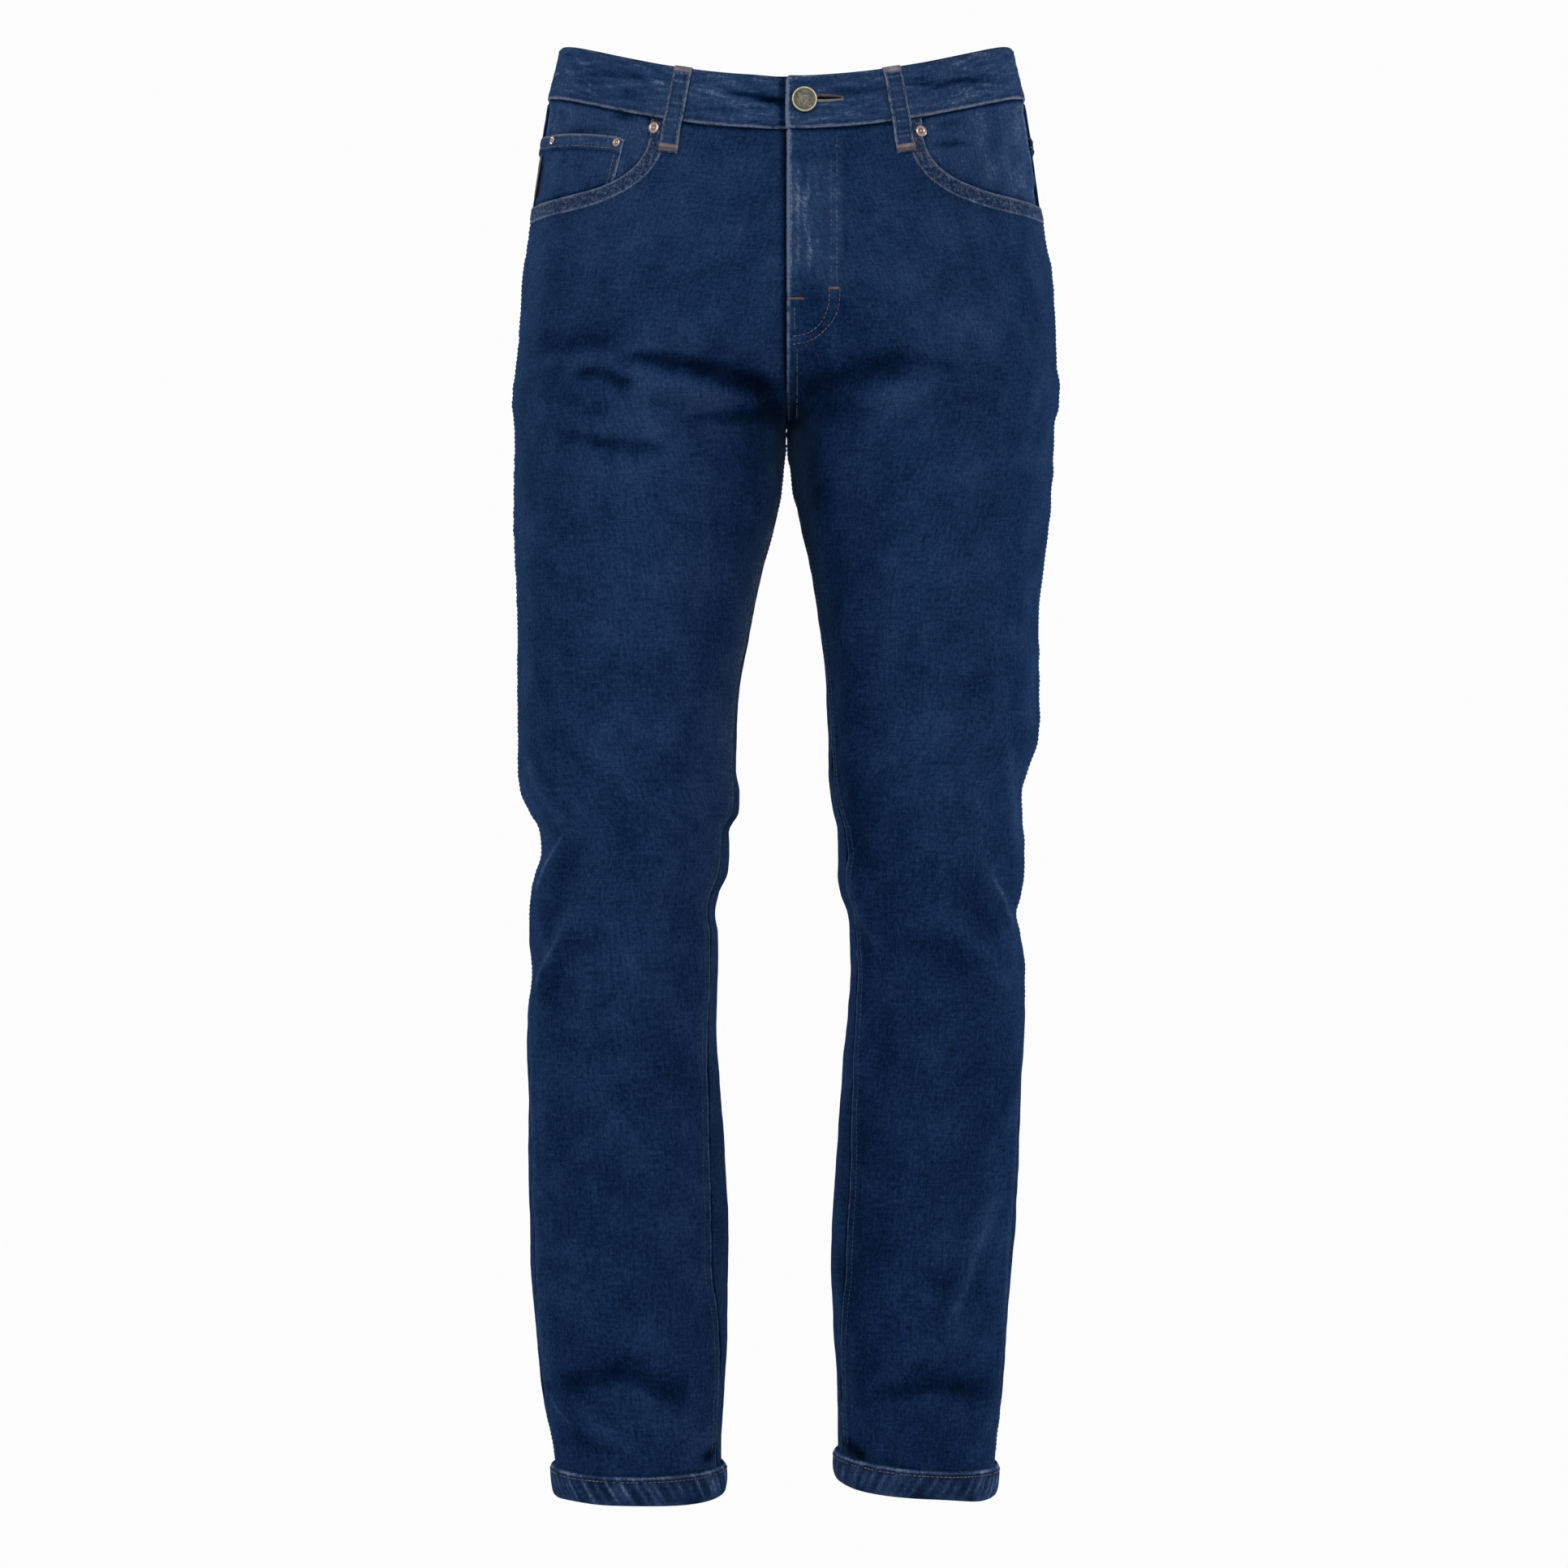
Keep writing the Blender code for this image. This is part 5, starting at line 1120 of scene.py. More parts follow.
class JEANS_OT_materials(Operator):
    """Make the node groups and materials that the pieces use"""

    bl_idname = "jeans.materials"
    bl_label = "Materials"

    def execute(self, context):
        cloth = context.scene.jeans_denim
        thread = context.scene.jeans_stitches
        denim, sewn, metal = make_denim_group(), make_thread_group(), make_metal_group()
        matt = {"Specular_IOR_Level": 0.0, "Sheen_Weight": 0.080, "Sheen_Roughness": 0.15, "Sheen_Tint": (0.30, 0.55, 0.95, 1.0)}
        for name, wear, body, deep in (
            ("denim", 0.0, cloth.body, cloth.dark),
            ("denim_band", 0.06, cloth.body, cloth.dark),
            ("denim_bearer", 0.10, cloth.body, cloth.dark),
            ("denim_hem", 0.02, (0.0090, 0.0225, 0.060), (0.0008, 0.0034, 0.0125)),
            ("denim_loop", 0.06, (0.0100, 0.0250, 0.066), (0.0008, 0.0040, 0.0150)),
            ("denim_inside", 0.0, cloth.inside, cloth.body),
        ):
            pale = (0.32, 0.37, 0.46) if name == "denim_inside" else tuple(cloth.light)
            worn = (0.22, 0.27, 0.36) if name == "denim_inside" else tuple(cloth.worn)
            inputs = {"Faded": pale, "Worn": worn, "Body": tuple(body), "Deep": tuple(deep), "Wear": wear}
            inputs["Grain"] = cloth.grain
            principled(name, denim, inputs, 0.55, 0.00035, **matt)
        for name, colour, pale, deep in (
            ("thread_copper", thread.copper, (0.27, 0.17, 0.14), (0.050, 0.028, 0.026)),
            ("thread_rose", thread.rose, (0.23, 0.20, 0.21), (0.030, 0.026, 0.036)),
            ("thread_navy", thread.navy, (0.070, 0.095, 0.145), (0.010, 0.018, 0.036)),
            ("thread_beige", thread.beige, (0.36, 0.32, 0.32), (0.050, 0.042, 0.055)),
        ):
            inputs = {"Thread": tuple(colour), "Pale": pale, "Deep": deep}
            principled(name, sewn, inputs, 0.3, 0.0002, Roughness=0.85, Specular_IOR_Level=0.15)
        weave = make_weave_group()
        for name, colour, pale, pitch in (
            ("tab_weave", (0.010, 0.009, 0.007), (0.050, 0.044, 0.026), 0.0009),
            ("tape_weave", (0.012, 0.014, 0.020), (0.045, 0.052, 0.070), 0.0011),
        ):
            principled(name, weave, {"Thread": colour, "Pale": pale, "Pitch": pitch}, 0.4, 0.0002)
        for name, bright, tarnish, age in (
            ("aged_brass", (0.42, 0.38, 0.26), (0.085, 0.088, 0.078), 0.92),
            ("copper", (0.56, 0.43, 0.38), (0.17, 0.105, 0.085), 0.34),
            ("zip_brass", (0.55, 0.42, 0.18), (0.16, 0.11, 0.05), 0.25),
        ):
            inputs = {"Bright": bright, "Tarnish": tarnish, "Age": age}
            principled(name, metal, inputs, 0.15, 0.0002, Metallic=1.0)
        return {"FINISHED"}


# ---------------------------------------------------------------- the big panels


def mouth_reach(x, z):
    """1 on the pocket mouth's edge, less inside the mouth and more on the panel."""
    a = np.maximum(MOUTH_CORNER[0] - x, 0) / MOUTH_WIDTH
    b = np.maximum(MOUTH_CORNER[1] - z, 0) / MOUTH_DEPTH
    return (a**MOUTH_POWER + b**MOUTH_POWER) ** (1 / MOUTH_POWER)


def mouth_line(side, margin=0.0, count=60):
    """The pocket mouth's edge, from the waist seam to the side seam, seen square on."""
    t = np.linspace(0, pi / 2, count)
    x = MOUTH_CORNER[0] - (MOUTH_WIDTH + margin) * np.cos(t) ** (2 / MOUTH_POWER)
    z = MOUTH_CORNER[1] - (MOUTH_DEPTH + margin) * np.sin(t) ** (2 / MOUTH_POWER)
    top = np.array([[x[0], 0.0]])
    return np.concatenate([top, np.stack([x, z], axis=1)]) * (side, 1)


def slide_to_mouth(grid, kept):
    """Move the grid's points that border the kept faces onto the pocket mouth's edge."""
    side = grid["side"]
    rows, columns = grid["angle"].shape
    touch = np.zeros((2, rows, columns), bool)
    for which, faces in enumerate((kept, ~kept)):
        for di in (0, 1):
            for dj in (0, 1):
                touch[which, di : rows - 1 + di, dj : columns - 1 + dj] |= faces
    border = touch[0] & touch[1]
    i, j = np.nonzero(border)
    angle, level = grid["angle"][i, j], grid["level"][i, j]
    radius = oval(side, level)[3]
    free_round, free_down = (j > 0).astype(float), (i > 0).astype(float)
    small = 1e-5

    def miss(turn, depth):
        place = skin(side, turn, depth)
        return mouth_reach(side * place[:, 0], place[:, 2]) - 1

    for _ in range(12):
        here = miss(angle, level)
        round_it = (miss(angle + small / radius, level) - here) / small * free_round
        down_it = (miss(angle, level + small) - here) / small * free_down
        size = np.maximum(round_it**2 + down_it**2, 1e-6)
        step = here / size
        move_round = np.clip(-step * round_it, -0.002, 0.002)
        move_down = np.clip(-step * down_it, -0.002, 0.002)
        angle = angle + move_round / radius
        level = level + move_down
    grid["angle"][i, j], grid["level"][i, j] = angle, level
    grid["points"] = skin(side, grid["angle"], grid["level"])
    grid["normals"][i, j] = outward(side, grid["angle"][i, j], grid["level"][i, j])


# Painted light beside the right leg's inseam and painted shade beside the left's, below the crotch, as its width and
# tone.
INSIDE_LEG_LIGHT_AND_SHADE = {
    (RIGHT, "front"): (0.030, 0.40),
    (LEFT, "front"): (0.055, -0.15),
    (RIGHT, "back"): (0.030, 0.25),
    (LEFT, "back"): (0.030, -0.08),
}


def thigh_tone_and_painted_light(side, face, grid):
    """Broad tone: paler down the middle of the thigh; painted shade and light for the rest: darker low on the leg and
    on the left leg, lighter over the hips, and beside the inseam lighter on the right leg and darker on the left.
    """
    x, z = grid["points"][..., 0] * side, grid["points"][..., 2]
    level = -z
    middle = np.interp(level, (0.05, 0.30, 0.60, 1.03), (0.110, 0.120, 0.118, 0.105))
    band = np.exp(-(((x - middle) / 0.055) ** 2))
    down = (0.0, 0.065, 0.095, 0.130, 0.185, 0.45, 0.62, 0.80, 1.04)
    # Painted falloff of the light from above: lighter over the hips, darker down the leg.
    low = np.interp(level, down, (0.050, 0.050, 0.140, 0.140, 0.030, 0.000, -0.035, -0.080, -0.070))
    # Painted light beside the right leg's inseam, painted shade beside the left's.
    wide, strength = INSIDE_LEG_LIGHT_AND_SHADE[side, face]
    strength = strength * np.interp(level, (0.26, 0.40, 0.48, 0.54, 0.62, 0.95), (1.90, 1.90, 1.25, 1.00, 0.60, 0.40))
    inner = strength * np.exp(-((grid["from_in"] / wide) ** 2)) * smooth((level - CROTCH + 0.014) / 0.02)
    share = np.interp(level, (0.1, 0.3, 0.7, 1.0), (0.6, 1.0, 0.5, 0.3))
    # The right leg is painted a little lighter and the left lower leg darker, as light falling from one side.
    return (0.10 if face == "front" else 0.06) * band * share + low + inner + (0.012 if side == RIGHT else -0.02 * smooth((level - 0.6) / 0.2))


def cloth_values(grid):
    """The place in the cloth that the denim's nodes read at each point."""
    down = grid["level"] - grid["level"].min()
    across = grid["from_out"] + (0.7 if grid["face"] == "back" else 0.0) + (2.1 if grid["side"] == LEFT else 0.0)
    return {"cloth": np.stack([across, down, np.zeros_like(down)], axis=-1)}


def seam_lift_and_tone(grid, key, over, seed):
    """Relief and wear of a panel beside one of its seams, and painted shadow along the seam where it lies under its
    neighbour. over is 1 where it lies on top.
    """
    away, level = grid[key], grid["level"]
    pucker = bends(level, 0.020, seed)
    wave = 0.00015 * pucker * np.exp(-((away / 0.016) ** 2))
    on_top = seam_edge(away, 0.0006, 1 + 0.15 * pucker) + wave
    beneath = under_edge(away) + wave * smooth(away / 0.004)
    crest = np.exp(-(((away - 0.0050) / 0.0042) ** 2)) * (0.5 + 0.5 * bends(level, 0.009, seed + 7))
    worn_edge = np.exp(-(((away - 0.0010) / 0.0012) ** 2)) * (0.75 + 0.35 * bends(level, 0.012, seed + 9))
    shadow = np.exp(-((np.maximum(away, 0) / 0.0012) ** 2))
    rubbed = 0.55 + 0.25 * bends(level, 0.035, seed + 11) if key == "from_out" else 1.00
    tone = over * (0.16 * crest + rubbed * worn_edge) + (1 - over) * (0.05 * crest - 0.60 * shadow)
    return over * on_top + (1 - over) * beneath, tone


def build_panel(name, grid, relief=None, kept=None):
    """One of the four big panels, with seam edges, creases and unevenness."""
    side, face = grid["side"], grid["face"]
    points, angle, level = grid["points"], grid["angle"], grid["level"]
    lift, tone = creases_at(side, face, angle, points)
    place = np.stack([grid["from_out"], level], axis=-1)
    seed = 11 + (side > 0) * 5 + (face == "back") * 9
    lift = lift + 0.00040 * bends(place, 0.045, seed) + 0.00012 * bends(place, 0.014, seed + 1)
    tone = tone + thigh_tone_and_painted_light(side, face, grid)
    over_out = 1.0 if face == "front" else 0.0
    for key, over, more in (("from_out", over_out, 20), ("from_in", grid["over_in"], 40)):
        seam_lift, seam_tone = seam_lift_and_tone(grid, key, over, seed + more)
        lift, tone = lift + seam_lift, tone + seam_tone
    # A paler band beside the side seam: partly side seam wear, partly painted rim light.
    tone = tone + 0.06 * np.exp(-((grid["from_out"] / 0.028) ** 2))
    values = cloth_values(grid)
    if relief is not None:
        more_lift, more_tone, edging = relief(points, grid)
        lift, tone = lift + more_lift, tone + more_tone
        crest, strength = crests_at(side, points)
        lift = lift + 0.0009 * np.exp(-((crest / 3.0) ** 2)) * np.clip(strength / 0.3, 0, 1)
        values["line"] = np.stack([crest, strength, 0 * crest], axis=-1)
        values["edging"] = edging
    from_top = level - level[0]
    lift = lift - 0.0010 * (1 - smooth(from_top / 0.0030))
    # Painted shadow along the top edge, under the waistband.
    values["tone"] = tone - 1.1 * np.exp(-((from_top / 0.0016) ** 2))
    outer = points + grid["normals"] * lift[..., None]
    normals = grid_normals(outer)
    normals = normals if (normals * grid["normals"]).sum() > 0 else -normals
    obj = cloth_shell(name, outer, normals, DENIM, ("denim", "denim_inside"), values, kept)
    if kept is not None:
        weld(obj)
    grid["outer"], grid["outer_normals"] = outer, normals
    SHAPES[name] = grid
    dress(obj, name)


def fly_and_mouth(side):
    """Extra relief and tone of a front panel: the pocket's turned edge and the fly, with painted shade beside them."""

    def relief(points, grid):
        x, z = points[..., 0], points[..., 2]
        away, along, _ = from_line(mouth_line(side), x, z)
        band = smooth(away / 0.0012) * (1 - smooth((away - MOUTH_BAND) / 0.0018))
        rolled = smooth(away / 0.0014) - 1
        groove = np.exp(-(((away - 0.0022) / 0.0007) ** 2)) + np.exp(-(((away - MOUTH_BAND) / 0.0009) ** 2))
        lift = 0.0007 * band + 0.0008 * rolled - 0.00022 * groove
        weight = (0.85 + 0.3 * bends(along, 0.07, 61 + side)) * (away < 0.018)
        edging = np.stack([away, weight, 0 * away], axis=-1)
        # Painted shade just outside the turned edge's band.
        tone = -0.08 * np.exp(-(((away - 0.0135) / 0.0016) ** 2))
        above = smooth((-z - 0.050) / 0.004) * (1 - smooth((-z - 0.232) / 0.010))
        if side == LEFT:
            more_lift, more_tone = fly_relief(x, z, grid["from_in"])
            lift, tone = lift + above * more_lift, tone + above * more_tone
            for curve in (FLY_OUTER, FLY_INNER):
                near = from_line(np.array(curve), x, z)[0]
                lift = lift - 0.0003 * np.exp(-((near / 0.0010) ** 2))
                # Painted shade in the grooves of the fly's curved stitching, lighter just beside them.
                tone = tone + 0.07 * np.exp(-(((near - 0.002) / 0.002) ** 2)) - 0.10 * np.exp(-((near / 0.0012) ** 2))
        else:
            # Painted shadow of the fly lap on the right front, beside the centre.
            tone = tone - above * 0.70 * np.exp(-((grid["from_in"] / 0.0032) ** 2))
            lift = lift - above * 0.0008 * np.exp(-((grid["from_in"] / 0.006) ** 2))
        return lift, tone, edging

    return relief


def fly_relief(x, z, from_centre):
    """Relief and wear of the fly lap: its rubbed edge, the zip's ridge and the pulls across it, and painted shade past
    its edge.
    """
    flap = 1 - smooth((from_centre - 0.0375) / 0.004)
    edge = np.exp(-(((from_centre - 0.0028) / 0.0024) ** 2))
    rubbed = np.exp(-(((from_centre - 0.0014) / 0.0014) ** 2))
    pucker = bends(z, 0.016, 71)
    high, low = smooth((-z - 0.074) / 0.012), 1 - smooth((-z - 0.150) / 0.03)
    pulls = 0.5 + 0.5 * bends(np.stack([x * 3.2, z + 0.15 * x], axis=-1), 0.013, 73)
    tone = 1.05 * rubbed * (0.80 + 0.30 * pucker) * (0.40 + 0.60 * low) + 0.14 * edge * low
    tone = tone + flap * (0.20 * low - 0.10) + 0.16 * flap * high * pulls * (0.4 + 0.6 * low)
    for middle, wide, strength in ((0.0148, 0.0018, 0.54), (0.0078, 0.0020, 0.40), (0.0215, 0.0013, 0.28)):
        off = x - middle - 0.0014 * bends(z, 0.045, int(middle * 1e4))
        tone = tone + strength * np.exp(-((off / wide) ** 2)) * high * low * (0.8 + 0.3 * bends(z, 0.03, 74))
    seat = np.exp(-(((x - 0.0335) / 0.0032) ** 2)) * (0.5 + 0.5 * bends(z, 0.0075, 75))
    # Painted shade just past the lap's outer edge.
    tone = tone + high * (0.24 * seat - 0.08 * np.exp(-(((x - 0.0405) / 0.0020) ** 2)))
    lift = 0.0007 * flap + (0.0006 + 0.0003 * pucker) * edge + 0.00025 * high * flap * (pulls - 0.5)
    return lift, tone


class JEANS_OT_fronts(Operator):
    """Build the two front panels with their pocket mouths"""

    bl_idname = "jeans.fronts"
    bl_label = "Front panels"

    def execute(self, context):
        levels = fine_rows(WAIST_SEAM + 0.0003)
        for side in (RIGHT, LEFT):
            grid = panel_grid(side, "front", lambda u: np.repeat(levels[:, None], len(u), axis=1), 78)
            points = grid["points"]
            centre = (points[:-1, :-1] + points[1:, :-1] + points[:-1, 1:] + points[1:, 1:]) / 4
            kept = mouth_reach(side * centre[..., 0], centre[..., 2]) > 1
            slide_to_mouth(grid, kept)
            build_panel(f"front_{SIDE_NAMES[side]}", grid, fly_and_mouth(side), kept)
        return {"FINISHED"}


class JEANS_OT_backs(Operator):
    """Build the two back panels and the yokes over them"""

    bl_idname = "jeans.backs"
    bl_label = "Back panels and yokes"

    def execute(self, context):
        for side in (RIGHT, LEFT):
            levels = fine_rows(YOKE_SIDE - 0.0008)

            def back_level(u):
                fade = np.clip((YOKE_FADE_END - levels) / (YOKE_FADE_END - YOKE_SIDE), 0, 1)
                return levels[:, None] + YOKE_DROP * u * fade[:, None]

            grid = panel_grid(side, "back", back_level, 60)
            build_panel(f"back_{SIDE_NAMES[side]}", grid)
            build_yoke(side)
        return {"FINISHED"}


def build_yoke(side):
    """Shaped piece between the waistband and the back panel."""
    count = 28
    down = np.linspace(0, 1, count)
    levels = WAIST_SEAM + 0.0003 + (YOKE_SIDE - WAIST_SEAM - 0.0003) * down

    def yoke_level(u):
        return levels[:, None] + YOKE_DROP * u * down[:, None]

    grid = panel_grid(side, "back", yoke_level, 66)
    edge = grid["level"][-1] - grid["level"]
    top = grid["level"] - grid["level"][0]
    place = np.stack([grid["from_out"], grid["level"]], axis=-1)
    pucker = bends(grid["from_out"], 0.018, 43 + side)
    lift = 0.0004 + 0.00025 * bends(place, 0.04, 47) + seam_edge(edge, 0.0006, 1 + 0.5 * pucker)
    tone = 0.05 + 0.12 * np.exp(-(((edge - 0.0050) / 0.004) ** 2)) * (0.6 + 0.4 * pucker)
    # A worn bottom edge, and painted shadow along the top edge under the waistband.
    tone = tone + 0.28 * np.exp(-(((edge - 0.0007) / 0.0008) ** 2)) - 0.35 * np.exp(-((top / 0.0020) ** 2))
    lift = lift - 0.0010 * (1 - smooth(top / 0.0030))
    for key, over, more in (("from_out", 0.0, 3), ("from_in", grid["over_in"], 4)):
        seam_lift, seam_tone = seam_lift_and_tone(grid, key, over, 90 + more + side)
        lift, tone = lift + seam_lift, tone + seam_tone
    outer = grid["points"] + grid["normals"] * lift[..., None]
    name = f"yoke_{SIDE_NAMES[side]}"
    values = {**cloth_values(grid), "tone": tone}
    obj = cloth_shell(name, outer, grid["normals"], DENIM, ("denim", "denim_inside"), values)
    grid.update(outer=outer, outer_normals=grid["normals"], edge=edge)
    SHAPES[name] = grid
    dress(obj, name)


# ---------------------------------------------------------------- waistband and loops


def close_ends(length, count, ends=(0.0, 0.0003, 0.0008, 0.0016, 0.0027, 0.0042)):
    """Stations along a run, even in the middle and close together by both ends."""
    ends = np.array(ends) * min(1.0, length / (3 * ends[-1]))
    between = np.linspace(ends[-1], length - ends[-1], count + 2)[1:-1]
    return np.concatenate([ends, between, length - ends[::-1]])


def through(points, count, closed=False):
    """Points evenly numbered along a smooth curve through some points."""
    points = np.asarray(points, float)
    if closed:
        padded = np.concatenate([points[-1:], points, points[:2]])
    else:
        padded = np.concatenate([2 * points[:1] - points[1:2], points, 2 * points[-1:] - points[-2:-1]])
    spans = len(padded) - 3
    t = np.linspace(0, spans, count, endpoint=not closed)
    i = np.minimum(t.astype(int), spans - 1)
    f = (t - i)[:, None]
    a, b, c, d = (padded[i + k] for k in range(4))
    return 0.5 * (2 * b + (c - a) * f + (2 * a - 5 * b + 4 * c - d) * f**2 + (3 * b - 3 * c + d - a) * f**3)


def round_waist(turn, level):
    """Points and normals round the waist; turn runs from the lap, by the left side and the back."""
    left = turn < LAP_END + pi / 2
    angle = np.where(left, LAP_END - turn, turn - LAP_END - pi)
    points = np.where(left[..., None], skin(LEFT, angle, level), skin(RIGHT, angle, level))
    normals = np.where(left[..., None], outward(LEFT, angle, level), outward(RIGHT, angle, level))
    start, stop = LAP_RAMP
    under = np.where(left, 0.0, smooth((angle - start) / (stop - start)))
    return points, normals, angle, left, under


class JEANS_OT_waistband(Operator):
    """Build the waistband with its button lap and buttonhole"""

    bl_idname = "jeans.waistband"
    bl_label = "Waistband"

    def execute(self, context):
        fine = np.linspace(0, LAP_END + UNDERLAP_END + pi, 4000)
        line = round_waist(fine, np.full(fine.shape, WAIST_SEAM))[0]
        arc = np.concatenate([[0], np.cumsum(np.linalg.norm(np.diff(line, axis=0), axis=1))])
        stations = close_ends(arc[-1], 470)
        hole = np.arange(0.006, 0.052, 0.0008)
        stations = np.union1d(stations, hole)
        turn = np.interp(stations, arc, fine)
        drops = np.union1d(close_ends(WAIST_SEAM - WAIST_TOP, 18), np.arange(0.0135, 0.0205, 0.0005))
        drop, turn = np.meshgrid(drops, turn, indexing="ij")
        along = np.repeat(stations[None, :], len(drops), axis=0)
        corner = 0.0022 * (np.clip(1 - stations / 0.0030, 0, 1) ** 2)[None, :] * (1 - drop / 0.012).clip(0, 1)
        points, normals, angle, left, under = round_waist(turn, WAIST_TOP + drop + corner)
        place = np.stack([along / 3.2, drop], axis=-1)
        often = 0.55 + 0.45 * bends(along, 0.11, 81)
        lift = BAND_PROUD + 0.00034 * often * bends(place, 0.0105, 82) + 0.00025 * bends(along, 0.05, 83)
        streaks = bends(np.stack([along / 5.0, drop], axis=-1), 0.0042, 86)
        tone = 0.37 + 0.12 * bends(place, 0.009, 84) + 0.22 * streaks * (0.6 + 0.4 * bends(along, 0.06, 87))
        bottom = WAIST_SEAM - WAIST_TOP - drop
        pucker = bends(along, 0.014, 85)
        for edge, high, worn in ((drop, 0.0002, 0.10), (bottom, 0.0004, 1.00)):
            lift = lift - 0.0010 * (1 - smooth(edge / ROLL)) + high * np.exp(-(((edge - 0.0045) / 0.003) ** 2)) * (1 + 0.5 * pucker)
            lift = lift - 0.00018 * np.exp(-(((edge - 0.0020) / 0.0007) ** 2))
            tone = tone + worn * np.exp(-(((edge - 0.0008) / 0.0008) ** 2)) * (0.8 + 0.2 * pucker)
        # Painted shade: a dark line along the top edge where the band turns over, and one above the bottom stitching.
        tone = tone - 0.5 * np.exp(-((drop / 0.0006) ** 2)) - 0.22 * np.exp(-(((bottom - 0.0030) / 0.0008) ** 2))
        lap = np.exp(-(((along - 0.0046) / 0.0030) ** 2))
        lift = lift - 0.0011 * (1 - smooth(along / ROLL)) + 0.0005 * lap
        tone = tone + 1.10 * np.exp(-(((along - 0.0014) / 0.0013) ** 2)) + 0.10 * lap
        # Painted shadow of the button on the band beside it.
        button_shadow = np.exp(-(((points[..., 0] - 0.0035) / 0.0014) ** 2)) * left * smooth((-0.027 - points[..., 2]) / 0.003)
        tone = tone - 0.45 * button_shadow * smooth((points[..., 2] + 0.045) / 0.004)
        for side, on_side in ((RIGHT, ~left), (LEFT, left)):
            for crease in BAND_CREASES:
                if crease.side == side:
                    more, shade = lay_crease(crease, points[..., 0], points[..., 2])
                    shown = on_side * smooth(np.sin(angle) / 0.3)
                    lift, tone = lift + more * shown, tone + shade * shown
        slit, slit_shade = self.slit(points, left)
        lift, tone = lift + slit, tone + slit_shade
        lift = lift - (BAND_THICK + LAP_GAP) * under
        # Painted shadow of the lap where the band's end runs under it.
        tone = tone - 0.70 * smooth((under - 0.95) / 0.05)
        outer = points + normals * lift[..., None]
        thick = np.full(lift.shape, BAND_THICK) + 0.85 * slit
        values = {"cloth": np.stack([drop + 5.0, along, np.zeros_like(along)], axis=-1), "tone": tone}
        obj = cloth_shell(
            "waistband", outer, normals, 0, ("denim_band", "denim_inside"), values, taper=thick
        )
        SHAPES["waistband"] = {
            "outer": outer, "outer_normals": normals, "drop": drop, "bottom": bottom, "along": along,
            "level": drop, "under": under,
        }
        dress(obj, "waistband")
        return {"FINISHED"}

    def slit(self, points, left):
        """The buttonhole's opening: a narrow lens, pressed into the lap and painted dark as shade."""
        x, z = points[..., 0], points[..., 2]
        share = np.clip((x - BUTTONHOLE_START) / (BUTTONHOLE_END - BUTTONHOLE_START), 0, 1)
        middle = BUTTONHOLE_Z - 0.0009 + 0.0004 * share
        half = 0.0006 + 0.0010 * np.sin(pi * np.clip(share, 0, 1)) ** 0.8
        inside = (share > 0) & (share < 1) & left
        near = np.exp(-(np.maximum(np.abs(z - middle) - half * 0.4, 0) / 0.0006) ** 2) * inside
        lips = np.exp(-(((np.abs(z - middle) - 0.0020) / 0.0010) ** 2)) * inside
        return -0.0016 * near + 0.0004 * lips, -1.4 * near


def build_loop(place):
    """Belt loop: a folded strip tacked at both ends that stands off the waistband between them."""
    run = through([(station.level, station.lift) for station in LOOP_RUN], 64)
    down = np.concatenate([[0], np.cumsum(np.hypot(*np.diff(run, axis=0).T))])
    across = close_ends(2 * LOOP_HALF_WIDTH, 8, (0.0, 0.0004, 0.0010, 0.0018)) - LOOP_HALF_WIDTH
    centre = skin(place.side, np.array(place.foot), np.array(WAIST_SEAM))
    ahead = skin(place.side, np.array(place.foot + 0.01), np.array(WAIST_SEAM))
    turn = 0.01 / np.linalg.norm(ahead - centre)
    level, offset = np.meshgrid(run[:, 0], across, indexing="ij")
    sway = 0.0003 * bends(level, 0.03, 101 + len(place.name) + place.side)
    share = (level - level[0]) / (level[-1] - level[0])
    angle = place.top + (place.foot - place.top) * share + turn * (offset + sway)
    points, normals = skin(place.side, angle, level), outward(place.side, angle, level)
    edge = LOOP_HALF_WIDTH - np.abs(offset)
    end = np.minimum(down, down[-1] - down)[:, None]
    folded = 1 - smooth((down[-1] - down - 0.0085) / 0.002)[:, None]
    lift = run[:, 1][:, None] + LOOP_THICK + 0.0005 * folded + 0.0001 * bends(level, 0.006, 7)
    lift = lift - 0.0008 * (1 - smooth(edge / 0.0012)) - 0.0008 * (1 - smooth(end / 0.0012))
    lift = lift - 0.0002 * np.exp(-(((edge - 0.0019) / 0.0006) ** 2)) + 0.00025 * smooth((edge - 0.003) / 0.002)
    worn = np.exp(-(((edge - 0.0006) / 0.0007) ** 2)) * (0.8 + 0.2 * bends(level, 0.008, 9))
    ends = np.exp(-((end / 0.0045) ** 2))
    tone = 0.40 + 0.80 * worn + 0.24 * bends(level, 0.0045, 10 + len(place.name)) * (edge > 0.0025) + 0.20 * ends
    # Painted shade in the groove of each stitched edge.
    tone = tone - 0.30 * np.exp(-(((edge - 0.0024) / 0.0006) ** 2))
    outer = points + normals * lift[..., None]
    values = {
        "cloth": np.stack([offset + 7.0 + place.top, np.repeat(down[:, None], len(across), axis=1), 0 * offset], axis=-1),
        "tone": tone,
    }
    obj = cloth_shell(place.name, outer, normals, LOOP_THICK, ("denim_loop", "denim_loop"), values)
    SHAPES[place.name] = {
        "outer": outer, "outer_normals": normals, "across": offset, "level": level,
        "down": np.repeat(down[:, None], len(across), axis=1),
    }
    dress(obj, place.name)


class JEANS_OT_loops(Operator):
    """Build the five belt loops"""

    bl_idname = "jeans.loops"
    bl_label = "Belt loops"

    def execute(self, context):
        for place in LOOP_PLACES:
            build_loop(place)
        return {"FINISHED"}


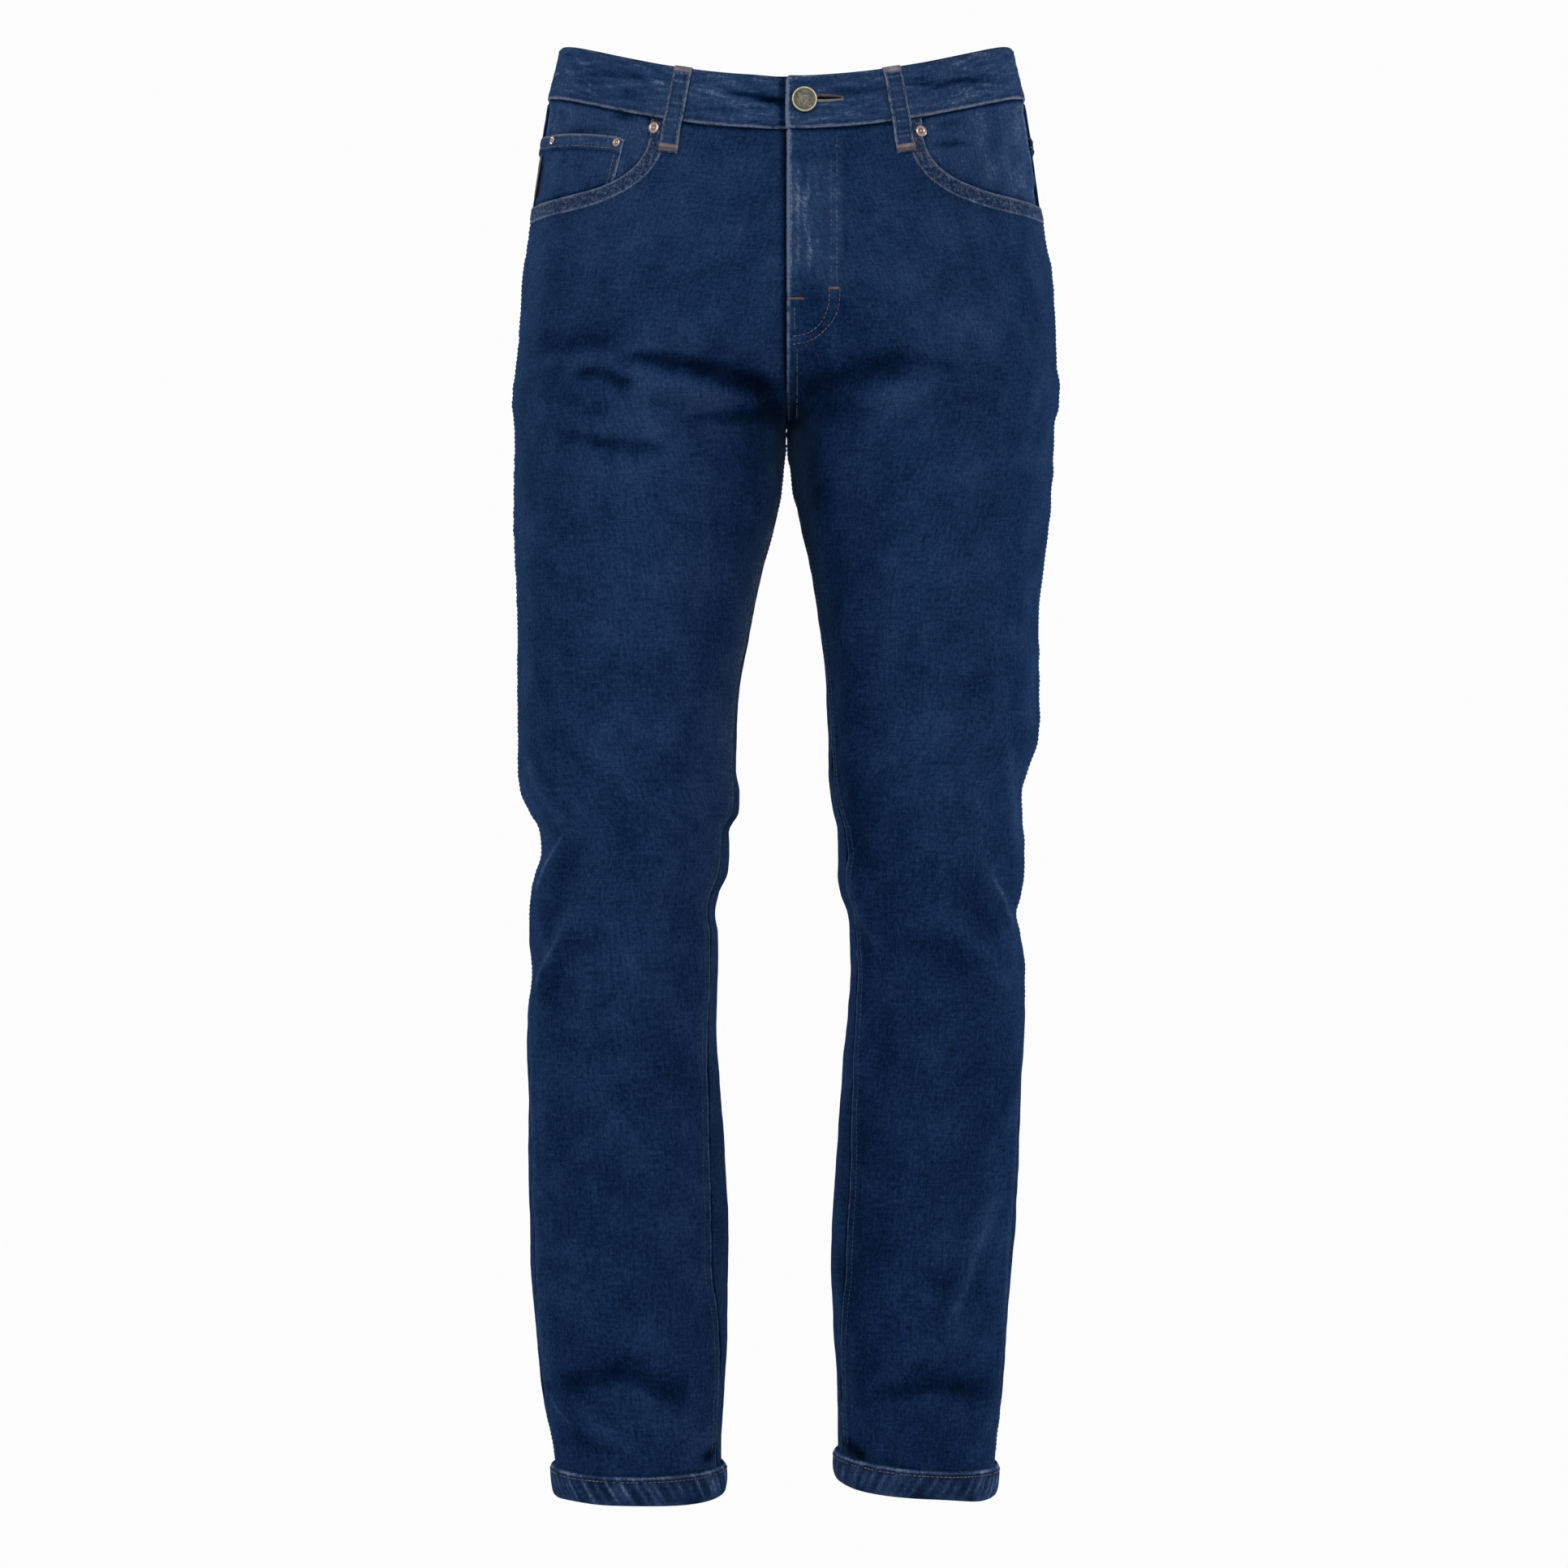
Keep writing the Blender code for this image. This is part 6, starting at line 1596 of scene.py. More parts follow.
# ---------------------------------------------------------------- pockets


def bearer_lift(side, angle, level):
    """Lift of the cloth behind a pocket mouth, which comes out at the side seam."""
    from_seam = (angle - seam_angles(side, level)[0]) * oval(side, level)[3]
    at_seam = 1 - smooth(from_seam / FLUSH_RUN)
    above = 1 - smooth((level - FLUSH_END) / FLUSH_FADE)
    return BEARER_LIFT + BEARER_FLUSH * at_seam * above


def build_bearer(side):
    """Denim behind a front pocket's mouth, which runs on under the front panel."""
    levels = WAIST_SEAM + 0.0003 + close_ends(0.112, 52)
    grid = panel_grid(side, "front", lambda u: np.repeat(levels[:, None], len(u), axis=1), 84)
    points = grid["points"]
    centre = (points[:-1, :-1] + points[1:, :-1] + points[:-1, 1:] + points[1:, 1:]) / 4
    a = np.maximum(MOUTH_CORNER[0] - side * centre[..., 0], 0) / (MOUTH_WIDTH + BEARER_MARGIN)
    b = np.maximum(MOUTH_CORNER[1] - centre[..., 2], 0) / (MOUTH_DEPTH + BEARER_MARGIN)
    kept = a**MOUTH_POWER + b**MOUTH_POWER < 1
    place = np.stack([grid["from_out"], grid["level"]], axis=-1)
    inside = smooth((mouth_reach(side * points[..., 0], points[..., 2]) - 0.97) / 0.05)
    free = 1 - inside
    lift = bearer_lift(side, grid["angle"], grid["level"])
    lift = lift + free * (0.0005 * bends(place, 0.05, 51 + side) + 0.0002 * bends(place, 0.016, 53))
    seam = seam_edge(grid["from_out"], 0.0007, 1 + 0.4 * bends(grid["level"], 0.018, 55))
    below_band = grid["level"] - levels[0]
    lift = lift + seam + BEARER_RISE * free * (1 - smooth((below_band - 0.001) / 0.010))
    away = from_line(mouth_line(side), points[..., 0], points[..., 2])[0]
    # Painted shadow under the pocket mouth's edge, under the waistband and in the side seam; the ridge beside the seam
    # is worn paler.
    tone = 0.36 + 0.09 * bends(place, 0.025, 57) - 0.55 * np.exp(-((away / 0.0022) ** 2)) - 0.10 * np.exp(-((away / 0.006) ** 2))
    tone = tone - 1.1 * np.exp(-(((grid["level"] - levels[0]) / 0.0016) ** 2))
    tone = tone + 0.22 * np.exp(-(((grid["from_out"] - 0.0045) / 0.0022) ** 2)) - 0.4 * np.exp(-((grid["from_out"] / 0.0012) ** 2))
    for crease in BEARER_CREASES:
        if crease.side == side:
            more, shade = lay_crease(crease, points[..., 0], points[..., 2])
            lift, tone = lift + more, tone + shade
    outer = points + grid["normals"] * lift[..., None]
    name = f"bearer_{SIDE_NAMES[side]}"
    values = {**cloth_values(grid), "tone": tone}
    obj = cloth_shell(name, outer, grid["normals"], TRIM_CLOTH, ("denim_bearer", "denim_inside"), values, kept)
    grid.update(outer=outer, outer_normals=grid["normals"])
    SHAPES[name] = grid
    dress(obj, name)


def level_on(side, angle, line):
    """Levels at which the cloth at some angles meets a line of places seen square on."""
    line = np.array(line)
    line = line[np.argsort(line[:, 0])]
    level = -np.interp(0, line[:, 0], line[:, 1]) * np.ones_like(angle)
    for _ in range(20):
        place = skin(side, angle, level)
        level = level + (place[..., 2] - np.interp(place[..., 0], line[:, 0], line[:, 1]))
    return level


def build_coin_pocket():
    """Small patch pocket on the right bearer, its far side caught in the side seam."""
    down, over = close_ends(1.0, 44, (0, 0.006, 0.016, 0.032, 0.054)), close_ends(1.0, 44, (0, 0.005, 0.012, 0.022, 0.04))
    end_angle, end_level = front_place(RIGHT, [-COIN_TOP[-1][0], -COIN_SIDE_END[0]], [COIN_TOP[-1][1], COIN_SIDE_END[1]])
    start_angle = seam_angles(RIGHT, end_level)[0] + 0.0006
    corner = start_angle[:, None] + (end_angle - start_angle)[:, None] * over
    rows = [level_on(RIGHT, corner[0], COIN_TOP), level_on(RIGHT, corner[1], (COIN_FOOT, COIN_SIDE_END))]
    level = rows[0] + (rows[1] - rows[0]) * down[:, None]
    angle = corner[0] + (corner[1] - corner[0]) * down[:, None]
    points, normals = skin(RIGHT, angle, level), outward(RIGHT, angle, level)
    from_top = np.linalg.norm(points - points[:1], axis=-1)
    from_edge = np.linalg.norm(points - points[:, -1:], axis=-1)
    place = np.stack([from_edge, from_top], axis=-1)
    lift = bearer_lift(RIGHT, angle, level) + COIN_GAP + COIN_THICK + 0.0003
    lift = lift + seam_edge(seam_gap(RIGHT, angle, level), 0.0007, 1)
    hem = smooth(from_top / 0.0012) * (1 - smooth((from_top - 0.0098) / 0.0014))
    lift = lift + 0.00045 * hem - 0.0006 * (1 - smooth(from_top / 0.0012)) - 0.0006 * (1 - smooth(from_edge / 0.0012))
    lift = lift + 0.0003 * bends(place, 0.022, 58) * smooth(from_edge / 0.004)
    lines = np.exp(-(((from_top - 0.0017) / 0.0006) ** 2)) + np.exp(-(((from_top - 0.0092) / 0.0006) ** 2))
    sides = np.exp(-(((from_edge - 0.0017) / 0.0006) ** 2)) + np.exp(-(((from_edge - 0.0053) / 0.0006) ** 2))
    lift = lift - 0.0002 * (lines + sides)
    tone = 0.16 + 0.20 * hem + 0.95 * np.exp(-(((from_top - 0.0006) / 0.0009) ** 2)) + 0.06 * bends(place, 0.018, 59)
    tone = tone + 0.80 * np.exp(-(((from_edge - 0.0006) / 0.0009) ** 2)) * smooth(from_top / 0.004)
    # Painted shadow under the turned top and in the stitching grooves.
    tone = tone - 0.40 * np.exp(-(((from_top - 0.0116) / 0.0012) ** 2)) - 0.14 * (lines + sides)
    # Painted shadow of the front panel's mouth edge.
    away = from_line(mouth_line(RIGHT), points[..., 0], points[..., 2])[0]
    tone = tone - 0.60 * np.exp(-((away / 0.0020) ** 2))
    outer = points + normals * lift[..., None]
    values = {"cloth": np.stack([from_edge + 9.0, from_top, 0 * from_top], axis=-1), "tone": tone}
    obj = cloth_shell("coin_pocket", outer, normals, COIN_THICK, ("denim_bearer", "denim_inside"), values)
    SHAPES["coin_pocket"] = {
        "outer": outer, "outer_normals": normals, "from_top": from_top, "from_edge": from_edge, "level": level,
    }
    dress(obj, "coin_pocket")


def seam_gap(side, angle, level):
    """Distance from the side seam towards the front."""
    return (angle - seam_angles(side, level)[0]) * oval(side, level)[3]


def build_back_pocket(side):
    """Five-sided patch pocket on a back panel."""
    down = close_ends(1.0, 52, (0, 0.003, 0.008, 0.016, 0.027, 0.042))
    over = 2 * close_ends(1.0, 44, (0, 0.003, 0.008, 0.016, 0.027)) - 1
    down, over = np.meshgrid(down, over, indexing="ij")
    foot = BACK_POCKET_POINT + (BACK_POCKET_SIDE - BACK_POCKET_POINT) * np.abs(over)
    drop = down * foot
    half = BACK_POCKET_TOP + (BACK_POCKET_FOOT - BACK_POCKET_TOP) * np.clip(drop / BACK_POCKET_SIDE, 0, 1)
    reach = over * half
    x = BACK_POCKET_CENTRE[0] + reach
    z = BACK_POCKET_CENTRE[1] - drop + BACK_POCKET_SLOPE * reach
    level = -z
    across, half_width, _, _ = oval(side, level)
    angle = -np.arccos(np.clip((x - across) / half_width, -1, 1))
    points, normals = skin(side, angle, level), outward(side, angle, level)
    fold, fold_tone = creases_at(side, "back", angle, points)
    sides = (1 - np.abs(over)) * half
    bottom = (foot - drop) * 0.96
    rim = np.minimum(sides, bottom)
    edge = np.minimum(rim, drop)
    place = np.stack([reach, drop], axis=-1)
    hem = 1 - smooth((drop - 0.024) / 0.0016)
    lift = BACK_POCKET_GAP + TRIM_CLOTH + 0.0006 + fold + 0.0003 * bends(place, 0.05, 63 + side)
    lift = lift - 0.0009 * (1 - smooth(edge / 0.0013)) + 0.0005 * hem
    lift = lift + 0.0003 * np.exp(-(((rim - 0.0050) / 0.004) ** 2)) * (1 + 0.5 * bends(reach + drop, 0.016, 64))
    tone = fold_tone + 0.045 + 0.05 * bends(place, 0.03, 65) + 0.30 * np.exp(-(((edge - 0.0007) / 0.0009) ** 2))
    tone = tone + 0.05 * np.exp(-(((rim - 0.006) / 0.004) ** 2)) * bends(reach - drop, 0.009, 66)
    # Painted shadow below the turned top.
    tone = tone - 0.14 * np.exp(-(((drop - 0.0262) / 0.0014) ** 2))
    outer = points + normals * lift[..., None]
    name = f"back_pocket_{SIDE_NAMES[side]}"
    values = {"cloth": np.stack([reach + 11.0 + side, drop, 0 * drop], axis=-1), "tone": tone}
    obj = cloth_shell(name, outer, normals, TRIM_CLOTH, ("denim", "denim_inside"), values)
    SHAPES[name] = {
        "outer": outer, "outer_normals": normals, "drop": drop, "rim": rim, "over": over, "sides": sides, "bottom": bottom,
        "level": level,
    }
    dress(obj, name)


class JEANS_OT_pockets(Operator):
    """Build the pocket bearers, the coin pocket and the back pockets"""

    bl_idname = "jeans.pockets"
    bl_label = "Pockets"

    def execute(self, context):
        for side in (RIGHT, LEFT):
            build_bearer(side)
            build_back_pocket(side)
        build_coin_pocket()
        return {"FINISHED"}


# ---------------------------------------------------------------- hems, tab and zip


def build_hem(side):
    """Turned band round the end of a leg, roped by its slanting pull."""
    u = np.linspace(0, 1, 400)
    level = np.full(u.shape, PANEL_END)
    angle = np.concatenate([panel_angle(side, "front", u, level), panel_angle(side, "back", u, level)[::-1][1:] + 2 * pi])
    line = skin(side, angle, np.full(angle.shape, PANEL_END))
    arc = np.concatenate([[0], np.cumsum(np.linalg.norm(np.diff(line, axis=0), axis=1))])
    stations = np.linspace(0, arc[-1], 330, endpoint=False)
    section = through([(point.level, point.lift) for point in HEM_SECTION], 38, closed=True)
    level, turn = np.meshgrid(section[:, 0], np.interp(stations, arc, angle), indexing="ij")
    base = np.repeat(section[:, 1][:, None], len(stations), axis=1)
    along = np.repeat(stations[None, :], len(section), axis=0)
    facing = smooth((base - 0.0004) / 0.002)
    lift, tone = base.copy(), -0.10 * facing
    dice = np.random.default_rng(201 + side)
    slant = along - 0.55 * (level - HEM_TOP)
    position = dice.uniform(0, 0.006)
    while position < arc[-1]:
        width, strength = dice.uniform(0.0012, 0.0028), dice.uniform(0.35, 1.0)
        tall, middle = dice.uniform(0.0060, 0.0105), HEM_TOP + dice.uniform(0.0080, 0.0125)
        off = np.abs(slant - position)
        off = np.minimum(off, arc[-1] - off)
        mark = strength * np.exp(-((off / width) ** 2)) * np.exp(-(((level - middle) / tall) ** 4))
        lift, tone = lift + 0.0005 * mark * facing, tone + 0.95 * mark * facing
        position += dice.uniform(0.0045, 0.0115)
    ring = 2 * pi * along / arc[-1]
    wave = np.stack([np.cos(ring), np.sin(ring)], axis=-1) * arc[-1] / (2 * pi)
    lift = lift + facing * (0.0004 * bends(wave, 0.05, 205 + side) + 0.0002 * bends(wave, 0.012, 206))
    low = 0.0010 * bends(wave, 0.08, 207 + side) * smooth((level - HEM_TOP - 0.006) / 0.015)
    top_ridge = np.exp(-(((level - HEM_TOP - 0.0008) / 0.0011) ** 2)) * (0.8 + 0.3 * bends(wave, 0.03, 209))
    foot = np.exp(-(((level - 1.0390) / 0.0020) ** 2)) * (0.5 + 0.5 * bends(wave, 0.02, 208))
    # A worn top ridge and foot, with painted shade in the stitching groove below the ridge.
    tone = tone + facing * (0.95 * top_ridge + 0.45 * foot - 0.25 * np.exp(-(((level - HEM_TOP - 0.0030) / 0.0012) ** 2)))
    # Painted shade on the turned-under part of the band.
    tone = tone - 0.5 * (base < 0.0003)
    points = skin(side, turn, level + low) + outward(side, turn, level + low) * lift[..., None]
    name = f"hem_{SIDE_NAMES[side]}"
    rows, columns = level.shape
    closed = quads_of(rows + 1, columns, ring=True) % (rows * columns)
    run = np.concatenate([[0], np.cumsum(np.linalg.norm(np.diff(points[:, 0], axis=0), axis=1))])
    cloth = np.stack([along, np.repeat(run[:, None], columns, axis=1) + 13.0, 0 * along], axis=-1)
    values = {"cloth": cloth.reshape(-1, 3), "tone": tone.ravel()}
    faces = closed if side == RIGHT else closed[:, ::-1]
    obj = mesh_object(name, points.reshape(-1, 3), faces, ("denim_hem",), None, values)
    SHAPES[name] = {"outer": points, "outer_normals": outward(side, turn, level), "level": level, "base": base}
    dress(obj, name)


def build_tab():
    """Bare woven tab caught in the right side seam."""
    down, over = close_ends(TAB_END - TAB_TOP, 30, (0, 0.0003, 0.0008)), close_ends(TAB_WIDTH, 12, (0, 0.0003, 0.0008))
    level, across = np.meshgrid(TAB_TOP + down, over, indexing="ij")
    angle = seam_angles(RIGHT, level)[0] + (across + 0.0003) / oval(RIGHT, level)[3]
    points, normals = skin(RIGHT, angle, level), outward(RIGHT, angle, level)
    edge = np.minimum(np.minimum(across, TAB_WIDTH - across), np.minimum(level - TAB_TOP, TAB_END - level))
    lift = TAB_THICK + 0.0009 * smooth((across - 0.002) / 0.006) - 0.0002 * (1 - smooth(edge / 0.0006))
    outer = points + normals * lift[..., None]
    values = {"cloth": np.stack([across, level, 0 * level], axis=-1), "tone": 0.2 * np.exp(-((edge / 0.0007) ** 2))}
    obj = cloth_shell("side_tab", outer, normals, TAB_THICK, ("tab_weave", "tab_weave"), values)
    dress(obj, "side_tab")


def behind_fly(x, level, depth):
    """Points behind the fronts' cloth near the centre: x off the centre plane, depth in from it."""
    places = []
    for side in (RIGHT, LEFT):
        across, half_width, _, _ = oval(side, level)
        angle = np.arccos(np.clip((np.abs(x) - across) / half_width, -1, 1))
        places.append(skin(side, angle, level))
    point = np.where((x < 0)[..., None], places[0], places[1])
    return np.stack([x, point[..., 1] + depth, point[..., 2]], axis=-1)


def build_zip_tape():
    """The zip's woven tapes, in one shallow tray behind the fly."""
    level, x = np.meshgrid(np.linspace(ZIP_TOP, ZIP_END, 90), np.linspace(-ZIP_EDGE, ZIP_EDGE, 25), indexing="ij")
    deep = 1 - smooth((np.abs(x) - ZIP_TRAY) / (ZIP_EDGE - ZIP_TRAY))
    depth = ZIP_EDGE_DEPTH + (ZIP_TRAY_DEPTH - ZIP_EDGE_DEPTH) * deep
    outer = behind_fly(x, level, depth)
    normals = np.zeros_like(outer)
    normals[..., 1] = -1.0
    values = {"cloth": np.stack([x, level, 0 * x], axis=-1), "tone": 0.3 * np.exp(-(((np.abs(x) - 0.011) / 0.0008) ** 2))}
    obj = cloth_shell("zip_tape", outer, normals, TAPE_THICK, ("tape_weave", "tape_weave"), values)
    dress(obj, "zip_tape")


def build_zip_chain():
    """The closed zip's teeth, side by side from the slider down."""
    levels = np.arange(CHAIN_TOP + 0.0006, ZIP_END - 0.0006, TOOTH_PITCH / 2)
    rounded = [(-1, -1), (-0.9, 1), (0.9, 1), (1, -1)]
    points, faces = [], []
    for number, level in enumerate(levels):
        way = 1 if number % 2 else -1
        x = np.array([-0.0006, 0.0011, CHAIN_HALF]) * way
        half = np.array([0.0004, 0.00045, 0.0003])
        corners = []
        for i in range(3):
            for up, out in rounded:
                depth = ZIP_TRAY_DEPTH - 0.0003 - CHAIN_THICK * (0.5 + 0.5 * out)
                corners.append(behind_fly(np.array(x[i]), np.array(level + up * half[i]), depth))
        base = len(points)
        points += corners
        for i in range(2):
            for k in range(4):
                a, b = base + 4 * i + k, base + 4 * i + (k + 1) % 4
                faces.append((a, b, b + 4, a + 4))
        faces += [(base + 3, base + 2, base + 1, base), (base + 8, base + 9, base + 10, base + 11)]
    obj = mesh_object("zip_chain", np.array(points), np.array(faces), ("zip_brass",))
    fix_normals(obj)
    dress(obj, "zip_chain")


def fix_normals(obj):
    """Turn an object's faces outwards."""
    build = bmesh.new()
    build.from_mesh(obj.data)
    bmesh.ops.recalc_face_normals(build, faces=build.faces)
    build.to_mesh(obj.data)
    build.free()


class JEANS_OT_trims(Operator):
    """Build the hem bands, the side tab and the zip"""

    bl_idname = "jeans.trims"
    bl_label = "Hems, tab and zip"

    def execute(self, context):
        for side in (RIGHT, LEFT):
            build_hem(side)
        build_tab()
        build_zip_tape()
        build_zip_chain()
        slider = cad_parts["zip_slider"]
        slider.data.materials.clear()
        slider.data.materials.append(bpy.data.materials["zip_brass"])
        return {"FINISHED"}


# ---------------------------------------------------------------- metal


def build_turned(name, profile, scale, material, side, x, height, lift):
    """A round metal piece on the front's cloth, from a profile about its own axis."""
    angle, level = front_place(side, x, height)
    normal = outward(side, angle, level)
    seat = skin(side, angle, level) + normal * lift
    up = np.array([0.0, 0.0, 1.0])
    first = np.cross(up, normal)
    first /= np.linalg.norm(first)
    second = np.cross(normal, first)
    turn = np.linspace(0, 2 * pi, TURN_STEPS, endpoint=False)
    ring = np.cos(turn)[:, None] * first + np.sin(turn)[:, None] * second
    radius = np.array([point.radius for point in profile]) * scale
    rise = np.array([point.height for point in profile]) * scale
    radius = np.maximum(radius, 0.00002)
    points = seat + radius[:, None, None] * ring + rise[:, None, None] * normal
    rubbed = np.repeat(np.array([point.rubbed for point in profile])[:, None], TURN_STEPS, axis=1)
    faces = quads_of(len(profile), TURN_STEPS, ring=True)[:, ::-1]
    count = len(profile) * TURN_STEPS
    obj = mesh_object(name, points.reshape(-1, 3), faces, (material,), None, {"rubbed": rubbed.ravel()[:count]})
    build = bmesh.new()
    build.from_mesh(obj.data)
    for start in (0, count - TURN_STEPS):
        build.verts.ensure_lookup_table()
        build.faces.new([build.verts[start + k] for k in range(TURN_STEPS)])
    bmesh.ops.recalc_face_normals(build, faces=build.faces)
    build.to_mesh(obj.data)
    build.free()
    dress(obj, name)


class JEANS_OT_metal(Operator):
    """Build the shank button and the rivets"""

    bl_idname = "jeans.metal"
    bl_label = "Button and rivets"

    def execute(self, context):
        build_turned("button", BUTTON_PROFILE, 1.0, "aged_brass", LEFT, BUTTON_X, BUTTON_Z, BUTTON_LIFT)
        for place in RIVET_PLACES:
            build_turned(
                place.name, RIVET_PROFILE, place.scale, "copper", place.side, place.x, place.height, place.lift + 0.0006
            )
        return {"FINISHED"}


# ---------------------------------------------------------------- stitching

THREADS = ("thread_copper", "thread_rose", "thread_navy", "thread_beige")
# One stitch's rings along its length: place, thickness and how far it dives.
STITCH_RINGS = ((-0.46, 0.60, -0.55), (-0.22, 1.0, 0.0), (0.22, 1.0, 0.0), (0.46, 0.60, -0.55))
STITCH_TIP = (0.5, -0.85)
STITCH_SIDES = 5


class Seamstress:
    """Gathers the stitches of one piece and makes them one mesh."""

    def __init__(self, piece, seed):
        self.piece = piece
        self.dice = np.random.default_rng(seed)
        self.laid = []

    def lay(self, centres, along, normals, length, radius, thread):
        """Stitches at some centres, pointing along, standing on a surface with some normals."""
        if len(centres) == 0:
            return
        count = len(centres)
        ones = np.ones(count)
        shade = self.dice.uniform(0, 1, count)
        self.laid.append((centres, along, normals, length * ones, radius * ones, THREADS.index(thread) * ones, shade))

    def row(self, line, normals, thread, pitch=None, length=None, radius=None, rise=0.3, skip=0.0):
        """A line of stitches, end to end along some points."""
        settings = bpy.context.scene.jeans_stitches
        pitch, length, radius = pitch or settings.pitch, length or settings.length, radius or settings.radius
        if len(line) < 2:
            return
        arc = np.concatenate([[0], np.cumsum(np.linalg.norm(np.diff(line, axis=0), axis=1))])
        if arc[-1] < pitch:
            return
        at = np.arange(pitch / 2, arc[-1] - pitch / 2, pitch)
        at = at + self.dice.normal(0, 0.04 * pitch, len(at))
        at = at[self.dice.uniform(0, 1, len(at)) >= skip]

        def read(places, values):
            return np.stack([np.interp(places, arc, values[:, k]) for k in range(3)], axis=1)

        centres, upright = read(at, line), unit(read(at, normals))
        along = unit(read(at + length / 2, line) - read(at - length / 2, line))
        aside = np.cross(upright, along)
        along = unit(along + aside * self.dice.normal(0, 0.05, (len(at), 1)))
        lengths = length * self.dice.uniform(0.93, 1.05, len(at))
        radii = radius * self.dice.uniform(0.9, 1.1, len(at))
        self.lay(centres + upright * (rise * radius), along, upright, lengths, radii, thread)

    def tack(self, line, normals, width, thread, pitch=0.00042, radius=0.00027):
        """A bar of close stitches, each across the line."""
        arc = np.concatenate([[0], np.cumsum(np.linalg.norm(np.diff(line, axis=0), axis=1))])
        at = np.arange(0, arc[-1], pitch)

        def read(places, values):
            return np.stack([np.interp(places, arc, values[:, k]) for k in range(3)], axis=1)

        centres, upright = read(at, line), unit(read(at, normals))
        forward = unit(read(at + pitch, line) - read(at - pitch, line))
        forward[-1] = forward[-2]
        across = unit(np.cross(upright, forward) + forward * self.dice.normal(0, 0.10, (len(at), 1)))
        widths = width * self.dice.uniform(0.9, 1.12, len(at))
        self.lay(centres + upright * radius, across, upright, widths, radius * 1.15, thread)

    def finish(self):
        """One mesh of every stitch laid, riding with the piece."""
        if not self.laid:
            return
        centres, along, normals, length, radius, thread, shade = (
            np.concatenate([laid[k] for laid in self.laid]) for k in range(7)
        )
        turn = np.linspace(0, 2 * pi, STITCH_SIDES, endpoint=False)
        body = [(x, np.cos(a) * r, np.sin(a) * r + dive) for x, r, dive in STITCH_RINGS for a in turn]
        body += [(-STITCH_TIP[0], 0, STITCH_TIP[1]), (STITCH_TIP[0], 0, STITCH_TIP[1])]
        body = np.array(body)
        faces = []
        for ring in range(len(STITCH_RINGS) - 1):
            for k in range(STITCH_SIDES):
                a, b = ring * STITCH_SIDES + k, ring * STITCH_SIDES + (k + 1) % STITCH_SIDES
                c, d = a + STITCH_SIDES, b + STITCH_SIDES
                faces += [(a, b, d), (a, d, c)]
        last = (len(STITCH_RINGS) - 1) * STITCH_SIDES
        tip = len(body) - 2
        for k in range(STITCH_SIDES):
            n = (k + 1) % STITCH_SIDES
            faces += [(n, k, tip), (last + k, last + n, tip + 1)]
        faces = np.array(faces)
        aside = np.cross(normals, along)
        points = (
            centres[:, None]
            + along[:, None] * (body[None, :, 0:1] * length[:, None, None])
            + aside[:, None] * (body[None, :, 1:2] * radius[:, None, None])
            + normals[:, None] * (body[None, :, 2:3] * radius[:, None, None])
        )
        every = (faces[None] + (np.arange(len(centres)) * len(body))[:, None, None]).reshape(-1, 3)
        slots = np.repeat(thread, len(faces))
        values = {"shade": np.repeat(shade, len(body))}
        obj = mesh_object(f"stitching_{self.piece}", points.reshape(-1, 3), every, THREADS, slots, values)
        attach(obj, "root")


def unit(vectors):
    """Vectors of length 1 along the given ones."""
    return vectors / np.maximum(np.linalg.norm(vectors, axis=-1, keepdims=True), 1e-12)


def down_grid(shape, key, value, top=-1.0, end=2.0):
    """Line down a grid's rows where one of its fields has a value: points and normals."""
    field, outer, normals, level = shape[key], shape["outer"], shape["outer_normals"], shape["level"]
    points, upright = [], []
    for i, row in enumerate(field):
        order = np.argsort(row)
        if not row.min() <= value <= row.max() or not top <= level[i].mean() <= end:
            continue
        points.append([np.interp(value, row[order], outer[i, order, k]) for k in range(3)])
        upright.append([np.interp(value, row[order], normals[i, order, k]) for k in range(3)])
    return np.array(points), np.array(upright)


def across_grid(shape, key, value, low=-9.0, high=9.0, other=None):
    """Line across a grid's columns where one of its fields has a value: points and normals."""
    turned = {name: np.swapaxes(array, 0, 1) for name, array in shape.items() if name in (key, "outer", "outer_normals")}
    limit = np.swapaxes(shape[other], 0, 1) if other else np.zeros(turned[key].shape)
    turned["level"] = limit
    return down_grid(turned, key, value, low, high)


def cast(name, places):
    """Where lines of sight along Y, at places seen square on, meet the front of a piece."""
    points, upright = [], []
    for x, z in places:
        spot, normal, _, _ = SURFACES[name].ray_cast(Vector((x, -1, z)), Vector((0, 1, 0)))
        if spot is not None:
            points.append(spot[:])
            upright.append((normal if normal.y < 0 else -normal)[:])
    return np.array(points), np.array(upright)


def beside(line, distance):
    """A line of places seen square on, moved to its left by a distance."""
    line = np.asarray(line, float)
    along = unit(np.gradient(line, axis=0))
    return line + distance * np.stack([-along[:, 1], along[:, 0]], axis=1)


def straight(x, top, end, count=50):
    """Places down a straight line seen square on."""
    return np.stack([np.full(count, x), np.linspace(top, end, count)], axis=1)


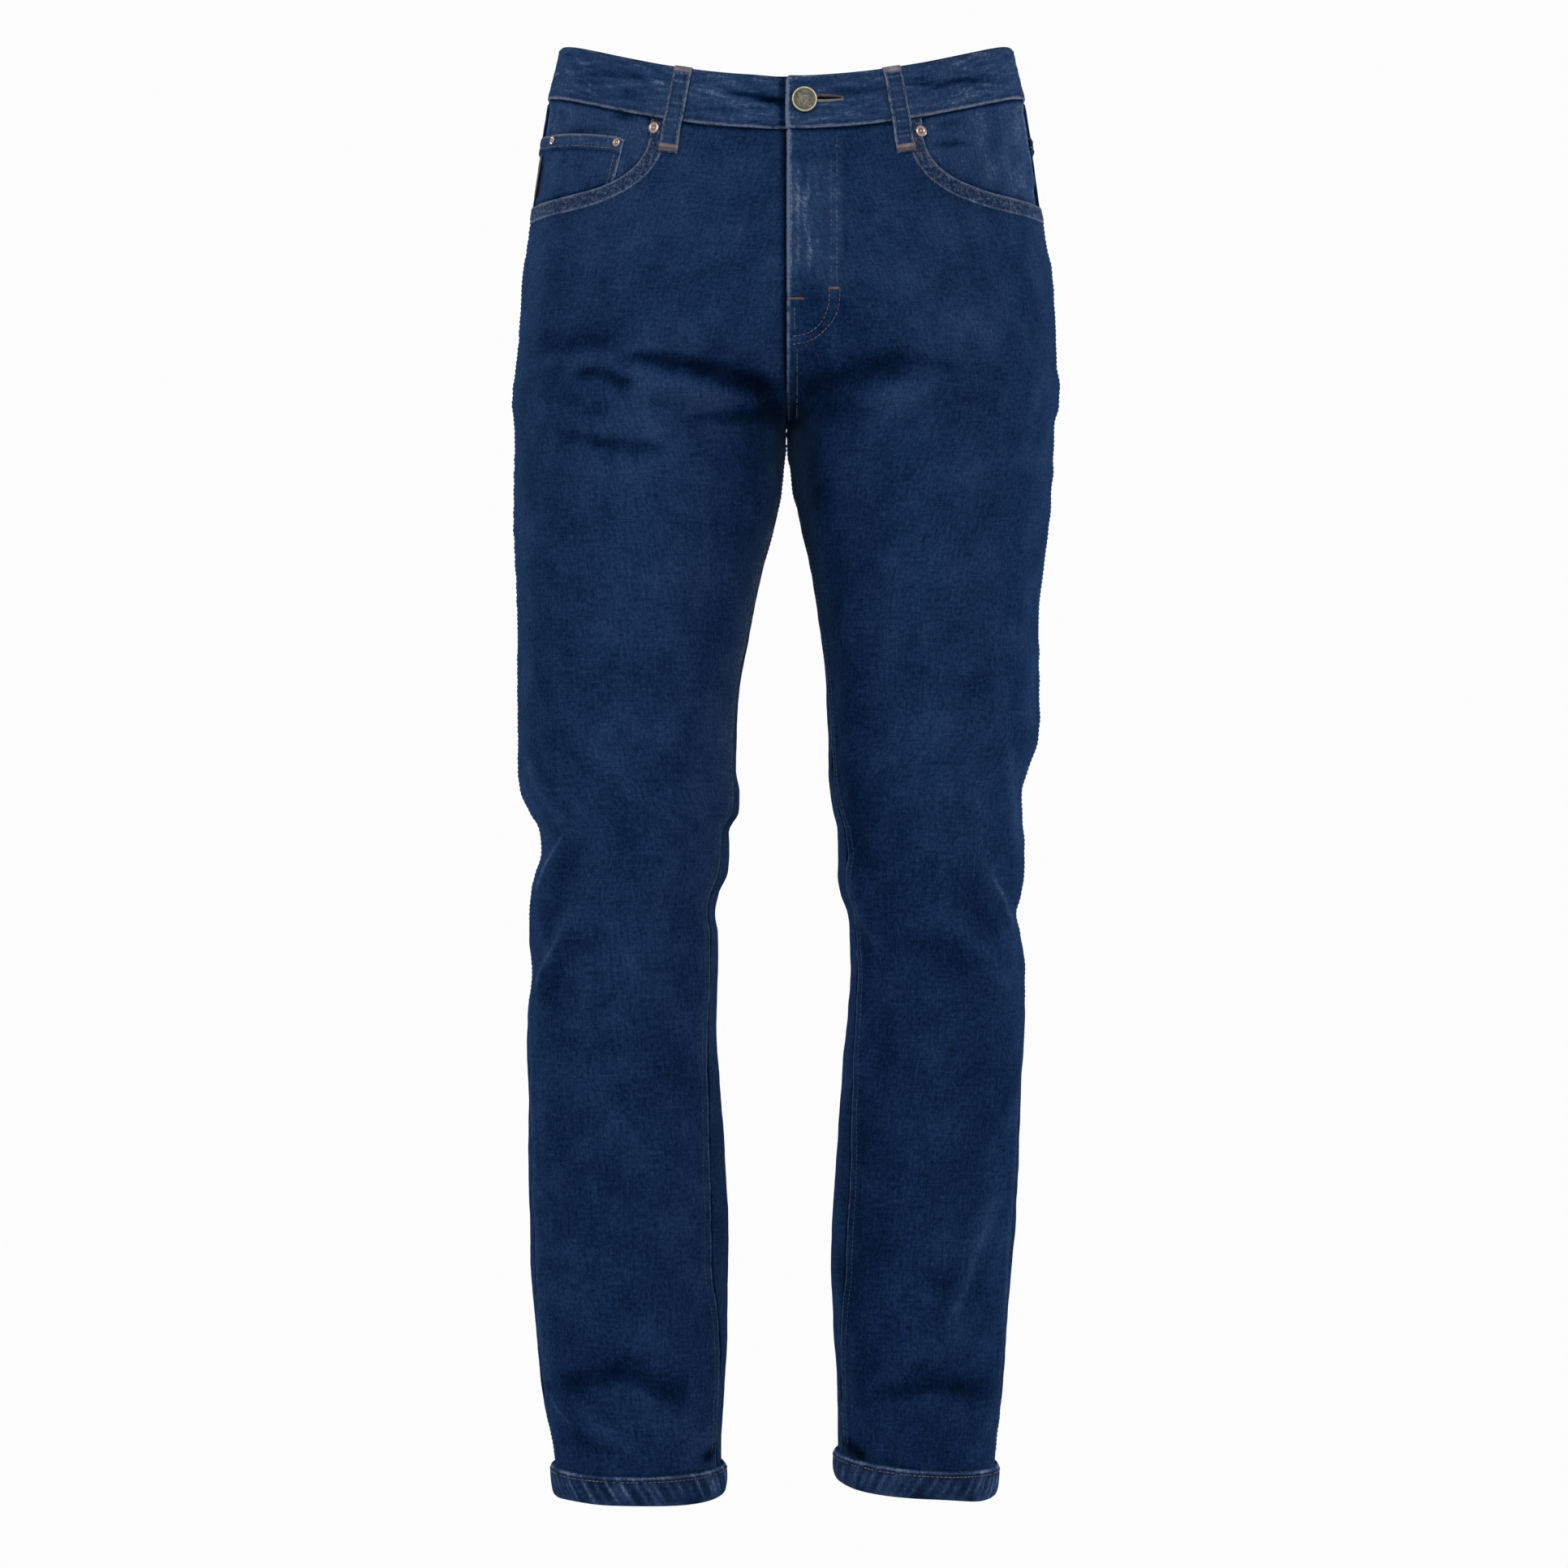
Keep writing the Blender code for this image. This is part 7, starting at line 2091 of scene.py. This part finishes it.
def stitch_front(side):
    """Stitching of one front panel: pocket mouth, seams, and on the left the fly."""
    name = f"front_{SIDE_NAMES[side]}"
    sewer, shape = Seamstress(name, 301 + side), SHAPES[name]
    edge = mouth_line(side, count=90)[1:]
    for distance, skip in ((0.0023, 0.05), (MOUTH_BAND, 0.12)):
        line, normals = cast(name, beside(edge, -side * distance))
        sewer.row(line, normals, "thread_rose", skip=skip, radius=0.00034)
    level_end = 1.012
    sewer.row(*down_grid(shape, "from_out", 0.0026, 0.102, level_end), "thread_navy", radius=0.00032)
    for distance in (0.0026, 0.0086):
        sewer.row(*down_grid(shape, "from_in", distance, CROTCH + 0.006, level_end), "thread_navy", radius=0.00030)
    sewer.tack(*down_grid(shape, "from_out", 0.0030, 0.096, 0.106), 0.0022, "thread_beige")
    if side == LEFT:
        stitch_fly(sewer, name)
    sewer.finish()


def stitch_fly(sewer, name):
    """The fly's faded lines, its curve, its two tacks and the crotch seam's rows."""

    def sew(places, thread, **how):
        sewer.row(*cast(name, places), thread, **how)

    sew(straight(0.0024, FLY_TOP, -0.2550), "thread_navy", radius=0.00028)
    sew(straight(0.0355, -0.0600, -0.0780), "thread_rose", skip=0.1, radius=0.00030)
    for x, skip in ((0.0314, 0.40), (0.0355, 0.30)):
        sew(straight(x, -0.0780, FLY_TACK_Z), "thread_rose", skip=skip, rise=-0.1, radius=0.00034)
    for curve in (FLY_OUTER, FLY_INNER):
        sew(through(curve, 50), "thread_rose", radius=0.00036)
    for start, end, wide in (
        ((0.0298, FLY_TACK_Z), (0.0372, FLY_TACK_Z), 0.0017),
        ((0.0010, CENTRE_TACK_Z), (0.0122, CENTRE_TACK_Z), 0.0015),
    ):
        sewer.tack(*cast(name, np.linspace(start, end, 12)), wide, "thread_copper")
    for x, top, end in ((0.0020, -0.1800, -0.2010), (0.0056, -0.1800, -0.2010), (0.0016, -0.2110, -0.2560), (0.0076, -0.2110, -0.2560)):
        sew(straight(x, top, end, 24), "thread_rose", skip=0.15, radius=0.00032)


def stitch_back(side):
    """Stitching of one back panel, its yoke and its pocket."""
    name = f"yoke_{SIDE_NAMES[side]}"
    sewer, shape = Seamstress(name, 321 + side), SHAPES[name]
    for distance in (0.0022, 0.0086):
        sewer.row(*across_grid(shape, "edge", distance), "thread_rose")
        if side == LEFT:
            sewer.row(*down_grid(shape, "from_in", distance, 0.02, 0.2), "thread_rose")
    sewer.finish()
    if side == LEFT:
        back = Seamstress("back_left", 331)
        for distance in (0.0022, 0.0086):
            back.row(*down_grid(SHAPES["back_left"], "from_in", distance, 0.075, CROTCH - 0.004), "thread_rose")
        back.finish()
    name = f"back_pocket_{SIDE_NAMES[side]}"
    pocket, shape = Seamstress(name, 341 + side), SHAPES[name]
    for distance in (0.0021, 0.0084):
        line, normals = pocket_outline(shape, distance)
        pocket.row(line, normals, "thread_rose")
    for drop in (0.0150, 0.0215):
        pocket.row(*across_grid(shape, "drop", drop), "thread_rose")
    for over in (-1, 1):
        tack = [(over * 0.975, 0.001), (over * 0.975, 0.013)]
        line, normals = on_pocket(shape, np.linspace(*np.array(tack), 10))
        pocket.tack(line, normals, 0.0024, "thread_copper")
    pocket.finish()


def on_pocket(shape, places):
    """Points on a back pocket at places given as share across and drop."""
    points, upright = [], []
    for over, drop in places:
        j = int(np.argmin(np.abs(shape["over"][0] - over)))
        column_drop = shape["drop"][:, j]
        points.append([np.interp(drop, column_drop, shape["outer"][:, j, k]) for k in range(3)])
        upright.append([np.interp(drop, column_drop, shape["outer_normals"][:, j, k]) for k in range(3)])
    return np.array(points), np.array(upright)


def pocket_outline(shape, distance):
    """Line down one side of a back pocket, round its point and up the other side."""
    rows, columns = shape["over"].shape
    sides, bottom = shape["sides"], shape["bottom"]
    left, right, foot = [], [], []
    for i in range(rows):
        for half, chosen in ((slice(0, columns // 2), left), (slice(columns // 2, columns), right)):
            row = sides[i, half]
            if not row.min() <= distance <= row.max():
                continue
            order = np.argsort(row)
            outer, normals, low = shape["outer"][i, half], shape["outer_normals"][i, half], bottom[i, half]
            if np.interp(distance, row[order], low[order]) < distance:
                continue
            chosen.append(np.concatenate([[np.interp(distance, row[order], array[order, k]) for k in range(3)] for array in (outer, normals)]))
    for j in range(columns):
        column_low = bottom[:, j]
        order = np.argsort(column_low)
        if np.interp(distance, column_low[order], sides[order, j]) < distance:
            continue
        outer, normals = shape["outer"][:, j], shape["outer_normals"][:, j]
        foot.append(np.concatenate([[np.interp(distance, column_low[order], array[order, k]) for k in range(3)] for array in (outer, normals)]))
    line = np.array(left + foot + right[::-1])
    return line[:, :3], line[:, 3:]


def stitch_waist():
    """Stitching of the waistband, its buttonhole and the belt loops."""
    sewer, band = Seamstress("waistband", 361), SHAPES["waistband"]
    end = band["along"].max() - 0.004
    sewer.row(*across_grid(band, "bottom", 0.0015, 0.003, end, "along"), "thread_rose", skip=0.15, radius=0.00034)
    sewer.row(*across_grid(band, "drop", 0.0022, 0.003, end, "along"), "thread_navy")
    sewer.row(*down_grid(band, "along", 0.0034, 0.003, 0.035), "thread_navy")
    lips = np.linspace(0.0, 1.0, 70)
    for way, thread, lift, thick in ((1, "thread_rose", 0.0, 0.00030), (-1, "thread_beige", 0.0001, 0.00038)):
        xs = BUTTONHOLE_START + (BUTTONHOLE_END - BUTTONHOLE_START + 0.0005) * lips
        middle = BUTTONHOLE_Z - 0.0009 + 0.0004 * lips
        half = 0.0007 + 0.0013 * np.sin(pi * np.clip(lips, 0, 1)) ** 0.8
        line, normals = cast("waistband", np.stack([xs, middle + way * half], axis=1))
        sewer.tack(line + normals * lift, normals, 0.0022, thread, 0.00045, thick)
    sewer.finish()
    for place in LOOP_PLACES:
        loop, shape = Seamstress(place.name, 371 + len(place.name) + place.side), SHAPES[place.name]
        for across in (-1, 1):
            loop.row(*down_grid(shape, "across", across * (LOOP_HALF_WIDTH - 0.0019)), "thread_rose", skip=0.1, radius=0.00034)
        for down, width, thread in (
            (0.0024, 0.0040, "thread_beige"),
            (shape["down"].max() - 0.0048, 0.0030, "thread_beige"),
            (shape["down"].max() - 0.0020, 0.0026, "thread_rose"),
        ):
            loop.tack(*across_grid(shape, "down", down), width, thread)
        loop.finish()


def stitch_trims():
    """Stitching of the coin pocket and the hems."""
    coin, shape = Seamstress("coin_pocket", 391), SHAPES["coin_pocket"]
    for distance, skip in ((0.0017, 0.0), (0.0092, 0.08)):
        coin.row(*across_grid(shape, "from_top", distance), "thread_rose", skip=skip)
    for distance in (0.0017, 0.0053):
        coin.row(*down_grid(shape, "from_edge", distance, 0.055, 0.099), "thread_rose", skip=0.08)
    coin.finish()
    for side in (RIGHT, LEFT):
        name = f"hem_{SIDE_NAMES[side]}"
        hem, shape = Seamstress(name, 401 + side), SHAPES[name]
        field = shape["level"] - HEM_TOP
        row = int(np.argmin(np.abs(field[:, 0] - 0.0030) + 10 * (shape["base"][:, 0] < 0.003)))
        line = np.concatenate([shape["outer"][row], shape["outer"][row][:1]])
        normals = np.concatenate([shape["outer_normals"][row], shape["outer_normals"][row][:1]])
        hem.row(line, normals, "thread_rose", skip=0.12)
        hem.finish()


class JEANS_OT_stitching(Operator):
    """Sew every seam, edge, bar tack and the buttonhole"""

    bl_idname = "jeans.stitching"
    bl_label = "Stitching"

    def execute(self, context):
        for side in (RIGHT, LEFT):
            stitch_front(side)
            stitch_back(side)
        stitch_waist()
        stitch_trims()
        return {"FINISHED"}


# ---------------------------------------------------------------- the cut

# What shows of each piece, laid flat: width, length and area where it isn't a rectangle.
Cut = namedtuple("Cut", "piece width length area held rests_on")
CUTS = (
    Cut("front_right", 0.3340, 1.0260, 0.2066, "hung", ("waistband",)),
    Cut("front_left", 0.3320, 1.0250, 0.2001, "hung", ("waistband",)),
    Cut("back_right", 0.3460, 0.9890, 0.2700, "hung", ("yoke_right",)),
    Cut("back_left", 0.3440, 0.9890, 0.2627, "hung", ("yoke_left",)),
    Cut("yoke_right", 0.2680, 0.0790, 0.0152, "hung", ("waistband",)),
    Cut("yoke_left", 0.2680, 0.0790, 0.0152, "hung", ("waistband",)),
    Cut("waistband", 0.0383, 0.9840, 0.0369, "folded", ()),
    Cut("loop_front_right", 0.0140, 0.0629, None, "folded", ("waistband",)),
    Cut("loop_front_left", 0.0140, 0.0629, None, "folded", ("waistband",)),
    Cut("loop_side_right", 0.0140, 0.0652, None, "folded", ("waistband",)),
    Cut("loop_side_left", 0.0140, 0.0652, None, "folded", ("waistband",)),
    Cut("loop_back", 0.0140, 0.0642, None, "folded", ("waistband",)),
    Cut("bearer_right", 0.1455, 0.0998, 0.0117, "hung", ("waistband",)),
    Cut("bearer_left", 0.1455, 0.0998, 0.0117, "hung", ("waistband",)),
    Cut("coin_pocket", 0.1043, 0.0600, 0.0055, "laid", ("bearer_right",)),
    Cut("back_pocket_right", 0.1815, 0.1732, 0.0252, "laid", ("back_right",)),
    Cut("back_pocket_left", 0.1815, 0.1732, 0.0252, "laid", ("back_left",)),
    Cut("hem_right", 0.0252, 0.4002, None, "folded", ("front_right", "back_right")),
    Cut("hem_left", 0.0250, 0.3901, None, "folded", ("front_left", "back_left")),
    Cut("side_tab", 0.0110, 0.0309, None, "laid", ("bearer_right",)),
    Cut("zip_tape", 0.0276, 0.1117, None, "hung", ("waistband",)),
)


class JEANS_OT_cuts(Operator):
    """Check that every piece in the table of flat sizes was built"""

    bl_idname = "jeans.cuts"
    bl_label = "Flat sizes"

    def execute(self, context):
        for cut in CUTS:
            if cut.piece not in PIECES:
                raise RuntimeError(f"{cut.piece} was not built")
        return {"FINISHED"}


# ---------------------------------------------------------------- the stage


class JEANS_OT_stage(Operator):
    """Set the floor, backdrop, lights and camera"""

    bl_idname = "jeans.stage"
    bl_label = "Stage"

    def execute(self, context):
        settings = context.scene.jeans_stage
        pale = bpy.data.materials.new("backdrop")
        pale.use_nodes = True
        tree = pale.node_tree
        web = Web(tree)
        tree.nodes.remove(tree.nodes["Principled BSDF"])
        seen = web.add("ShaderNodeLightPath").outputs["Is Camera Ray"]
        lit = web.add("ShaderNodeBsdfDiffuse", {"Color": (0.80, 0.80, 0.81, 1)})
        plain = web.add("ShaderNodeEmission", {"Color": (*settings.backdrop, 1), "Strength": 1.0})
        both = web.add("ShaderNodeMixShader", {0: seen, 1: lit.outputs[0], 2: plain.outputs[0]})
        web.put(tree.nodes["Material Output"].inputs["Surface"], both.outputs[0])
        profile = [(-6.0, -1.5), (2.2, -1.5)]
        profile += [(2.2 + 1.2 * sin(a), -0.3 - 1.2 * cos(a)) for a in np.linspace(0.1, pi / 2, 12)]
        profile += [(3.4, 6.0)]
        line = np.array([(0.0, y, z) for y, z in profile])
        grid = np.stack([line + (x, 0, 0) for x in (-9.0, 0.0, 9.0)], axis=1)
        floor = mesh_object("floor", grid.reshape(-1, 3), quads_of(len(line), 3), ("backdrop",))
        world = bpy.data.worlds.new("studio")
        world.use_nodes = True
        around = world.node_tree.nodes["Background"]
        around.inputs["Color"].default_value = (0.96, 0.98, 1.0, 1)
        around.inputs["Strength"].default_value = settings.fill
        context.scene.world = world
        for name, place, size, power in (
            ("key", (-0.5, -3.6, 1.2), 2.4, settings.key),
            ("right_rim", (-1.85, 1.7, -0.3), 1.0, settings.rim),
            ("left_rim", (1.9, 1.1, -0.3), 1.0, settings.rim * 0.9),
        ):
            data = bpy.data.lights.new(name, "AREA")
            data.shape, data.size, data.energy = "DISK", size, power
            lamp = bpy.data.objects.new(name, data)
            lamp.location = place
            aim = Vector((0, 0, -0.5)) - Vector(place)
            lamp.rotation_mode = "QUATERNION"
            lamp.rotation_quaternion = aim.to_track_quat("-Z", "Y")
            context.scene.collection.objects.link(lamp)
        data = bpy.data.cameras.new("camera")
        data.lens, data.sensor_width = CAMERA_LENS, SENSOR
        camera = bpy.data.objects.new("camera", data)
        camera.location = (CAMERA_X, -CAMERA_DISTANCE, CAMERA_Z)
        camera.rotation_euler = (pi / 2, 0, 0)
        context.scene.collection.objects.link(camera)
        context.scene.camera = camera
        context.scene.view_settings.view_transform = "Standard"
        return {"FINISHED"}


# ---------------------------------------------------------------- add-on


class JEANS_PT_pieces(Panel):
    """Lists the jeans' settings and operators"""

    bl_label = "Straight leg jeans"
    bl_idname = "JEANS_PT_pieces"
    bl_space_type = "VIEW_3D"
    bl_region_type = "UI"
    bl_category = "Jeans"

    def draw(self, context):
        for group in ("jeans_denim", "jeans_stitches", "jeans_stage"):
            settings = getattr(context.scene, group)
            box = self.layout.box()
            for name in settings.__annotations__:
                box.prop(settings, name)
        for operator in OPERATORS:
            self.layout.operator(operator.bl_idname)


SETTINGS = {
    "jeans_denim": DenimSettings,
    "jeans_stitches": StitchSettings,
    "jeans_stage": StageSettings,
}
OPERATORS = (
    JEANS_OT_materials,
    JEANS_OT_fronts,
    JEANS_OT_backs,
    JEANS_OT_waistband,
    JEANS_OT_loops,
    JEANS_OT_pockets,
    JEANS_OT_trims,
    JEANS_OT_metal,
    JEANS_OT_stitching,
    JEANS_OT_cuts,
    JEANS_OT_stage,
)


def register():
    for settings in SETTINGS.values():
        bpy.utils.register_class(settings)
    for name, settings in SETTINGS.items():
        setattr(bpy.types.Scene, name, PointerProperty(type=settings))
    for operator in OPERATORS:
        bpy.utils.register_class(operator)
    bpy.utils.register_class(JEANS_PT_pieces)


def unregister():
    bpy.utils.unregister_class(JEANS_PT_pieces)
    for operator in reversed(OPERATORS):
        bpy.utils.unregister_class(operator)
    for name, settings in SETTINGS.items():
        delattr(bpy.types.Scene, name)
        bpy.utils.unregister_class(settings)


def main():
    register()
    for operator in OPERATORS:
        group, name = operator.bl_idname.split(".")
        getattr(getattr(bpy.ops, group), name)()


if __name__ == "__main__":
    main()
